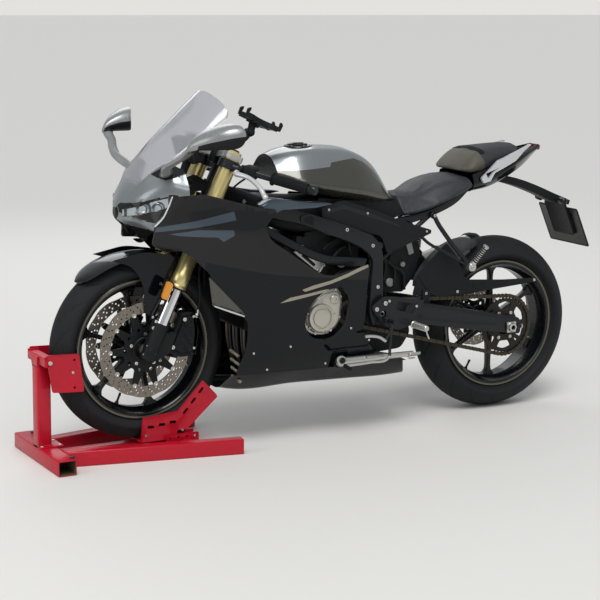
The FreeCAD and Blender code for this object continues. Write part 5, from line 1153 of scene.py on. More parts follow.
def filler_lid():
    """Hinged lid of the filler and the bolts round it."""
    lid = Shape()
    lid.spun([(979.4, 0.4), (979.4, 31), (981, 32), (984, 32), (985.4, 30), (985.4, 23), (984.2, 22),
              (984.2, 12), (986, 11), (986, 0.4)], FILLER, (0, 0, 1), sides=48)
    lid.plate(oblong(782, 818, -6, 6, 4, 3), 985, 987.6, lay=from_above)
    lid.spun([(-12, 0.3), (-12, 3), (12, 3), (12, 0.3)], (832, 0, 982.3), sides=14)
    piece("filler_lid_dressed", lid, "filler_cap", "cap_metal", ["cap_metal"], ["filler_lid"], bevel=0.5)
    for k in range(6):
        a = math.radians(60 * k + 30)
        bolt("chassis", (FILLER[0] + 41 * math.cos(a), 41 * math.sin(a), 979.8), (0, 0, 1), 2.6)


def shoulder_panels():
    """Blue-grey panels beside the tank's front, dark below."""
    panels = Shape()
    outline = rounded([(1048, 811, 6), (1004, 834, 16), (950, 826, 20), (880, 813, 20), (800, 808, 12),
                       (776, 804, 6), (838, 794, 10), (980, 792, 6), (1000, 783, 4), (1034, 788, 6)], 8, 4)
    rows = [[(x, y, z) for x, z in shrunk(outline, by)] for y, by in ((168, 2), (170, 0), (196, 0),
            (202, 1.2), (206.4, 3.6), (208.6, 7.5))]
    panels.skin(rows).twin()
    panels.marks = (panels.middles()[:, 2] < 800).astype(int).tolist()
    piece("shoulder_panels_dressed", panels, "chassis", "gloss_black", ["paint_slate", "paint_dusk"],
          ["shoulder_panels"], bevel=3.0)


# Seats and tail

def seat_shape(rows, count, crown):
    """Cushion hull: x, low half width, low z, side half width, side z, top half width, top z."""
    out = []
    for x, low_w, low, side_w, side, top_w, top in rows:
        run = [(0, low), (low_w, low, 6), (side_w, side, 10), (top_w, top - 6, 16), (0, top + crown)]
        out.append((x, run))
    return Shape().skin(half_hull(out, 14, 5, count))


RIDER_ROWS = ((450, 100, 729, 128, 742, 70, 808), (388, 108, 738, 140, 752, 90, 803),
              (300, 112, 762, 146, 778, 104, 838), (214, 116, 796, 138, 814, 108, 856),
              (166, 112, 817, 128, 828, 96, 862))
PILLION_ROWS = ((198, 70, 874, 84, 880, 60, 886), (170, 96, 869, 118, 880, 90, 912),
                (130, 98, 870, 116, 898, 88, 944), (60, 90, 885.6, 108, 914, 80, 954),
                (-20, 74, 902.2, 88, 930, 62, 958), (-76, 40, 924, 50, 940, 34, 958))


STITCH_GAP = 5.0
PLUMP_FRAMES = 20  # enough for the covers to come to rest


def plump(obj, pressure, cap_mm):
    """Swell a cushion with cloth pressure, its base held, and no point moved further than the cap."""
    even = obj.modifiers.new("Remesh", "REMESH")
    even.mode, even.voxel_size = "VOXEL", 0.006
    mesh = plain_copy(obj)
    obj.modifiers.clear()
    obj.data = mesh
    start = np.empty(len(mesh.vertices) * 3)
    mesh.vertices.foreach_get("co", start)
    hold = obj.vertex_groups.new(name="base")
    hold.add([v.index for v in mesh.vertices if v.normal.z < -0.5], 1.0, "REPLACE")
    cloth = obj.modifiers.new("Cloth", "CLOTH")
    cover = cloth.settings
    cover.quality, cover.mass = 6, 0.3
    cover.tension_stiffness = cover.compression_stiffness = 12.0
    cover.bending_stiffness = 2.0
    cover.use_pressure, cover.uniform_pressure_force = True, pressure
    cover.vertex_group_mass = hold.name
    cover.effector_weights.gravity = 0.0
    cloth.collision_settings.use_collision = False
    cloth.point_cache.frame_start, cloth.point_cache.frame_end = 1, PLUMP_FRAMES
    for number in range(1, PLUMP_FRAMES + 1):
        bpy.context.scene.frame_set(number)
    swollen = plain_copy(obj)
    bpy.context.scene.frame_set(1)
    obj.modifiers.clear()
    moved = np.empty(len(swollen.vertices) * 3)
    swollen.vertices.foreach_get("co", moved)
    shift = (moved - start).reshape(-1, 3)
    far = np.linalg.norm(shift, axis=1)[:, None]
    shift *= np.minimum(1.0, cap_mm / 1000.0 / np.maximum(far, 1e-9))
    swollen.vertices.foreach_set("co", (start.reshape(-1, 3) + shift).ravel())
    obj.data = swollen
    finer = obj.modifiers.new("Finer", "SUBSURF")
    finer.levels = finer.render_levels = 1
    obj.data = plain_copy(obj)
    obj.modifiers.clear()
    obj.vertex_groups.clear()
    obj.data.polygons.foreach_set("use_smooth", [True] * len(obj.data.polygons))
    obj.data.name = obj.name


def cover_marks(obj, rule):
    """Give each face of a cushion the finish that the rule picks from its place."""
    mesh = obj.data
    middles = np.empty(len(mesh.polygons) * 3)
    mesh.polygons.foreach_get("center", middles)
    middles = middles.reshape(-1, 3) * 1000.0
    middles[:, 0] -= REAR_AXLE_X
    mesh.polygons.foreach_set("material_index",
                              rule(middles[:, 0], middles[:, 1], middles[:, 2]).astype(int))


def on_top(obj, places, over=0.0):
    """Points of a cushion's upper face above side and length positions."""
    mesh = obj.data
    tree = BVHTree.FromPolygons([v.co[:] for v in mesh.vertices],
                                [tuple(p.vertices) for p in mesh.polygons])
    out = []
    for x, y in places:
        hit = tree.ray_cast(Vector(((x + REAR_AXLE_X) / 1000.0, y / 1000.0, 2.0)), Vector((0, 0, -1)))
        if hit[0] is not None:
            out.append((np.array((x, y, hit[0].z * 1000.0 + over)), np.array(hit[1])))
    return out


def stitched(name, obj, runs):
    """Rows of stitches along runs of (x, y) places on a cushion."""
    thread = Shape().skin([[(x, y, z)
                            for y, z in rounded([(0.55, -0.3), (0.55, 0.5), (-0.55, 0.5), (-0.55, -0.3)],
                                                0.3, 2)] for x in (-1.7, -1.2, 1.2, 1.7)])
    spots = []
    for run in runs:
        pts = np.array(run, float)
        t = length_along(pts)
        found = on_top(obj, glide(t, pts, np.arange(2.0, t[-1], STITCH_GAP)), 0.3)
        for k in range(len(found) - 1):
            heading = found[k + 1][0] - found[k][0]
            if np.linalg.norm(heading) < 12:
                spots.append((found[k][0], found[k][1], unit(heading), 1.0))
    repeated(name, thread, spots, "chassis", "seam_thread")


def seats():
    """Both cushions, swollen and stitched, and the strap over the rear one."""
    for name, rows, node_name in (("rider_cushion", RIDER_ROWS, "rider_seat"),
                                  ("pillion_cushion", PILLION_ROWS, "pillion_seat")):
        slim = [(x, low_w - 2, low, side_w - 3, side, top_w - 2, top - 3)
                for x, low_w, low, side_w, side, top_w, top in rows]
        obj = piece(name, seat_shape(slim, 40, 1), "chassis", "seat_cover", ["seat_hide", "seat_olive"],
                    [node_name], angle=50)
        plump(obj, looks().cushion_pressure, 7.0)
        if node_name == "pillion_seat":
            cover_marks(obj, lambda x, y, z: x > 112 + 0.35 * (z - 900))
        if node_name == "rider_seat":
            runs = [[(440, 52 * s), (380, 66 * s), (300, 76 * s), (220, 78 * s), (186, 74 * s)]
                    for s in (1, -1)]
            runs.append([(232, -74), (226, -30), (225, 0), (226, 30), (232, 74)])
            stitched("rider_stitches", obj, runs)
        else:
            runs = [[(96, 62 * s), (40, 60 * s), (-20, 48 * s), (-62, 24 * s)] for s in (1, -1)]
            runs += [[(x, -78), (x + 3, 0), (x, 78)] for x in (126, 100)]
            stitched("pillion_stitches", obj, runs)
            strap, edges = Shape(), []
            for x in (103, 123):
                found = on_top(obj, [(x, y) for y in np.linspace(-92, 92, 30)])
                edges.append([p for p, _n in found])
            count = min(len(e) for e in edges)
            rows = [[a + (0, 0, 1.6), b + (0, 0, 1.6), b - (0, 0, 1.5), a - (0, 0, 1.5)]
                    for a, b in zip(edges[0][:count], edges[1][:count])]
            strap.skin(rows)
            piece("seat_strap", strap, "chassis", "seat_cover", ["grip_rubber"], bevel=0.5)


TAIL_ROWS = ((160, 92, 800, 118, 824, 104, 862), (80, 88, 812, 116, 846, 96, 882),
             (0, 74, 838, 104, 880, 82, 894), (-80, 50, 868, 84, 916, 60, 925),
             (-176, 18, 928, 36, 940, 24, 950))


def tail():
    """Tail unit: an open shell from below the seats to the lamp."""
    rows = []
    for x, low_w, low, side_w, side, top_w, top in TAIL_ROWS:
        outer = [(top_w, top), (side_w, side, 14), (low_w, low, 14), (-low_w, low, 14), (-side_w, side, 14),
                 (-top_w, top)]
        inner = [(-top_w + 4, top), (-side_w + 4, side, 12), (-low_w + 4, low + 4, 12),
                 (low_w - 4, low + 4, 12), (side_w - 4, side, 12), (top_w - 4, top)]
        ring = [np.array((x, y, z)) for run in (outer, inner) for y, z in rounded(run, 12, 4, closed=False)]
        rows.append(ring)
    shape = Shape().skin(drawn_out(rows, 30))
    piece("tail_cowl_dressed", shape, "chassis", "gloss_black", ["paint_dusk"], ["tail_cowl"], angle=35)


def tail_trims():
    """Light trims on the tail's sides."""
    outline = rounded([(67, 909, 4), (-96, 959, 6), (-104, 955, 4), (-60, 934, 10), (-20, 903, 10),
                       (80, 866, 6), (98, 838, 4), (128, 832, 4), (138, 850, 6)], 6, 4)
    hole = rounded([(120, 866, 6), (58, 884, 6), (88, 870, 6), (108, 846, 6)], 5, 3)
    trim = Shape().sheet(outline, lambda x, _z: glide([140, 80, 0, -80, -120], [127, 125, 113, 93, 76], x),
                         8.7, [hole], spacing=12)
    trim.twin()
    piece("tail_trims_dressed", trim, "chassis", "light_trim", ["trim_light"], ["tail_trims"], bevel=2.0)


# Frame, engine and what they carry

def beam(stations, cut=7.0, count=44):
    """Rows of a bent beam: upper and lower side-view point, outer and inner distance from the middle."""
    rows = []
    for high, low, outer, inner in stations:
        a, b = np.array(high, float), np.array(low, float)
        span = np.linalg.norm(b - a)
        line = (b - a) / span
        ring = oblong(0, span, inner, outer, cut, 3)
        rows.append([(a[0] + line[0] * u, y, a[1] + line[1] * u) for u, y in ring])
    return drawn_out(rows, count)


def shrunk(outline, by):
    """An outline drawn in towards its middle."""
    middle = np.mean(outline, axis=0)
    return np.array([p + unit(middle - p) * by for p in np.asarray(outline, float)])


def main_frame():
    """Two bent side beams with a truss below each, cross tubes and the steering head."""
    shape = Shape()
    beams = (((1128, 878), (1104, 794), 48, 14), ((1060, 852), (1050, 776), 80, 48),
             ((1000, 831), (1000, 764), 110, 84), ((940, 808), (940, 748), 136, 106),
             ((887, 787), (887, 738), 151, 121), ((750, 740), (756, 690), 159.5, 131),
             ((650, 703), (680, 660), 165.5, 139), ((590, 676), (632, 634), 163.5, 139.2),
             ((562, 640), (602, 606), 161.5, 139.3), ((552, 540), (600, 530), 160.5, 139.4),
             ((547, 450), (603, 440), 159.6, 139.6), ((534, 404), (600, 400), 158.6, 139.8),
             ((530, 386), (594, 384), 158, 140), ((536, 374), (590, 374), 157, 141))
    truss = (((1040, 768), (1045, 742), 97, 64), ((960, 722), (964, 690), 116, 92),
             ((880, 675), (884, 646), 135, 121), ((760, 622), (766, 594), 144, 130),
             ((662, 610), (668, 580), 150, 138), ((612, 604), (622, 576), 151, 139.5))
    shape.skin(beam(beams, count=70))
    shape.skin(beam(truss, 5, 36))
    shape.twin()
    shape.spun([(500.4, 16), (500.4, 31), (503, 33), (518, 33), (521, 31.5), (652, 31.5), (655, 33),
                (669, 33), (671.6, 31), (671.6, 16)], STEM_FOOT, FORK_UP, sides=40)
    shape.plate(rounded([(1118, 862), (1098, 800), (1010, 770), (1000, 815)], 8), -30, 30)
    shape.pipe([(558, -141, 640), (558, 141, 640)], 14, 20)
    shape.pipe([(640, -141, 655), (640, 141, 655)], 12, 20)
    shape.pipe([(640, 0, 655), (640, 0, 793)], 10, 16)
    panel = rounded([(866, 756, 8), (838, 762, 8), (744, 716, 8), (763, 697, 8), (862, 744, 8)], 8, 3)
    ring = rounded([(876, 762, 10), (838, 769, 10), (730, 716, 10), (760, 690, 10), (872, 742, 10)], 8, 3)
    for side in (1, -1):
        shape.plate(ring, 155.5 * side, 159.6 * side, [panel])
        shape.plate(panel, 155 * side, 157.6 * side, mark=1)
        shape.spun([(155, 26), (161, 26), (163, 24), (163, 15), (161, 14), (161, 12)], SPINDLE,
                   (0, side, 0), sides=30)
        shape.spun([(163, 12.4), (165, 11), (165, 7), (162, 6.2)], SPINDLE, (0, side, 0), sides=6, mark=2)
        for x, z, y in ((598, 648, 162), (575, 505, 161), (567, 440, 160), (700, 708, 162), (965, 776, 126),
                        (1048, 812, 88)):
            bolt("chassis", (x, y * side, z), (0.1, side, 0), 6.5)
    piece("main_frame_dressed", shape, "chassis", "black_frame",
          ["frame_black", "cast_black", "bolt_steel"], ["main_frame"], angle=38)


def subframe():
    """Seat rails with their struts and cross tubes."""
    rails = Shape()
    run = (((612, 673), (612, 653), 110, 94), ((575, 690), (575, 665), 110, 93),
           ((450, 728), (455, 699), 110, 92), ((388, 737), (388, 711), 110, 92),
           ((300, 761), (300, 735), 110, 92), ((214, 795), (214, 768), 98, 83),
           ((160, 816), (158, 806), 88, 74), ((80, 837), (80, 820), 80, 66),
           ((-18, 867), (-18, 853), 62, 50))
    rails.skin(beam(run, 4, 40))
    rails.pipe([(566, 102, 560), (330, 102, 732)], 8.5, 16)
    for x, z in ((601, 662), (567, 560)):
        rails.plate(oblong(x - 11, x + 11, z - 10, z + 10, 3, 2), 102, 139)
    rails.twin()
    for x, y, z in ((562, 93, 680), (310, 93, 746), (30, 57, 851)):
        rails.pipe([(x, -y, z), (x, y, z)], 8, 16)
    piece("subframe_dressed", rails, "chassis", "black_frame", ["frame_black"], ["subframe"])


def side_covers():
    """Flat covers below the tank and seat."""
    outline = rounded([(785, 753.3, 4), (786, 782, 6), (705, 806, 20), (584, 766, 20), (478, 724, 20),
                       (352, 684, 6), (352, 672, 6), (527, 612, 12), (538, 640, 10), (552, 674, 20),
                       (640, 700.6, 4)], 10, 4)
    line = rounded([(770, 772), (705, 790), (590, 752), (490, 712), (470, 700), (590, 738), (705, 776),
                    (766, 762)], 2, 2)
    shape = Shape().sheet(outline, lambda x, z: 142.0 + 2.0 * np.clip((z - 640) / 60, 0, 1), 18.0, [],
                          [(line, 1)], 16)
    shape.twin()
    piece("side_covers_dressed", shape, "chassis", "matte_black", ["plastic_black", "paint_dusk"],
          ["frame_side_covers"], bevel=1.6)
    for x, z in ((760, 776), (610, 756), (372, 680)):
        bolts_both("chassis", (x, 144.2, z), (0, 1, 0), 4.2)


def engine_covers():
    """Generator cover on the left and clutch cover on the right."""
    covers = Shape()
    outline = rounded([(738, 518, 14), (722, 483, 12), (730, 396, 40), (780, 358, 40), (846, 366, 34),
                       (878, 412, 40), (853, 476, 30), (800, 512, 30)], 20, 6)
    rows = [[(x, y, z) for x, z in shrunk(outline, by)] for y, by in ((112.4, 0), (174, 0), (177, 1.2),
            (178, 3.5), (178, 8.5), (184, 10), (187, 12.5), (188.3, 17), (188.3, 30))]
    covers.skin(rows)
    covers.spun([(178, 49), (192, 47.5), (198, 45), (200, 41), (200, 37.5), (195, 35.5), (195, 31),
                 (199, 29), (199.6, 25), (199.6, 0.4)], (812, 0, 424), sides=56)
    covers.spun([(178, 17.5), (192, 16), (194.4, 13), (194.4, 6.5), (191, 5.5), (191, 0.3)], (760, 0, 482),
                sides=28)
    for a in (20, 95, 170, 245, 320):
        t = math.radians(a)
        covers.pipe([wheel_point(812, 424, r, t, 187.5) for r in (46, 62)], [3.5, 1.5], 8)
    flange = shrunk(outline, 6.0)
    for share in (0.02, 0.15, 0.28, 0.40, 0.52, 0.64, 0.77, 0.89):
        x, z = flange[int(share * len(flange))]
        bolt("chassis", (x, 178.6, z), (0, 1, 0), 4.6)
    covers.spun([(112.4, 84), (140, 84), (147, 80), (150, 74), (150, 62), (158, 60), (164, 57), (166, 51),
                 (166, 36), (163, 34), (163, 0.4)], (790, 0, 395), (0, -1, 0), sides=64)
    for k in range(9):
        t = 2 * math.pi * k / 9
        bolt("chassis", wheel_point(790, 395, 76, t, -150.4), (0, -1, 0), 4.6)
    piece("engine_covers_dressed", covers, "chassis", "cover_alloy", ["cover_alloy"], ["engine_covers"],
          angle=34)


def cylinder_covers():
    """Silver covers beside the cylinders and dark shields behind them."""
    sides = Shape()
    bar = rounded([(763, 593, 6), (852, 664, 8), (884, 640, 8), (784, 562, 8)], 6, 3)
    band = rounded([(800, 594, 4), (846, 632, 4), (854, 625, 4), (806, 586, 4)], 4, 3)
    case = rounded([(742, 562, 8), (840, 676, 10), (980, 640, 14), (950, 500, 10), (800, 520, 16)], 10, 4)
    for side in (1, -1):
        sides.plate(case, 112.4 * side, 117 * side, mark=1)
        sides.plate(bar, 117 * side, 130 * side)
        sides.plate(band, 130 * side, 131.2 * side, mark=1)
        sides.spun([(117, 17), (124, 17), (126, 14), (126, 8), (123, 7), (123, 0.4)], (918, 0, 596),
                   (0, side, 0), sides=28)
        sides.spun([(117, 11), (122, 11), (123, 9), (123, 0.4)], (876, 0, 560), (0, side, 0), sides=24,
                   mark=2)
        for x, z in ((768, 588), (850, 654), (872, 640), (790, 572)):
            bolt("chassis", (x, 130.4 * side, z), (0, side, 0), 4.2)
        sides.plate(rounded([(700, 500, 10), (612, 512, 10), (606, 470, 10), (640, 382, 20),
                             (700, 384, 10)], 8, 4), 81 * side, 92 * side if side == -1 else 84, mark=1)
    piece("cylinder_covers", sides, "chassis", "engine_alloy", ["alloy_silver", "cast_black", "dark_bolt"],
          bevel=1.2)


def airbox_and_hoses():
    """Air box, hoses, and shields inside the frame that close the view through it: dark plates that are
    painted shade for the frame's shaded inside.
    """
    box = Shape()
    rows = []
    for x, half, low, high in ((664, 84, 716, 788), (700, 98, 702, 800), (800, 102, 698, 806),
                               (880, 98, 704, 812), (950, 74, 724, 820), (975, 50, 745, 812)):
        rows.append([(x, y, z) for y, z in rounded([(half, low), (half, high), (-half, high), (-half, low)],
                                                   18, 4)])
    box.skin(drawn_out(rows, 20))
    # dark plate inside the frame: painted shade that closes the view through it
    shade_plate_outline = rounded([(616, 520, 10), (742, 505, 10), (760, 560, 10), (828, 696, 10), (670, 712, 10),
                             (614, 650, 10)], 10, 3)
    for side in (1, -1):
        box.plate(shade_plate_outline, 92 * side, 95 * side)
        box.plate(rounded([(985, 280, 10), (1010, 420, 10), (1018, 640, 10), (1010, 740, 10),
                           (960, 700, 10), (952, 300, 10)], 10, 3), 100 * side, 102 * side)
        for a, b, c, r in (((628, 104, 640), (690, 112, 640), (740, 118, 592), 7),
                           ((640, 110, 560), (700, 116, 556), (746, 112, 520), 9),
                           ((660, 120, 690), (668, 124, 640), (652, 122, 596), 5),
                           ((700, 104, 676), (740, 116, 660), (768, 120, 640), 5)):
            box.pipe([(x, y * side, z) for x, y, z in (a, b, c)], r, 12, 10, mark=1)
        box.spun([(96, 18), (112, 18), (115, 15), (115, 0.4)], (690, 0, 588), (0, side, 0), sides=28,
                 mark=2)
        box.plate(rounded([(780, 762, 8), (780, 812, 8), (640, 796, 20), (470, 786, 10), (440, 740, 10),
                           (560, 706, 10), (600, 640, 10), (668, 640, 10), (680, 720, 20)], 8, 3),
                  104 * side, 107 * side)
        box.plate(rounded([(560, 700, 10), (556, 470, 10), (420, 462, 10), (372, 520, 16), (352, 600, 10),
                           (372, 676, 10)], 12, 4), 70 * side, 74 * side)
        for k, (x, z) in enumerate(((540, 660), (505, 640), (470, 622))):
            box.pipe([(x, 80 * side, z), (x - 10 + 12 * k, 90 * side, z - 50), (x - 40, 88 * side, z - 92),
                      (x - 34 - 8 * k, 84 * side, z - 150)], 5.5, 10, 20, mark=1)
        box.plate(rounded([(650, 440, 10), (650, 262, 12), (560, 258, 12), (430, 266, 16), (392, 320, 16),
                           (420, 400, 10), (560, 424, 10)], 12, 4), 80 * side, 84 * side)
        box.spun([(84, 44), (87, 44), (89, 41), (89, 30), (86, 28), (86, 0.4)], (600, 0, 346), (0, side, 0),
                 sides=40, mark=1)
        for x, z in ((560, 318), (470, 330), (500, 372)):
            box.spun([(84, 7), (88, 7), (89, 5), (89, 0.4)], (x, 0, z), (0, side, 0), sides=6, mark=2)
        box.spun([(74, 16), (84, 16), (86, 13), (86, 0.4)], (478, 0, 500), (0, side, 0), sides=24, mark=2)
        box.spun([(74, 10), (82, 10), (84, 8), (84, 0.4)], (426, 0, 560), (0, side, 0), sides=20, mark=2)
        box.plate(rounded([(392, 640, 4), (380, 596, 4), (400, 590, 4), (414, 634, 4)], 4, 3), 74 * side,
                  79 * side, mark=2)
    piece("airbox_and_hoses", box, "chassis", "matte_black",
          ["plastic_black", "hose_rubber", "engine_alloy"])


def radiator():
    """Fins, end tanks, brackets and hoses of the radiator."""
    fin = Shape().plate(oblong(-17, 17, -148, 148, 0.5, 1), -0.5, 0.5,
                        lay=from_above)
    spots = [((1053, 0, 404 + 4.0 * k), (0, 0, 1), (1, 0, 0), 1.0) for k in range(62)]
    repeated("radiator_fins", fin, spots, "chassis", "core_black")
    cooler = Shape()
    for side in (1, -1):
        cooler.plate(oblong(1033, 1073, 394, 656, 8, 3), 146 * side, 166 * side)
        cooler.plate(oblong(986, 1036, 560, 580, 3, 2), 51 * side, 63 * side)
        for y in (60, 118):
            cooler.pipe([(1053, y * side, 403), (1053, y * side, 649)], 3.2, 8)
    cooler.plate(oblong(1036, 1070, -150, 150, 3, 2), 396, 402, lay=from_above)
    cooler.plate(oblong(1036, 1070, -150, 150, 3, 2), 650, 656, lay=from_above)
    cooler.pipe([(1040, 100, 640), (1010, 96, 660), (985, 70, 640)], 14, 16, 14, mark=1)
    cooler.pipe([(1040, -120, 420), (1012, -118, 400), (992, -100, 380)], 13, 16, 14, mark=1)
    piece("radiator_dressed", cooler, "chassis", "radiator_core", ["core_black", "hose_rubber"],
          ["radiator"], bevel=0.8)


def exhaust():
    """Four header pipes, collector and the pipe to the silencer."""
    pipes = Shape()
    for y in (-84, -30, 30, 84):
        pipes.pipe([(988, y, 600), (1004, y, 596), (1012.5, y, 575), (1013, y, 430), (1006, y * 0.97, 290),
                    (990, y * 0.9, 236), (958, y * 0.8, 213)], 15, 20, 40)
        pipes.spun([(0, 24), (6, 24), (8, 20), (8, 15)], (990, y, 599.5), (0.97, 0, -0.24), sides=24)
    rows = []
    for x, half, low, high in ((1000, 70, 202, 222), (975, 76, 194, 224), (840, 76, 194, 211),
                               (720, 74, 194, 209), (694, 60, 196, 208)):
        rows.append([(x, y, z) for y, z in rounded([(half, low), (half, high), (-half, high), (-half, low)],
                                                   7, 3)])
    pipes.skin(drawn_out(rows, 24))
    pipes.pipe([(720, -60, 206), (660, -75, 222), (605, -118, 282), (545, -160, 306), (440, -188, 312),
                (345, -198, 385), (300, -200, 449), (238, -200, 467.4)], 20, 24, 60)
    piece("exhaust_dressed", pipes, "chassis", "header_steel", ["header_steel"], ["exhaust"], angle=50)


def silencer():
    """Round silencer on the right with its bands, end cap and bolts."""
    front, back = np.array((236.0, -200, 468)), np.array((-84.0, -200, 562))
    line = unit(back - front)
    length = float(np.linalg.norm(back - front))
    can = Shape()
    can.spun([(2, 20.5), (2, 25), (8, 25.5), (60, 50), (62, 52), (74, 52)], front, line, sides=56, mark=1)
    can.spun([(74, 51), (76, 50.6), (length - 40, 50.6), (length - 38, 51)], front, line, sides=56)
    can.spun([(length - 40, 52), (length - 26, 52), (length - 23, 51), (length - 2, 41), (length, 38.5),
              (length, 30), (length - 3, 27), (length - 90, 26), (length - 90, 0.5)], front, line, sides=56,
             mark=1)
    for at in (66, 150, length - 46):
        can.spun([(at, 50.6), (at, 53.4), (at + 1.5, 54), (at + 9.5, 54), (at + 11, 53.4), (at + 11, 50.6)],
                 front, line, sides=56, mark=1)
    can.plate(rounded([(196, 566, 8), (172, 522, 8), (196, 508, 8), (218, 556, 8)], 6, 4), -206, -196,
              mark=1)
    bolt("chassis", (196, -206.4, 556), (0, -1, 0), 7)
    for k in range(3):
        t = 2 * math.pi * k / 3 + 0.6
        across = unit(np.cross(line, (0, 1, 0)))
        spot = front + line * (length + 0.2) + (across * math.cos(t) + np.array((0, 1, 0))
                                                * math.sin(t)) * 34
        bolt("chassis", spot, line, 3.2)
    piece("silencer_dressed", can, "chassis", "silencer_steel", ["silencer_steel", "plastic_black"],
          ["silencer"], angle=40)


# Rear suspension and drive

def swingarm():
    """Swingarm with its pivot and chain adjusters."""
    shape = Shape()
    side = rounded([(470, 446, 20), (326, 420, 60), (136, 380, 60), (-40, 342, 12), (-48, 310, 10),
                    (-44, 282, 12), (198, 320, 60), (379, 354, 20), (520, 376, 20), (560, 384, 20),
                    (588, 412, 24), (560, 438, 20)], 14, 5)
    rib = rounded([(440, 428, 10), (300, 402, 40), (150, 368, 30), (60, 350, 10), (60, 324, 10),
                   (198, 340, 40), (400, 376, 20), (452, 392, 10)], 10, 4)
    for s in (1, -1):
        rows = [[(x, y * s, z) for x, z in shrunk(side, by)] for y, by in ((111, 3), (112, 1.2), (114.5, 0),
                (132, 0), (135, 1.2), (137, 4))]
        shape.skin(rows)
        shape.plate(rib, 136.8 * s, 138 * s)
        shape.spun([(136.6, 20), (139, 20), (140, 18), (140, 11), (138, 10.5)], SPINDLE, (0, s, 0),
                   sides=30)
        shape.plate(rounded([(-30, 294), (24, 300), (24, 330), (-30, 326)], 4, 3), 137 * s, 139.6 * s,
                    mark=1)
        block = oblong(-19, 19, 293, 331, 4, 3)
        shape.plate(block, 137 * s, 143.5 * s, [circle(0, 312, 14.4, 24)], mark=2)
        shape.pipe([(-19, 128 * s, 312), (-44, 128 * s, 310), (-57, 128 * s, 309)], 5, 10, mark=3)
        shape.spun([(0, 9), (5, 9), (6, 7), (6, 5)], (-50, 128 * s, 309.6), (-1, 0, 0), sides=6, mark=3)
    bridge = oblong(432, 498, 356, 418, 10)
    shape.skin([[(x, y, z) for x, z in bridge] for y in (-111.5, 111.5)])
    shape.pipe([(560, -111.5, 412), (560, 111.5, 412)], 20, 28)
    shape.plate(rounded([(500, 412), (500, 362), (548, 396), (548, 428)], 4, 3), -60, 60)
    shape.spun([(-170, 6.4), (-170, 11), (170, 11), (170, 6.4)], SPINDLE, sides=24, mark=3)
    piece("swingarm_dressed", shape, "chassis", "black_frame", ["frame_black", "cast_black", "alloy_silver",
            "bolt_steel"], ["swingarm"], bevel=0.8)


def rear_axle():
    """Hollow rear axle with its nuts and spacers."""
    axle = Shape()
    axle.spun([(-146, 8.2), (-146, 13.8), (146, 13.8), (146, 8.2)], REAR_AXLE, sides=32)
    for s in (1, -1):
        axle.spun([(143.6, 14), (143.6, 17), (145, 18), (146.4, 18), (147.4, 17)], REAR_AXLE, (0, s, 0),
                  sides=36)
        axle.spun([(147.4, 14.2), (147.4, 16.5), (153.4, 16.5), (155.4, 15), (155.4, 9.5), (150, 8.4)],
                  REAR_AXLE, (0, s, 0), sides=6)
        axle.spun([(82.3, 15), (82.3, 20), (110.9, 20), (110.9, 15)], REAR_AXLE, (0, s, 0), sides=28)
    piece("rear_axle_dressed", axle, "chassis", "bare_steel", ["alloy_silver"], ["rear_axle"], angle=30)


def spring_tree():
    """Coil spring along +Z."""
    tree, given = new_tree("Coil spring", Coil_Radius=0.029, Wire_Radius=0.0055, Turns=7.5, Length=0.15,
                           Finish="Material")
    coil = node(tree, "GeometryNodeCurveSpiral", {
        "Resolution": 36, "Rotations": given["Turns"], "Start Radius": given["Coil Radius"],
        "End Radius": given["Coil Radius"], "Height": given["Length"]})
    wire = node(tree, "GeometryNodeCurvePrimitiveCircle",
                {"Resolution": 14, "Radius": given["Wire Radius"]})
    skin = node(tree, "GeometryNodeCurveToMesh", {
        "Curve": coil.outputs["Curve"], "Profile Curve": wire.outputs["Curve"], "Fill Caps": True})
    return end_tree(tree, skin.outputs["Mesh"], given["Finish"])


def rear_shock():
    """Shock absorber between swingarm and frame, its spring wound by Geometry Nodes."""
    low, top = np.array((474.0, 0, 418)), np.array((558.0, 0, 640))
    line = unit(top - low)
    length = float(np.linalg.norm(top - low))
    shape = Shape()
    shape.spun([(1, 0.5), (1, 11), (6, 12), (18, 12), (20, 34), (25, 35), (26, 33), (26, 13), (120, 12),
                (122, 17), (length - 62, 17), (length - 58, 33), (length - 40, 35), (length - 36, 32),
                (length - 34, 20), (length - 15, 18), (length - 15, 0.5)], low, line, sides=36)
    shape.pipe([(508, 26, 520), (492, 40, 560), (500, 44, 610)], [13, 16, 15], 20, 12, mark=1)
    piece("rear_shock_dressed", shape, "chassis", "bare_steel", ["cast_black", "alloy_silver"],
          ["rear_shock"])
    spring = grown("rear_spring", bpy.data.meshes.new("rear_spring"), "spring", Coil_Radius=0.0285,
                   Wire_Radius=0.0048, Turns=looks().spring_turns, Length=0.148,
                   Finish=FINISH["frame_black"])
    turn = Vector((0, 0, 1)).rotation_difference(Vector(line)).to_matrix().to_4x4()
    seat = Vector(in_metres([low + line * 27])[0])
    spring.data.transform(Matrix.Translation(seat) @ turn)
    spring.data.polygons.foreach_set("use_smooth", [True] * len(spring.data.polygons))
    settled(spring, "chassis")


def pitch_radius(teeth):
    """Radius of the circle that the chain's pins run on."""
    return CHAIN_PITCH / (2 * math.sin(math.pi / teeth))


def chain_path():
    """Closed run of the chain's pins round both sprockets, in the side view, as fine steps."""
    rear, front = np.array((0.0, REAR_AXLE_Z)), np.array((652.0, 412.0))
    r_rear, r_front = pitch_radius(REAR_TEETH), pitch_radius(FRONT_TEETH)
    line = front - rear
    far = float(np.linalg.norm(line))
    tilt, lean = math.atan2(line[1], line[0]), math.acos((r_rear - r_front) / far)
    points = [front + r_front * np.array((math.cos(a), math.sin(a)))
              for a in np.linspace(tilt + lean, tilt - lean, 40)]
    points += [rear + r_rear * np.array((math.cos(a), math.sin(a)))
               for a in np.linspace(tilt - lean, tilt + lean - 2 * math.pi, 140)]
    return points


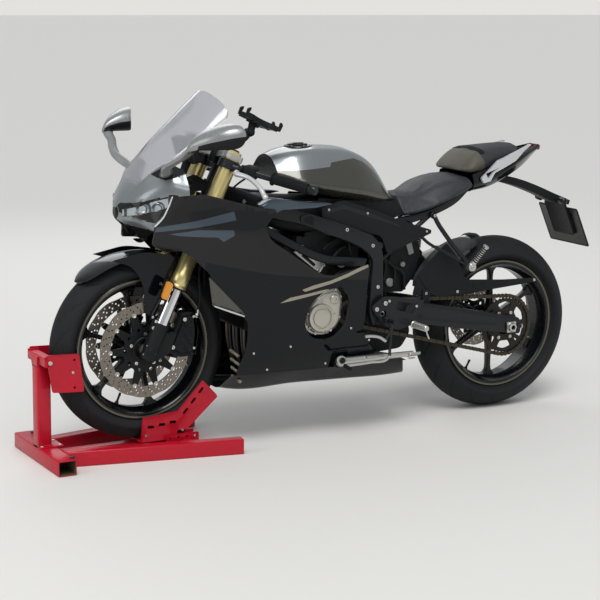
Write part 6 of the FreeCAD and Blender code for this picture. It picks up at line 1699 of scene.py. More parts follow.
def link_outline():
    """Side view of one chain plate, waisted between its pins."""
    half = CHAIN_PITCH / 2
    out = []
    for side in (1, -1):
        for a in np.linspace(-115, 115, 12):
            t = math.radians(a + (0 if side == 1 else 180))
            out.append((half * side + 6.9 * math.cos(t), 6.9 * math.sin(t)))
        out.append((0.0, 5.0 * side))
    return np.array(out)


def chain_tree():
    """Inner and outer links set by turns along a closed path."""
    tree, given = new_tree("Chain", Links=CHAIN_LINKS, Inner_Link="Object", Outer_Link="Object",
                           Finish="Material")
    curve = node(tree, "GeometryNodeMeshToCurve", {"Mesh": given["Geometry"]})
    evenly = node(tree, "GeometryNodeResampleCurve",
                  {"Curve": curve.outputs["Curve"], "Count": given["Links"]})
    heading = node(tree, "GeometryNodeInputTangent")
    turn = node(tree, "FunctionNodeAlignRotationToVector", {"Vector": heading.outputs["Tangent"]}, axis="X")
    upright = node(tree, "FunctionNodeAlignRotationToVector", {
        "Rotation": turn.outputs["Rotation"], "Vector": (0, 1, 0)}, axis="Y", pivot_axis="X")
    index = node(tree, "GeometryNodeInputIndex")
    odd = node(tree, "ShaderNodeMath", {0: index.outputs["Index"], 1: 2.0}, operation="MODULO")
    even = node(tree, "ShaderNodeMath", {0: 1.0, 1: odd.outputs["Value"]}, operation="SUBTRACT")
    joined = node(tree, "GeometryNodeJoinGeometry")
    for word, chosen in (("Inner Link", odd), ("Outer Link", even)):
        part = node(tree, "GeometryNodeObjectInfo", {"Object": given[word]})
        place = node(tree, "GeometryNodeInstanceOnPoints", {
            "Points": evenly.outputs["Curve"], "Selection": chosen.outputs["Value"],
            "Instance": part.outputs["Geometry"], "Rotation": upright.outputs["Rotation"]})
        tree.links.new(place.outputs["Instances"], joined.inputs["Geometry"])
    return end_tree(tree, joined.outputs["Geometry"], given["Finish"])


def drive_chain():
    """Drive chain, link by link round both sprockets."""
    half = CHAIN_PITCH / 2
    inner, outer = Shape(), Shape()
    for side in (1, -1):
        inner.plate(link_outline(), 3.2 * side, 4.9 * side)
        outer.plate(link_outline(), 5.0 * side, 6.7 * side)
        inner.spun([(-3.2, 2.6), (-3.2, 4.6), (3.2, 4.6), (3.2, 2.6)], (half * side, 0, 0), sides=12)
        outer.spun([(-7.6, 0.2), (-7.6, 2.4), (7.6, 2.4), (7.6, 0.2)], (half * side, 0, 0), sides=10)
    parts = [loose_part("inner_link", inner, "chain_steel"), loose_part("outer_link", outer, "chain_steel")]
    path = chain_path()
    mesh = bpy.data.meshes.new("drive_chain_dressed")
    mesh.from_pydata(in_metres([(x, CHAIN_Y, z) for x, z in path]),
                     [(k, (k + 1) % len(path)) for k in range(len(path))], [])
    chain = grown("drive_chain_dressed", mesh, "chain", Links=looks().chain_links, Inner_Link=parts[0],
                  Outer_Link=parts[1], Finish=FINISH["chain_steel"])
    for part in parts:
        bpy.data.objects.remove(part)
    settled(chain, "chassis", ["drive_chain"])


def rear_sprocket():
    """Rear sprocket with its windows, carrier and bolts."""
    gear = Shape()
    pitch = pitch_radius(REAR_TEETH)
    teeth = []
    for k in range(REAR_TEETH):
        for share, drop in ((0.10, 6.0), (0.24, 8.6), (0.38, 9.5), (0.62, 9.5), (0.76, 8.6), (0.90, 6.0)):
            a = (k + share) * 2 * math.pi / REAR_TEETH
            teeth.append(((pitch - drop) * math.cos(a), REAR_AXLE_Z + (pitch - drop) * math.sin(a)))
    holes = [circle(0, REAR_AXLE_Z, 34, 40)]
    for k in range(6):
        a = math.radians(60 * k + 30)
        spans = [(r, a + turn) for r, turn in ((59, -0.3), (83, -0.37), (86, 0.0), (83, 0.37), (59, 0.3),
                                               (57, 0.0))]
        holes.append(rounded([(r * math.cos(t), REAR_AXLE_Z + r * math.sin(t)) for r, t in spans], 7, 3))
        b = math.radians(60 * k)
        bolt("rear_wheel", (50 * math.cos(b), 98.6, REAR_AXLE_Z + 50 * math.sin(b)), (0, 1, 0), 6.5)
    gear.plate(np.array(teeth), CHAIN_Y - 2.2, CHAIN_Y + 2.2, holes)
    gear.spun([(60, 34), (60, 52), (90, 52), (93.8, 50)], REAR_AXLE, sides=40, mark=1)
    gear.spun([(98.2, 56), (98.6, 56), (98.6, 40), (98.2, 40)], REAR_AXLE, sides=40)
    piece("rear_sprocket_dressed", gear, "rear_wheel", "chain_steel", ["sprocket_steel", "carrier_black"],
          ["rear_sprocket"])


def hugger():
    """Chain guard: an arch over the tyre and a blade beside the chain."""
    shape, cz = Shape(), REAR_AXLE_Z
    rows = []
    for a, half in ((25.5, 70), (30, 84), (40, 87), (52, 87), (63, 84), (69, 74), (72, 60)):
        t = math.radians(a)
        shares = np.linspace(-1, 1, 15)
        face = [(323.6 - 5 * abs(s) ** 4, half * s) for s in shares] + [(320.4 - 5 * abs(s) ** 4, half * s)
            for s in shares[::-1]]
        rows.append([(r * math.cos(t), y, cz + r * math.sin(t)) for r, y in face])
    shape.skin(drawn_out(rows, 30))
    outline = rounded([(381, 521, 20), (300, 596, 20), (262, 628, 10), (224, 586, 20), (179, 492, 20),
                       (20, 480, 20), (-131, 476, 4), (-131, 462, 4), (57, 449, 20), (218, 436, 20),
                       (317, 446, 20), (400, 452, 10)], 14, 5)
    slot = rounded([(150, 474, 4), (10, 470, 4), (10, 465, 4), (140, 456, 4)], 4, 3)
    shape.join(Shape().sheet(outline, lambda x, z: 107 - 2.0 * np.clip((z - 520) / 110, 0, 1), 2.8,
                             spacing=16))
    shape.pipe([(376, 106.6, 516), (318, 106.6, 450), (218, 106.6, 440), (57, 106.6, 452),
                (-128, 106.6, 465)], 2.4, 8, 60)
    shape.plate(slot, 106.4, 108.2, mark=1)
    ledge = []
    for a in (36, 44, 52, 60):
        t = math.radians(a)
        ledge.append([((324.4 + u) * math.cos(t), y, cz + (324.4 + u) * math.sin(t))
                      for u, y in ((-3.6, 84), (0, 84), (0, 106), (-3.6, 106))])
    shape.skin(drawn_out(ledge, 12))
    shape.plate(rounded([(330, 470, 4), (330, 402, 4), (360, 406, 4), (360, 470, 4)], 4, 3), 104, 110.7)
    for x, z in ((345, 456), (214, 452), (-118, 469)):
        bolt("chassis", (x, 107.6, z), (0, 1, 0), 5.5)
    piece("hugger_dressed", shape, "chassis", "matte_black", ["plastic_black", "cast_black"],
          ["chain_guard"], bevel=0.6)


def rear_caliper():
    """Rear caliper and its bracket, on the right."""
    caliper = Shape()
    caliper.plate(rounded([(60, 380, 8), (120, 366, 8), (150, 404, 8), (126, 440, 10), (60, 430, 10)], 8,
                          4), -110.7, -100)
    caliper.plate(rounded([(64, 400, 8), (112, 386, 8), (126, 420, 8), (100, 436, 8), (66, 428, 8)], 8, 4),
                  -86, -80)
    caliper.plate(oblong(70, 112, 420, 436, 4, 3), -104, -82)
    caliper.plate(rounded([(76, 396), (108, 390), (112, 414), (80, 418)], 6, 3), -99.9, -96)
    for x, z in ((74, 420), (134, 404)):
        bolt("chassis", (x, -110.9, z), (0, -1, 0), 5)
    piece("rear_caliper_dressed", caliper, "chassis", "caliper_alloy", ["cast_black"], ["rear_caliper"],
          bevel=1.4)


# Footrests, stand and plate

def rider_footrests():
    """Rider's plates, pegs and pedals."""
    rider = Shape()
    outline = rounded([(563, 473, 10), (520, 470, 10), (396, 448, 10), (444, 366, 16), (500, 352, 16),
                       (560, 372, 16), (612, 440, 14)], 10, 4)
    holes = [circle(560, 412, 13, 24),
             rounded([(506, 452, 6), (424, 438, 8), (446, 404, 8), (512, 424, 8)], 6, 3)]
    rider.plate(outline, 174, 180, holes)
    rider.spun([(0, 13), (4, 13), (6, 10.5), (82, 10), (84, 8), (84, 0.4)], (438, 178, 366), sides=24,
               mark=1)
    for k in range(11):
        rider.spun([(12 + 6 * k, 9.8), (12.6 + 6 * k, 11.2), (15 + 6 * k, 11.2), (15.6 + 6 * k, 9.8)],
                   (438, 178, 366), sides=20, mark=1)
    rider.pipe([(438, 256, 360), (432, 258, 342), (426, 258, 330)], 2.8, 8, mark=1)
    for x, z, y0 in ((556, 450, 161.3), (590, 432, 163.6)):
        rider.pipe([(x, y0, z), (x, 177, z)], 9, 16)
    rider.pipe([(548, 178, 392), (548, 234, 392)], 7, 14)
    rider.spun([(0, 12), (10, 12), (12, 9), (12, 4)], (548, 181, 392), sides=20)
    rider.pipe([(548, 206, 390), (548, 206, 350), (552, 210, 312), (560, 222, 276)], [7, 6, 5.4, 5], 12, 20)
    rider.pipe([(560, 222, 276), (572, 227, 268), (640, 228, 263), (738, 229, 261)], [4.6, 4.6, 4.6, 5.5],
               12, 20, mark=1)
    rider.spun([(0, 6), (3, 6.6), (36, 6.6), (39, 5), (39, 0.3)], (738, 226, 261), (0, 1, -0.1), sides=18,
               mark=2)
    rider.pipe([(572, 214, 327), (596, 214, 342), (628, 214, 349), (654, 214, 350)], 5.5, 14, 20, mark=1)
    rider.pipe([(548, 206, 388), (556, 212, 352), (572, 214, 330)], 4, 10, 12)
    rider.twin()
    for x, z in ((520, 380), (430, 430), (540, 456)):
        bolts_both("chassis", (x, 180.4, z), (0, 1, 0), 5)
    for x, z in ((556, 450), (590, 432)):
        bolts_both("chassis", (x, 180.6, z), (0, 1, 0), 8)
    piece("rider_footrests_dressed", rider, "chassis", "light_trim",
          ["frame_black", "alloy_silver", "grip_rubber"], ["rider_footrests"])


def pillion_footrests():
    """Pillion's folded pegs on their arms."""
    pillion = Shape()
    pillion.pipe([(330, 120.4, 735), (316, 125, 705), (290, 138, 662), (206, 170, 552)], 8, 16, 24)
    pillion.pipe([(425, 117.8, 712), (392, 118, 676), (356, 121, 640), (290, 142, 600), (208, 170, 550)],
                 5.5, 14, 30)
    pillion.spun([(0, 14), (3, 15), (27, 15), (30, 13), (30, 0.4)], (205, 158, 549), sides=24, mark=1)
    a, b = np.array((204.0, 172, 548)), np.array((168.0, 214, 626))
    line = unit(b - a)
    pillion.spun([(8, 9), (16, 10), (20, 9), (88, 9), (92, 11), (95, 10), (95, 0.4)], a, line, sides=20,
                 mark=1)
    for k in range(8):
        pillion.spun([(24 + 8 * k, 8.8), (25 + 8 * k, 10), (28 + 8 * k, 10), (29 + 8 * k, 8.8)], a, line,
                     sides=18, mark=2)
    pillion.spun([(-2, 12), (2, 12), (4, 10), (4, 0.4)], (330, 120.4, 730), sides=18)
    pillion.twin()
    bolts_both("chassis", (205, 188.5, 549), (0, 1, 0), 6)
    bolts_both("chassis", (330, 128, 730), (0, 1, 0), 6)
    piece("pillion_footrests_dressed", pillion, "chassis", "black_frame",
          ["frame_black", "alloy_silver", "grip_rubber"], ["pillion_footrests"])


def stand():
    """Folded side stand: forked knuckle, tapered leg, foot plate and return spring."""
    splay = math.radians(24.5)
    pivot, axis = np.array((730.0, 188, 268)), np.array((0, -math.cos(splay), -math.sin(splay)))
    down = np.array((0, math.sin(splay), -math.cos(splay)))
    back = np.array((-1.0, 0, 0))
    shape = Shape()
    shape.spun([(-8, 6.4), (-8, 16), (-6, 18), (6, 18), (8, 16), (8, 6.4)], pivot, axis, sides=36,
               loop=True)
    shape.pipe([pivot + back * 13, pivot + back * 24, pivot + back * 60, pivot + back * 270,
                pivot + back * 284], [13, 11.6, 11, 9.2, 9], 22)
    lay = lambda u, v, w: tuple(pivot + back * (285 + u) + axis * v + down * w)
    shape.plate(oblong(-23, 23, -17, 17, 6), 0.5, 7.5, lay=lay)
    shape.pipe([pivot + back * 262 + down * 2, pivot + back * 268 + down * 14 + axis * 4,
                pivot + back * 290 + down * 16 + axis * 2], 3.2, 10, 12)
    shape.spun([(0, 4), (9, 4), (11, 6), (13, 4)], pivot + back * 90, -axis, sides=14)
    piece("side_stand_dressed", shape, "side_stand", "bare_steel", ["alloy_silver"], ["side_stand"],
          angle=36)


PLATE_LEAN = math.radians(24)
PLATE_DOWN = np.array((-math.sin(PLATE_LEAN), 0, -math.cos(PLATE_LEAN)))
PLATE_IN = np.array((math.cos(PLATE_LEAN), 0, -math.sin(PLATE_LEAN)))
PLATE_TOP = np.array((-292.0, 0, 716))


def plate_lay(u, v, w):
    """Point from distances across and down the number plate, and in front of it."""
    return tuple(PLATE_TOP + PLATE_DOWN * v + PLATE_IN * w + np.array((0, u, 0)))


def plate_hanger():
    """Plate arm with the small rear lamps."""
    arm = Shape()
    side = [(20, 828), (-84, 802), (-188, 764), (-232, 744), (-290, 726), (-322, 722)]
    top = [(16, 852), (-84, 830), (-188, 794), (-256, 766), (-296, 750), (-324, 738)]
    rows = []
    for (x0, z0), (x1, z1), half in zip(side, top, (34, 34, 33, 32, 34, 34)):
        rows.append([(x0 + (x1 - x0) * v, y, z0 + (z1 - z0) * v) for y, v in
                     rounded([(half - 4, 0), (half, 1), (-half, 1), (-half + 4, 0)], 0.2, 1)])
    arm.skin(drawn_out(rows, 26))
    arm.plate(rounded([(-60, -20, 8), (60, -20, 8), (60, 110, 10), (-60, 110, 10)], 8, 4), 0.4, 9,
              lay=plate_lay)
    arm.plate(rounded([(-30, -16), (30, -16), (26, 2), (-26, 2)], 4, 3), -14, 0.2, lay=plate_lay)
    for y in (60, -60):
        arm.spun([(0, 4), (26, 4), (28, 6), (30, 6)], (-262, 0.5 * y, 744), (0, math.copysign(1, y), 0),
                 sides=12)
        arm.spun([(28, 12), (32, 14), (52, 12), (58, 6), (58, 0.4)], (-262, 0.5 * y, 744),
                 (0, math.copysign(1, y), 0), sides=18, mark=1)
    arm.plate(rounded([(-24, -14), (24, -14), (20, -4), (-20, -4)], 3, 3), -19, -14, lay=plate_lay, mark=2)
    piece("plate_hanger_dressed", arm, "chassis", "matte_black",
          ["plastic_black", "cap_metal", "lamp_white"], ["plate_hanger"], bevel=1.2)


def number_plate():
    """Blank number plate in its frame."""
    plate = Shape()
    face = oblong(-115, 115, 0, 155, 8)
    window = oblong(-109, 109, 6, 149, 6)
    plate.plate(face, -1.2, -0.4, lay=plate_lay)
    plate.plate(face, -3.2, -0.3, [window], lay=plate_lay, mark=1)
    piece("number_plate_dressed", plate, "chassis", "plate_black", ["plate_black", "plastic_black"],
          ["number_plate"], bevel=0.4)
    for u in (-70, 70):
        for v in (30, 125):
            spot = PLATE_TOP + PLATE_DOWN * v - PLATE_IN * 1.6 + np.array((0, u, 0))
            bolt("chassis", spot, -PLATE_IN, 4)


def tail_lamp():
    """Rear lamp with a row of light points."""
    lamp = Shape()
    rows = [[(x, y, z) for y, z in rounded([(h, 939 - v), (h, 939 + v), (-h, 939 + v), (-h, 939 - v)], 6,
                                           4)] for x, h, v in ((-176.4, 30, 10), (-180, 30, 9.5),
            (-183, 28, 8), (-184, 24, 5))]
    lamp.skin(rows)
    for k in range(9):
        lamp.spun([(0, 2.6), (2, 2.2), (2.6, 0.3)], (-183.4, -24 + 6 * k, 939), (-1, 0, 0), sides=10,
                  mark=1)
    piece("tail_lamp_dressed", lamp, "chassis", "red_lens", ["red_lens", "lamp_silver"], ["tail_lamp"])


# Controls and cockpit

BAR_ROOT = fork_point(650, -6, 126)
BAR_TIP = np.array((950.0, 348, 876))
BAR_LINE = unit(BAR_TIP - BAR_ROOT)


def across_fork(t, y, s):
    """Point from distances ahead of the fork, across it and along it."""
    return tuple(fork_point(s, t, y))


def handlebars():
    """Bars clamped to the fork tubes, with switches and their cables."""
    line, bars = BAR_LINE, Shape()
    clamp = fork_point(638, 0, FORK_HALF)
    bars.spun([(0, 27.4), (0, 34), (2, 36), (28, 36), (30, 34), (30, 27.4)], clamp, FORK_UP, sides=40,
              loop=True)
    bars.plate(rounded([(-56, 88, 4), (-30, 84, 4), (-30, 116, 4), (-56, 112, 4)], 4, 3), 641, 665,
               lay=across_fork)
    length = float(np.linalg.norm(BAR_TIP - BAR_ROOT))
    bars.spun([(-8, 0.5), (-8, 14), (4, 14), (10, 11), (length, 11), (length, 7.2), (length - 46, 7)],
              BAR_ROOT, line, sides=28)
    across = unit(np.cross(line, (0, 0, 1)))
    lift = np.cross(across, line)
    rows = []
    for at, w, h in ((42, 14, 16), (46, 19, 20), (64, 20, 22), (82, 19, 20), (87, 14, 15)):
        rows.append([BAR_ROOT + line * at + across * a + lift * b for a, b in oblong(w, -w, h, -h, 8)])
    bars.skin(drawn_out(rows, 14), mark=1)
    for at, up_by, size, mark in ((56, 16, 5, 2), (72, 14, 6, 2), (64, -2, 6.5, 3)):
        spot = BAR_ROOT + line * at - across * 18 + lift * (up_by - 8)
        bars.spun([(0, size), (5, size), (6.5, size - 2), (6.5, 0.3)], spot, -across, sides=14, mark=mark)
    bars.pipe([BAR_ROOT + line * 56 - lift * 18, BAR_ROOT + line * 30 - lift * 44, fork_point(560, -40, 92),
               fork_point(470, -70, 60)], 3.2, 8, 24, mark=4)
    bars.twin()
    piece("handlebars_dressed", bars, "steering", "matte_black",
          ["frame_black", "plastic_black", "cap_metal", "amber_lens", "hose_rubber"], ["handlebars"],
          angle=36)
    bolts_both("steering", fork_point(648, -57, FORK_HALF), FORK_BACK, 4)


def grips():
    """Ribbed rubber grips and the bars' end weights."""
    line, rubber = BAR_LINE, Shape()
    start = BAR_TIP - line * 132
    profile = [(0, 11.6), (0, 21), (1.5, 22), (4, 22), (5.5, 20), (6, 17)]
    for k in range(19):
        profile += [(9 + 6 * k, 17), (9.8 + 6 * k, 16), (12.6 + 6 * k, 16), (13.4 + 6 * k, 17)]
    profile += [(124, 17), (127, 16), (128, 14), (128, 11.6)]
    rubber.spun(profile, start, line, sides=36, loop=True)
    rubber.spun([(0.4, 8), (0.4, 14), (2, 16), (7, 16), (8, 15), (10, 15), (11, 16), (21, 16), (26, 13),
                 (26, 0.4)], BAR_TIP, line, sides=28, mark=1)
    rubber.twin()
    piece("grips_dressed", rubber, "steering", "grip_rubber", ["grip_rubber", "cap_metal"], ["grips"],
          angle=40)


def hand_levers():
    """Clutch and brake levers, and the brake's reservoir on the right."""
    line, levers = BAR_LINE, Shape()
    base = BAR_ROOT + line * 30
    blade = [base + line * at + np.array(off, float) for at, off in ((5, (17, 2, -2)), (14, (36, 6, -6)),
            (36, (43, 5, -5)), (60, (46, 4, -4)), (110, (60, 8, -12)), (140, (72, 12, -24)),
            (160, (82, 15, -37)), (166, (84.5, 16, -40.5)), (170, (86, 16.4, -42.5)),
            (171.5, (86.6, 16.6, -43.4)))]
    levers.spun([(0, 11.3), (0, 15.5), (1.5, 17), (9.5, 17), (11, 15.5), (11, 11.3)], base, line, sides=30,
                loop=True, mark=1)
    levers.pipe(blade, [10, 10, 9, 8.4, 8, 8, 8.6, 9.4, 7, 1], 14, 60, flat=0.9)
    levers.pipe([base + line * 5 + np.array((10, 0, 0)), base + line * 9 + np.array((28, 4, -3))], [12, 9],
                14, mark=1)
    levers.twin()
    cup = fork_point(706, 34, -168)
    levers.spun([(-20, 0.4), (-20, 13), (-18, 15), (8, 17), (10, 19), (18, 19), (20, 17), (20, 0.4)], cup,
                (0, 0, 1), sides=28, mark=2)
    levers.pipe([cup + np.array((-6, 12, -12)), fork_point(672, 16, -150),
                 (BAR_ROOT + line * 34) * (1, -1, 1)], [5, 5, 6], 10, 14, mark=1)
    levers.pipe([cup + np.array((0, 8, -18)), fork_point(640, 30, -148), fork_point(600, 4, -130)], 4, 10,
                16, mark=1)
    piece("hand_levers_dressed", levers, "steering", "lever_alloy",
          ["trim_light", "cast_black", "plastic_black"], ["hand_levers"], angle=40)


def yokes():
    """Both yokes with the steering stem and its nut."""
    shape = Shape()
    half = [(-62, 36, 14), (-36, 66, 20), (-33, 128, 20), (33, 128, 20), (30, 76, 20), (14, 40, 20)]
    outline = rounded(half + [(t, -y, cut) for t, y, cut in reversed(half)], 14, 4)
    round_holes = [circle(0, FORK_HALF * side, 27.6, 36) for side in (1, -1)]
    pockets = [rounded([(-46, 30, 8), (-26, 56, 8), (-12, 52, 8), (-12, 26, 8)], 6, 3),
               rounded([(-46, -30, 8), (-12, -26, 8), (-12, -52, 8), (-26, -56, 8)], 6, 3)]
    shape.plate(outline, 470, 500, round_holes, mark=1, lay=across_fork)
    shape.plate(outline, 672, 690, round_holes + pockets, mark=0, lay=across_fork)
    shape.spun([(460, 6), (460, 15), (712, 15), (712, 9), (705, 8), (705, 0.4)], STEM_FOOT, FORK_UP,
               sides=32, mark=2)
    shape.spun([(690.2, 15.4), (690.2, 23), (699, 23), (701, 21), (701, 15.4)], STEM_FOOT, FORK_UP, sides=6,
               mark=2)
    shape.spun([(650, 0.5), (650, 15), (690, 15), (694, 13), (694, 4), (691, 3), (691, 0.3)],
               fork_point(0, 12), FORK_UP, sides=28, mark=1)
    piece("yokes_dressed", shape, "steering", "yoke_alloy", ["alloy_silver", "cast_black", "bolt_steel"],
          ["yokes"], bevel=1.6)
    for side in (1, -1):
        for s in (681, 477, 493):
            bolt("steering", fork_point(s, -34, FORK_HALF * side), FORK_BACK, 4.6)


def brake_hoses():
    """Front brake hoses from the calipers to the lower yoke."""
    hoses = Shape()
    run = [fork_point(168, -118, 76), fork_point(220, -96, 92), fork_point(300, -56, 92),
           fork_point(400, -44, 84), fork_point(468, -40, 60)]
    hoses.pipe(run, 4, 12, 50)
    hoses.spun([(-7, 5), (-5, 8), (5, 8), (7, 5)], run[0], (0, 1, 0), sides=20, mark=1)
    hoses.pipe([run[0], run[0] + unit(run[1] - run[0]) * 22], [5.4, 4.6], 12, mark=1)
    hoses.twin()
    piece("brake_hoses_dressed", hoses, "steering", "hose_rubber", ["hose_rubber", "bolt_steel"],
          ["brake_hoses"])


def front_axle():
    """Hollow front axle with its spacers."""
    axle = Shape()
    axle.spun([(-124, 8.2), (-124, 12.3), (124, 12.3), (124, 8.2)], FRONT_AXLE, sides=32)
    for side in (1, -1):
        axle.spun([(50.4, 13), (50.4, 18), (73, 18), (73, 13)], FRONT_AXLE, (0, side, 0), sides=28)
    piece("front_axle_dressed", axle, "steering", "bare_steel", ["alloy_silver"], ["front_axle"])


def mirrors():
    """Both mirrors: arm, shell in two colours, and glass."""
    shape = Shape()
    arm = [(1341, 118, 917), (1352, 150, 924), (1372, 200, 948), (1365, 250, 970), (1352, 292, 992),
           (1350, 326, 1012), (1340, 350, 1026)]
    shape.pipe(arm, [22, 20, 17, 15, 15, 17, 18], 18, 40, flat=0.6)
    stations = ((1366, 340, 1018, 6, 6), (1354, 350, 1026, 18, 14), (1334, 364, 1036, 34, 22),
                (1308, 375, 1044, 48, 30), (1282, 380, 1050, 56, 36), (1258, 382, 1053, 60, 39),
                (1246, 382, 1054, 60, 39), (1243, 382, 1054, 57, 37), (1246, 382, 1054, 54, 34.6),
                (1250, 382, 1054, 52.5, 33.4))
    rows = []
    for x, y, z, w, h in stations:
        ring = []
        for k in range(48):
            a = 2 * math.pi * k / 48
            c, s = math.cos(a), math.sin(a)
            off = w * math.copysign(abs(c) ** 0.8, c)
            ring.append((x - 0.4 * off, y + off, z + 0.08 * off + h * math.copysign(abs(s) ** 0.8, s)))
        rows.append(ring)
    shape.skin(drawn_out(rows[:8], 30))
    shape.skin(rows[7:])
    marks, (knots, across, high) = [], list(zip(*stations[6::-1]))[:3]
    for f, mark, mid in zip(shape.faces, shape.marks, shape.middles()):
        if mid[1] > 318 and mid[2] > 1004:
            off = mid[1] - 380
            for _again in range(4):
                flat = mid[0] + 0.4 * off
                off = mid[1] - float(np.interp(flat, knots, across))
            middle = float(np.interp(flat, knots, high)) + 0.08 * off
            mark = 1 if len(f) > 6 and flat < 1270 else (0 if mid[2] > middle or flat > 1352 else 2)
        marks.append(mark)
    shape.marks = marks
    shape.spun([(0, 18), (5, 17), (7, 14)], (1343, 112, 915), (0.25, 0.9, 0.35), sides=24, mark=2)
    shape.twin()
    piece("mirrors_dressed", shape, "chassis", "mirror_shell",
          ["mirror_grey", "mirror_glass", "plastic_black"], ["mirrors"], angle=44)


def instruments():
    """Instrument case with its dark screen."""
    shape = Shape()
    down = unit(np.array((1194, 940)) - np.array((1216, 1024)))
    out = np.array((down[1], -down[0]))
    lay = lambda u, v, w: (1216 + down[0] * v + out[0] * w, u, 1024 + down[1] * v + out[1] * w)
    case = rounded([(-78, 2, 12), (78, 2, 12), (70, 85, 14), (-70, 85, 14)], 12, 5)
    glass = rounded([(-68, 10, 8), (68, 10, 8), (61, 77, 10), (-61, 77, 10)], 8, 4)
    shape.plate(case, 0, -19, lay=lay)
    shape.plate(case, 0, 1.8, [glass], lay=lay)
    shape.plate(glass, 0.2, 0.9, lay=lay, mark=1)
    shape.plate(rounded([(1202, 936), (1224, 890.9), (1240, 886.5), (1218, 944)], 4, 3), -14, 14)
    piece("instruments_dressed", shape, "chassis", "matte_black", ["plastic_black", "screen_glass"],
          ["instrument_panel"], bevel=1.2)


def fairing_stay():
    """Bracket that carries the nose."""
    stay = Shape()
    stay.plate(rounded([(1140, 872, 4), (1150, 846, 4), (1240, 838, 20), (1372, 770, 10), (1384, 800, 10),
                        (1262, 880, 20), (1190, 900, 6)], 8, 4), -12, 12,
               [circle(1210, 868, 9, 16), circle(1250, 852, 9, 16), circle(1290, 830, 8, 16)])
    stay.pipe([(1325, -164, 808), (1325, 164, 808)], 7, 16)
    piece("fairing_stay_dressed", stay, "chassis", "black_frame", ["frame_black"], ["fairing_stay"],
          bevel=1.5)


def phone_holder():
    """Phone holder on the steering stem: ball joint, arm and clamp plate."""
    up = FORK_UP
    base = fork_point(702.5, -30)
    knee, head = np.array((990.0, 20, 1030)), np.array((978.0, 20, 1072))
    shape = Shape()
    shape.spun([(0, 8), (0, 16), (3, 17), (12, 17), (14, 14), (14, 8)], base, up, sides=28)
    shape.pipe([base + up * 10, base + up * 24 + np.array((-4, 2, 4)), knee + np.array((20, -6, -24)),
                knee], [9, 8, 8, 9], 16, 20)
    shape.spun([(-15, 0.4), (-13, 8), (-8, 12.8), (0, 15), (8, 12.8), (13, 8), (15, 0.4)], knee, (0, 1, 0),
               sides=28)
    shape.spun([(12, 11), (16, 13), (26, 13), (28, 10), (28, 0.4)], knee, (0, -1, 0), sides=12, mark=1)
    shape.pipe([knee, head], [12, 14], 16)
    along, lift = unit(np.array((134.0, 0, 64))), unit(np.array((-64.0, 0, 134)))
    lay = lambda u, v, w: tuple(np.array((906.0, 0, 1032)) + along * u * 0.84 + np.array((0, v, 0)) + lift
                                * w)
    arms = rounded([(0, -12, 4), (26, -12, 6), (60, 6, 10), (92, 6, 10), (120, -12, 6), (148, -12, 4),
                    (148, -2, 4), (116, 16, 8), (116, 26, 8), (148, 42, 4), (148, 52, 4), (120, 52, 6),
                    (92, 36, 10), (60, 36, 10), (26, 52, 6), (0, 52, 4), (0, 42, 4), (34, 26, 8),
                    (34, 16, 8), (0, -2, 4)], 5, 3)
    shape.plate(arms, -2, 15, [circle(76, 21, 7, 14)], lay=lay)
    shape.plate(oblong(40, 114, -6, 48, 6, 3), -7, 1, lay=lay)
    for v in (-12, 42):
        for u, tilt in ((140, 1), (2, -1)):
            shape.plate(rounded([(u - 2 * tilt, 2, 2), (u + 14 * tilt, 2, 4), (u + 16 * tilt, 26, 4),
                                 (u + 4 * tilt, 34, 4), (u + 2 * tilt, 24, 3), (u + 6 * tilt, 12, 3)], 2,
                                3), v + 1, v + 9, lay=lambda u, w, v: lay(u, v, w))
    shape.spun([(0, 9), (10, 9), (12, 7), (12, 0.4)], lay(76, 21, -4), -lift, sides=12, mark=1)
    piece("phone_holder_dressed", shape, "steering", "matte_black", ["plastic_black", "cap_metal"],
          ["phone_holder"], bevel=0.8)


# The wheel chock

def square_tube(shape, start, end, across, lift, wide, high, wall=2.5):
    """Open square tube with rounded corners between two points; its inside has its own finish."""
    start, end, across, lift = (np.asarray(v, float) for v in (start, end, across, lift))

    def ring(at, w, low, h, cut):
        """The tube's outline at a place, w to each side and h high from low."""
        return [at + across * a + lift * (b + low)
                for a, b in rounded([(w, 0), (w, h), (-w, h), (-w, 0)], cut, 3)]

    outer = [ring(p, wide / 2, 0, high, 5) for p in (start, end)]
    hollow = [ring(p, wide / 2 - wall, wall, high - 2 * wall, 2.5) for p in (start, end)]
    shape.skin([hollow[0], outer[0], outer[1], hollow[1]], caps=(False, False))
    shape.skin([hollow[0], hollow[1]], mark=1, caps=(False, False))


def weld(shape, points, size=3.2):
    """Bead along a joint, its width rippling."""
    pts = np.asarray(points, float)
    t = length_along(pts)
    at = np.linspace(0, t[-1], max(6, int(t[-1] / 3.0)))
    run = np.stack([np.interp(at, t, pts[:, k]) for k in range(3)], axis=1)
    shape.pipe(run, [size + 0.5 * (-1) ** k for k in range(len(run))], 8)


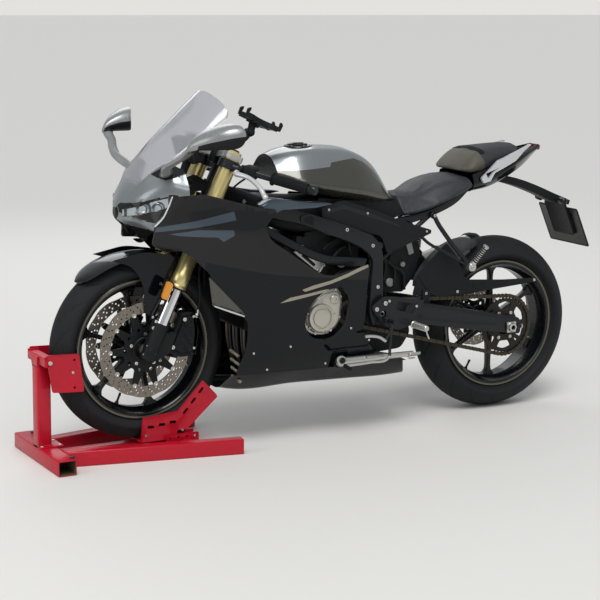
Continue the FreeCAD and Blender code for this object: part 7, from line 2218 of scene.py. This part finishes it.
def chock_frame():
    """The chock's floor tubes, post, plates and welds."""
    shape = Shape()
    square_tube(shape, (1714, -200, 0), (1714, 200, 0), (1, 0, 0), (0, 0, 1), 60, 50)
    square_tube(shape, (1698, 0, 50), (1698, 0, 314), (0, 1, 0), (1, 0, 0), 46, 46)
    shape.plate(oblong(1664, 1744, -38, 38, 6), 50, 55, lay=from_above)
    for side in (1, -1):
        start, end = np.array((1683.0, side * 84.4, 0)), np.array((1105.0, side * 196, 0))
        line = unit(end - start)
        square_tube(shape, start, end, (line[1], -line[0], 0), (0, 0, 1), 46, 50)
        weld(shape, [(1683, side * (84 - 22), 2), (1683, side * (84 - 22), 49),
                     (1683, side * (84 + 22), 49.4), (1683, side * (84 + 22), 2)])
        weld(shape, [(1698, 23.5 * side, 55.5), (1744, 23.5 * side, 55.5)])
        ears = rounded([(1326, 58, 6), (1209, 58, 6), (1209, 2, 4), (1326, 2, 4)], 5, 4)
        shape.plate(ears, 80 * side, 85 * side,
                    [circle(x, z, 5, 14) for x, z in ((1222, 46), (1252, 47), (1282, 46), (1312, 46))])
        shape.pipe([(1688, 174 * side, 50), (1688, 174 * side, 54)], 9, 14, mark=2)
    weld(shape, [(1698, -23, 55.5), (1698, 23, 55.5)])
    square_tube(shape, (1683.6, 0, 0), (1250, 0, 0), (0, 1, 0), (0, 0, 1), 40, 30)
    square_tube(shape, (1250, -150, 0), (1250, 150, 0), (1, 0, 0), (0, 0, 1), 30, 36)
    piece("chock_frame_dressed", shape, "steering", "chock_red", ["chock_red", "tube_inside", "dark_bolt"],
          ["chock_frame"], bevel=0.7, angle=40)
    for x in (1674, 1734):
        for y in (-30, 30):
            bolt("steering", (x, y, 55.4), (0, 0, 1), 5.5)


def chock_clamps():
    """Plates on the post that hold the tyre's front."""
    clamps = Shape()
    outline = rounded([(1732, 362, 8), (1624, 358, 8), (1608, 234, 8), (1714, 240, 8)], 8, 4)
    for side in (1, -1):
        clamps.plate(outline, 75 * side, 80 * side,
                     [circle(1640, 250, 4.5, 12), circle(1640, 340, 4.5, 12)])
        clamps.pipe([(1612, 77.5 * side, 246), (1626, 77.5 * side, 350)], 3.4, 10)
        weld(clamps, [(1704, 74 * side, 354), (1738, 74 * side, 354)], 2.6)
    clamps.plate(oblong(1704, 1738, 352, 322, 6), -76, 76)
    clamps.plate(oblong(1698, 1744, 314.4, 348, 5, 3), -23, 23)
    piece("chock_clamps_dressed", clamps, "steering", "chock_red", ["chock_red"], ["chock_clamps"],
          bevel=0.9)
    bolts_both("steering", (1721, 80.4, 337), (0, 1, 0), 7)
    bolts_both("steering", (1646, 80.4, 300), (0, 1, 0), 4.5)


def chock_cradle():
    """Slotted cradle that the wheel stands in."""
    cradle = Shape()
    outline = rounded([(1410, 40, 4), (1403, 120, 4), (1277, 131, 6), (1187, 225, 4), (1137, 172, 4),
                       (1134, 164, 3), (1266, 48, 4), (1290, 39, 4)], 4, 4)
    slots = []
    for x, z, turn in ((1375, 88, 4), (1335, 92, 4), (1296, 96, 4), (1250, 128, -48), (1222, 160, -48),
                       (1194, 192, -48)):
        c, s = math.cos(math.radians(turn)), math.sin(math.radians(turn))
        loop = rounded([(-12, -5, 4.5), (12, -5, 4.5), (12, 5, 4.5), (-12, 5, 4.5)], 4, 3)
        slots.append(np.array([(x + a * c - b * s, z + a * s + b * c) for a, b in loop]))
    for side in (1, -1):
        cradle.plate(outline, 66 * side, 71 * side, slots)
        cradle.plate(oblong(1280, 1222, 66, 36.6, 3, 3), 66 * side, 71 * side)
    bed = [(1410, 42.6), (1380, 42.4), (1320, 45), (1290, 49.5), (1268, 52.2), (1240, 76), (1200, 111),
           (1160, 146), (1136, 166.6)]
    under = [(x - (2.5 if x < 1268 else 0), z - 3.6) for x, z in bed]
    cradle.skin([[(x, y, z) for x, z in bed + under[::-1]] for y in (-66, 66)])
    piece("chock_cradle_dressed", cradle, "steering", "chock_red", ["chock_red"], ["chock_cradle"],
          bevel=0.8)
    bolts_both("steering", (1392, 71.5, 60), (0, 1, 0), 5)
    bolts_both("steering", (1262, 71.5, 66), (0, 1, 0), 5)


# Stage

def stage():
    """Floor, plain background, lights and the photo's camera."""
    floor = bpy.data.meshes.new("studio_floor")
    floor.from_pydata([(-60, -60, 0), (60, -60, 0), (60, 60, 0), (-60, 60, 0)], [], [(0, 1, 2, 3)])
    ground = new_object("studio_floor", floor)
    floor.materials.append(finish("pale_floor", looks().floor_tone, rough=0.7))
    world = bpy.data.worlds.new("studio")
    bpy.context.scene.world = world
    world.use_nodes = True
    tree = world.node_tree
    tree.nodes.clear()
    path = node(tree, "ShaderNodeLightPath")
    seen = node(tree, "ShaderNodeMath",
                {0: path.outputs["Is Camera Ray"], 1: path.outputs["Is Transmission Ray"]},
                operation="MAXIMUM")
    soft = node(tree, "ShaderNodeBackground", {"Color": linear("e6eaee"), "Strength": 0.55})
    plain = node(tree, "ShaderNodeBackground", {"Color": linear("e4e2de"), "Strength": 1.0})
    mix = node(tree, "ShaderNodeMixShader", {"Fac": seen.outputs["Value"], 1: soft.outputs["Background"],
                                             2: plain.outputs["Background"]})
    node(tree, "ShaderNodeOutputWorld", {"Surface": mix.outputs["Shader"]})
    sky = bpy.data.lights.new("soft_sun", "SUN")
    sky.energy, sky.angle = 1.7, math.radians(30)
    sun = new_object("soft_sun", sky)
    sun.rotation_euler = Vector((-0.25, -0.45, -1.0)).to_track_quat("-Z", "Y").to_euler()
    for name, spot, size, power in (("key_panel", (1.2, 3.4, 3.6), 2.2, 34.0),
                                    ("front_panel", (4.6, 0.6, 2.4), 2.0, 24.0),
                                    ("back_panel", (-1.0, -4.0, 3.2), 2.6, 30.0)):
        lamp = bpy.data.lights.new(name, "AREA")
        lamp.shape, lamp.size, lamp.energy = "SQUARE", size, power
        obj = new_object(name, lamp)
        obj.location = spot
        obj.rotation_euler = (Vector((0, 0, 0.5)) - Vector(spot)).to_track_quat("-Z", "Y").to_euler()
    lens = bpy.data.cameras.new("photo_camera")
    lens.lens, lens.sensor_width, lens.clip_end = 103.68, 36.0, 100.0
    camera = new_object("photo_camera", lens)
    right, up, back = (-0.8758, 0.4826, 0.0105), (-0.0792, -0.1652, 0.9831), (0.476, 0.860, 0.183)
    turn = Matrix((right, up, back)).transposed()
    camera.matrix_world = Matrix.Translation((2.9011, 5.0736, 1.5287)) @ turn.to_4x4()
    bpy.context.scene.camera = camera
    bpy.context.scene.view_settings.view_transform = "Standard"


def fasteners():
    """A bolt head with a hexagon socket at each place asked for, one mesh for each body."""
    head = Shape()
    six = [(0.46 * math.cos(math.pi * k / 3), 0.46 * math.sin(math.pi * k / 3)) for k in range(6)]
    ring = lambda r, z: [(r * math.cos(2 * math.pi * k / 18), r * math.sin(2 * math.pi * k / 18), z)
                         for k in range(18)]
    hexed = lambda z: [(*(np.array(six[k // 3]) * (1 - (k % 3) / 3) + np.array(six[(k // 3 + 1) % 6])
                          * (k % 3) / 3), z) for k in range(18)]
    head.skin([ring(1.0, -0.3), ring(1.0, 0.42), ring(0.9, 0.56), ring(0.62, 0.58), hexed(0.56),
               hexed(0.1)])
    for body, spots in BOLTS.items():
        entries = []
        for spot, aim, radius in spots:
            across = np.cross(aim, (0.2, 0.3, 1.0) if abs(aim[2]) < 0.9 else (1, 0, 0))
            entries.append((spot, aim, tuple(unit(across)), radius * looks().bolt_scale))
        repeated(f"bolts_{body}", head, entries, body, "bolt_steel", angle=40)


# Nodes that keep their CAD mesh
NODE_FINISH = {"engine": "cast_black"}


def materials():
    """Every finish, the Geometry Nodes trees, and a finish on each CAD node that NODE_FINISH lists."""
    user = looks()
    chosen = {"paint_silver": user.tank_top, "paint_olive": user.tank_side, "paint_black": user.panel_dark,
              "paint_dusk": user.panel_upper, "paint_slate": user.panel_graphic,
              "fork_gold": user.fork_tubes, "chock_red": user.chock_paint}
    for name, numbers in SURFACES.items():
        FINISH[name] = finish(name, **{**numbers, "tone": chosen.get(name, numbers["tone"])})
    TREES.update(repeat=repeat_tree(), spring=spring_tree(), chain=chain_tree())
    for name, finish_name in NODE_FINISH.items():
        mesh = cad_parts[name].data
        mesh.materials.clear()
        mesh.materials.append(FINISH[finish_name])


# The add-on

def colour(name, words, code):
    """A colour that a user can change, from an sRGB hex code."""
    return bpy.props.FloatVectorProperty(name=name, description=words, subtype="COLOR", size=4, min=0.0,
                                         max=1.0, default=linear(code))


class BikeLooks(bpy.types.PropertyGroup):
    """Sizes and colours of the bike's outside."""
    tank_top: colour("Tank top", "Metallic paint on top of the tank", "868c8f")
    tank_side: colour("Tank sides", "Metallic paint on the tank's flanks", "45443a")
    panel_dark: colour("Lower panels", "Lacquer of the lower body panels", "090b10")
    # the upper panels' lighter grey is partly their own tone, partly a painted sheen
    panel_upper: colour("Upper panels", "Lacquer of the nose, tail and upper body panels", "161617")
    panel_graphic: colour("Panel graphic", "Lacquer of the blue-grey bars on the side panels", "46515c")
    fork_tubes: colour("Fork tubes", "Anodising of the upper fork tubes", "d9c88c")
    chock_paint: colour("Chock", "Paint of the wheel chock", "be0c28")
    floor_tone: colour("Floor", "Colour of the studio floor", "dbd9d5")
    tread_depth: bpy.props.FloatProperty(name="Tread depth", description="Depth of the tyres' grooves",
                                         subtype="DISTANCE", unit="LENGTH", min=0.0, max=0.006,
                                         default=0.0028)
    bolt_scale: bpy.props.FloatProperty(name="Bolt heads",
                                        description="Size of all bolt heads against the drawing",
                                        subtype="FACTOR", min=0.5, max=1.5, default=1.0)
    chain_links: bpy.props.IntProperty(name="Chain links",
                                       description="Links in the drive chain, an even number", min=100,
                                       max=120, default=CHAIN_LINKS)
    spring_turns: bpy.props.FloatProperty(name="Spring turns", description="Turns of the rear spring",
                                          min=4.0, max=12.0, default=8.0)
    cushion_pressure: bpy.props.FloatProperty(name="Cushion pressure",
                                              description="Pressure that swells the seats' covers", min=0.0,
                                              max=10.0, default=4.0)


class BIKE_OT_materials(bpy.types.Operator):
    """Make the finishes and put one on each CAD node that keeps its mesh"""
    bl_idname = "bike.materials"
    bl_label = "Finishes"

    def execute(self, context):
        materials()
        return {"FINISHED"}


class BIKE_OT_wheels(bpy.types.Operator):
    """Build both tyres and cast rims"""
    bl_idname = "bike.wheels"
    bl_label = "Wheels"

    def execute(self, context):
        wheels()
        return {"FINISHED"}


class BIKE_OT_brakes(bpy.types.Operator):
    """Build the brake discs and the front calipers"""
    bl_idname = "bike.brakes"
    bl_label = "Brakes"

    def execute(self, context):
        brake_discs()
        front_calipers()
        return {"FINISHED"}


class BIKE_OT_fork(bpy.types.Operator):
    """Build the fork, its reflectors and the front mudguard"""
    bl_idname = "bike.fork"
    bl_label = "Fork"

    def execute(self, context):
        fork()
        guard()
        return {"FINISHED"}


class BIKE_OT_side_fairings(bpy.types.Operator):
    """Build the side panels with their graphic, stripes and winglets"""
    bl_idname = "bike.side_fairings"
    bl_label = "Side fairings"

    def execute(self, context):
        side_fairings()
        winglets()
        return {"FINISHED"}


class BIKE_OT_nose(bpy.types.Operator):
    """Build the nose, screen and headlamps"""
    bl_idname = "bike.nose"
    bl_label = "Nose and lamps"

    def execute(self, context):
        nose()
        screen()
        lamps()
        return {"FINISHED"}


class BIKE_OT_belly(bpy.types.Operator):
    """Build the belly pan and its louvres"""
    bl_idname = "bike.belly"
    bl_label = "Belly pan"

    def execute(self, context):
        belly()
        louvres()
        return {"FINISHED"}


class BIKE_OT_tank(bpy.types.Operator):
    """Build the tank, its filler lid and the shoulder panels"""
    bl_idname = "bike.tank"
    bl_label = "Tank"

    def execute(self, context):
        tank()
        filler_lid()
        shoulder_panels()
        return {"FINISHED"}


class BIKE_OT_seats(bpy.types.Operator):
    """Build both cushions, swell them and stitch them"""
    bl_idname = "bike.seats"
    bl_label = "Seats"

    def execute(self, context):
        seats()
        return {"FINISHED"}


class BIKE_OT_tail(bpy.types.Operator):
    """Build the tail unit and its light trims"""
    bl_idname = "bike.tail"
    bl_label = "Tail"

    def execute(self, context):
        tail()
        tail_trims()
        return {"FINISHED"}


class BIKE_OT_rear_end(bpy.types.Operator):
    """Build the plate arm, the blank plate and the rear lamp"""
    bl_idname = "bike.rear_end"
    bl_label = "Plate and lamp"

    def execute(self, context):
        plate_hanger()
        number_plate()
        tail_lamp()
        return {"FINISHED"}


class BIKE_OT_main_frame(bpy.types.Operator):
    """Build the frame beams, truss and seat rails"""
    bl_idname = "bike.main_frame"
    bl_label = "Frame"

    def execute(self, context):
        main_frame()
        subframe()
        side_covers()
        return {"FINISHED"}


class BIKE_OT_engine(bpy.types.Operator):
    """Build the engine's covers, air box, hoses and radiator"""
    bl_idname = "bike.engine"
    bl_label = "Engine"

    def execute(self, context):
        engine_covers()
        cylinder_covers()
        airbox_and_hoses()
        radiator()
        return {"FINISHED"}


class BIKE_OT_exhaust(bpy.types.Operator):
    """Build the header pipes and the silencer"""
    bl_idname = "bike.exhaust"
    bl_label = "Exhaust"

    def execute(self, context):
        exhaust()
        silencer()
        return {"FINISHED"}


class BIKE_OT_swingarm(bpy.types.Operator):
    """Build the swingarm, rear axle and rear shock"""
    bl_idname = "bike.swingarm"
    bl_label = "Swingarm and shock"

    def execute(self, context):
        swingarm()
        rear_axle()
        rear_shock()
        return {"FINISHED"}


class BIKE_OT_drive(bpy.types.Operator):
    """Build the drive chain, sprocket and chain guard"""
    bl_idname = "bike.drive"
    bl_label = "Chain drive"

    def execute(self, context):
        drive_chain()
        rear_sprocket()
        hugger()
        rear_caliper()
        return {"FINISHED"}


class BIKE_OT_footrests(bpy.types.Operator):
    """Build the footrests, gear lever and side stand"""
    bl_idname = "bike.footrests"
    bl_label = "Footrests and stand"

    def execute(self, context):
        rider_footrests()
        pillion_footrests()
        stand()
        return {"FINISHED"}


class BIKE_OT_controls(bpy.types.Operator):
    """Build the bars, levers, mirrors, instruments and phone holder"""
    bl_idname = "bike.controls"
    bl_label = "Controls"

    def execute(self, context):
        handlebars()
        grips()
        hand_levers()
        yokes()
        brake_hoses()
        front_axle()
        mirrors()
        instruments()
        fairing_stay()
        phone_holder()
        return {"FINISHED"}


class BIKE_OT_chock(bpy.types.Operator):
    """Build the wheel chock"""
    bl_idname = "bike.chock"
    bl_label = "Wheel chock"

    def execute(self, context):
        chock_frame()
        chock_clamps()
        chock_cradle()
        return {"FINISHED"}


class BIKE_OT_fasteners(bpy.types.Operator):
    """Set a bolt head at every place the pieces asked for"""
    bl_idname = "bike.fasteners"
    bl_label = "Bolts"

    def execute(self, context):
        fasteners()
        return {"FINISHED"}


class BIKE_OT_stage(bpy.types.Operator):
    """Set up the floor, lights and camera"""
    bl_idname = "bike.stage"
    bl_label = "Stage"

    def execute(self, context):
        stage()
        return {"FINISHED"}


STEPS = (BIKE_OT_materials, BIKE_OT_wheels, BIKE_OT_brakes, BIKE_OT_fork, BIKE_OT_side_fairings,
         BIKE_OT_nose, BIKE_OT_belly, BIKE_OT_tank, BIKE_OT_seats, BIKE_OT_tail, BIKE_OT_rear_end,
         BIKE_OT_main_frame, BIKE_OT_engine, BIKE_OT_exhaust, BIKE_OT_swingarm, BIKE_OT_drive,
         BIKE_OT_footrests, BIKE_OT_controls, BIKE_OT_chock, BIKE_OT_fasteners, BIKE_OT_stage)


class BIKE_PT_looks(bpy.types.Panel):
    """Sizes, colours and building steps of the sport bike"""
    bl_label = "Sport bike"
    bl_idname = "BIKE_PT_looks"
    bl_space_type = "VIEW_3D"
    bl_region_type = "UI"
    bl_category = "Sport bike"

    def draw(self, context):
        for word in BikeLooks.__annotations__:
            self.layout.prop(context.scene.bike_looks, word)
        for step in STEPS:
            self.layout.operator(step.bl_idname)


def register():
    """Add the panel, its settings and the building steps."""
    for one in (BikeLooks, *STEPS, BIKE_PT_looks):
        bpy.utils.register_class(one)
    bpy.types.Scene.bike_looks = bpy.props.PointerProperty(type=BikeLooks)


def unregister():
    """Take the panel, its settings and the building steps away."""
    del bpy.types.Scene.bike_looks
    for one in reversed((BikeLooks, *STEPS, BIKE_PT_looks)):
        bpy.utils.unregister_class(one)


def main():
    """Run every building step."""
    register()
    for step in STEPS:
        getattr(bpy.ops.bike, step.bl_idname.split(".")[1])()


if __name__ == "__main__":
    main()
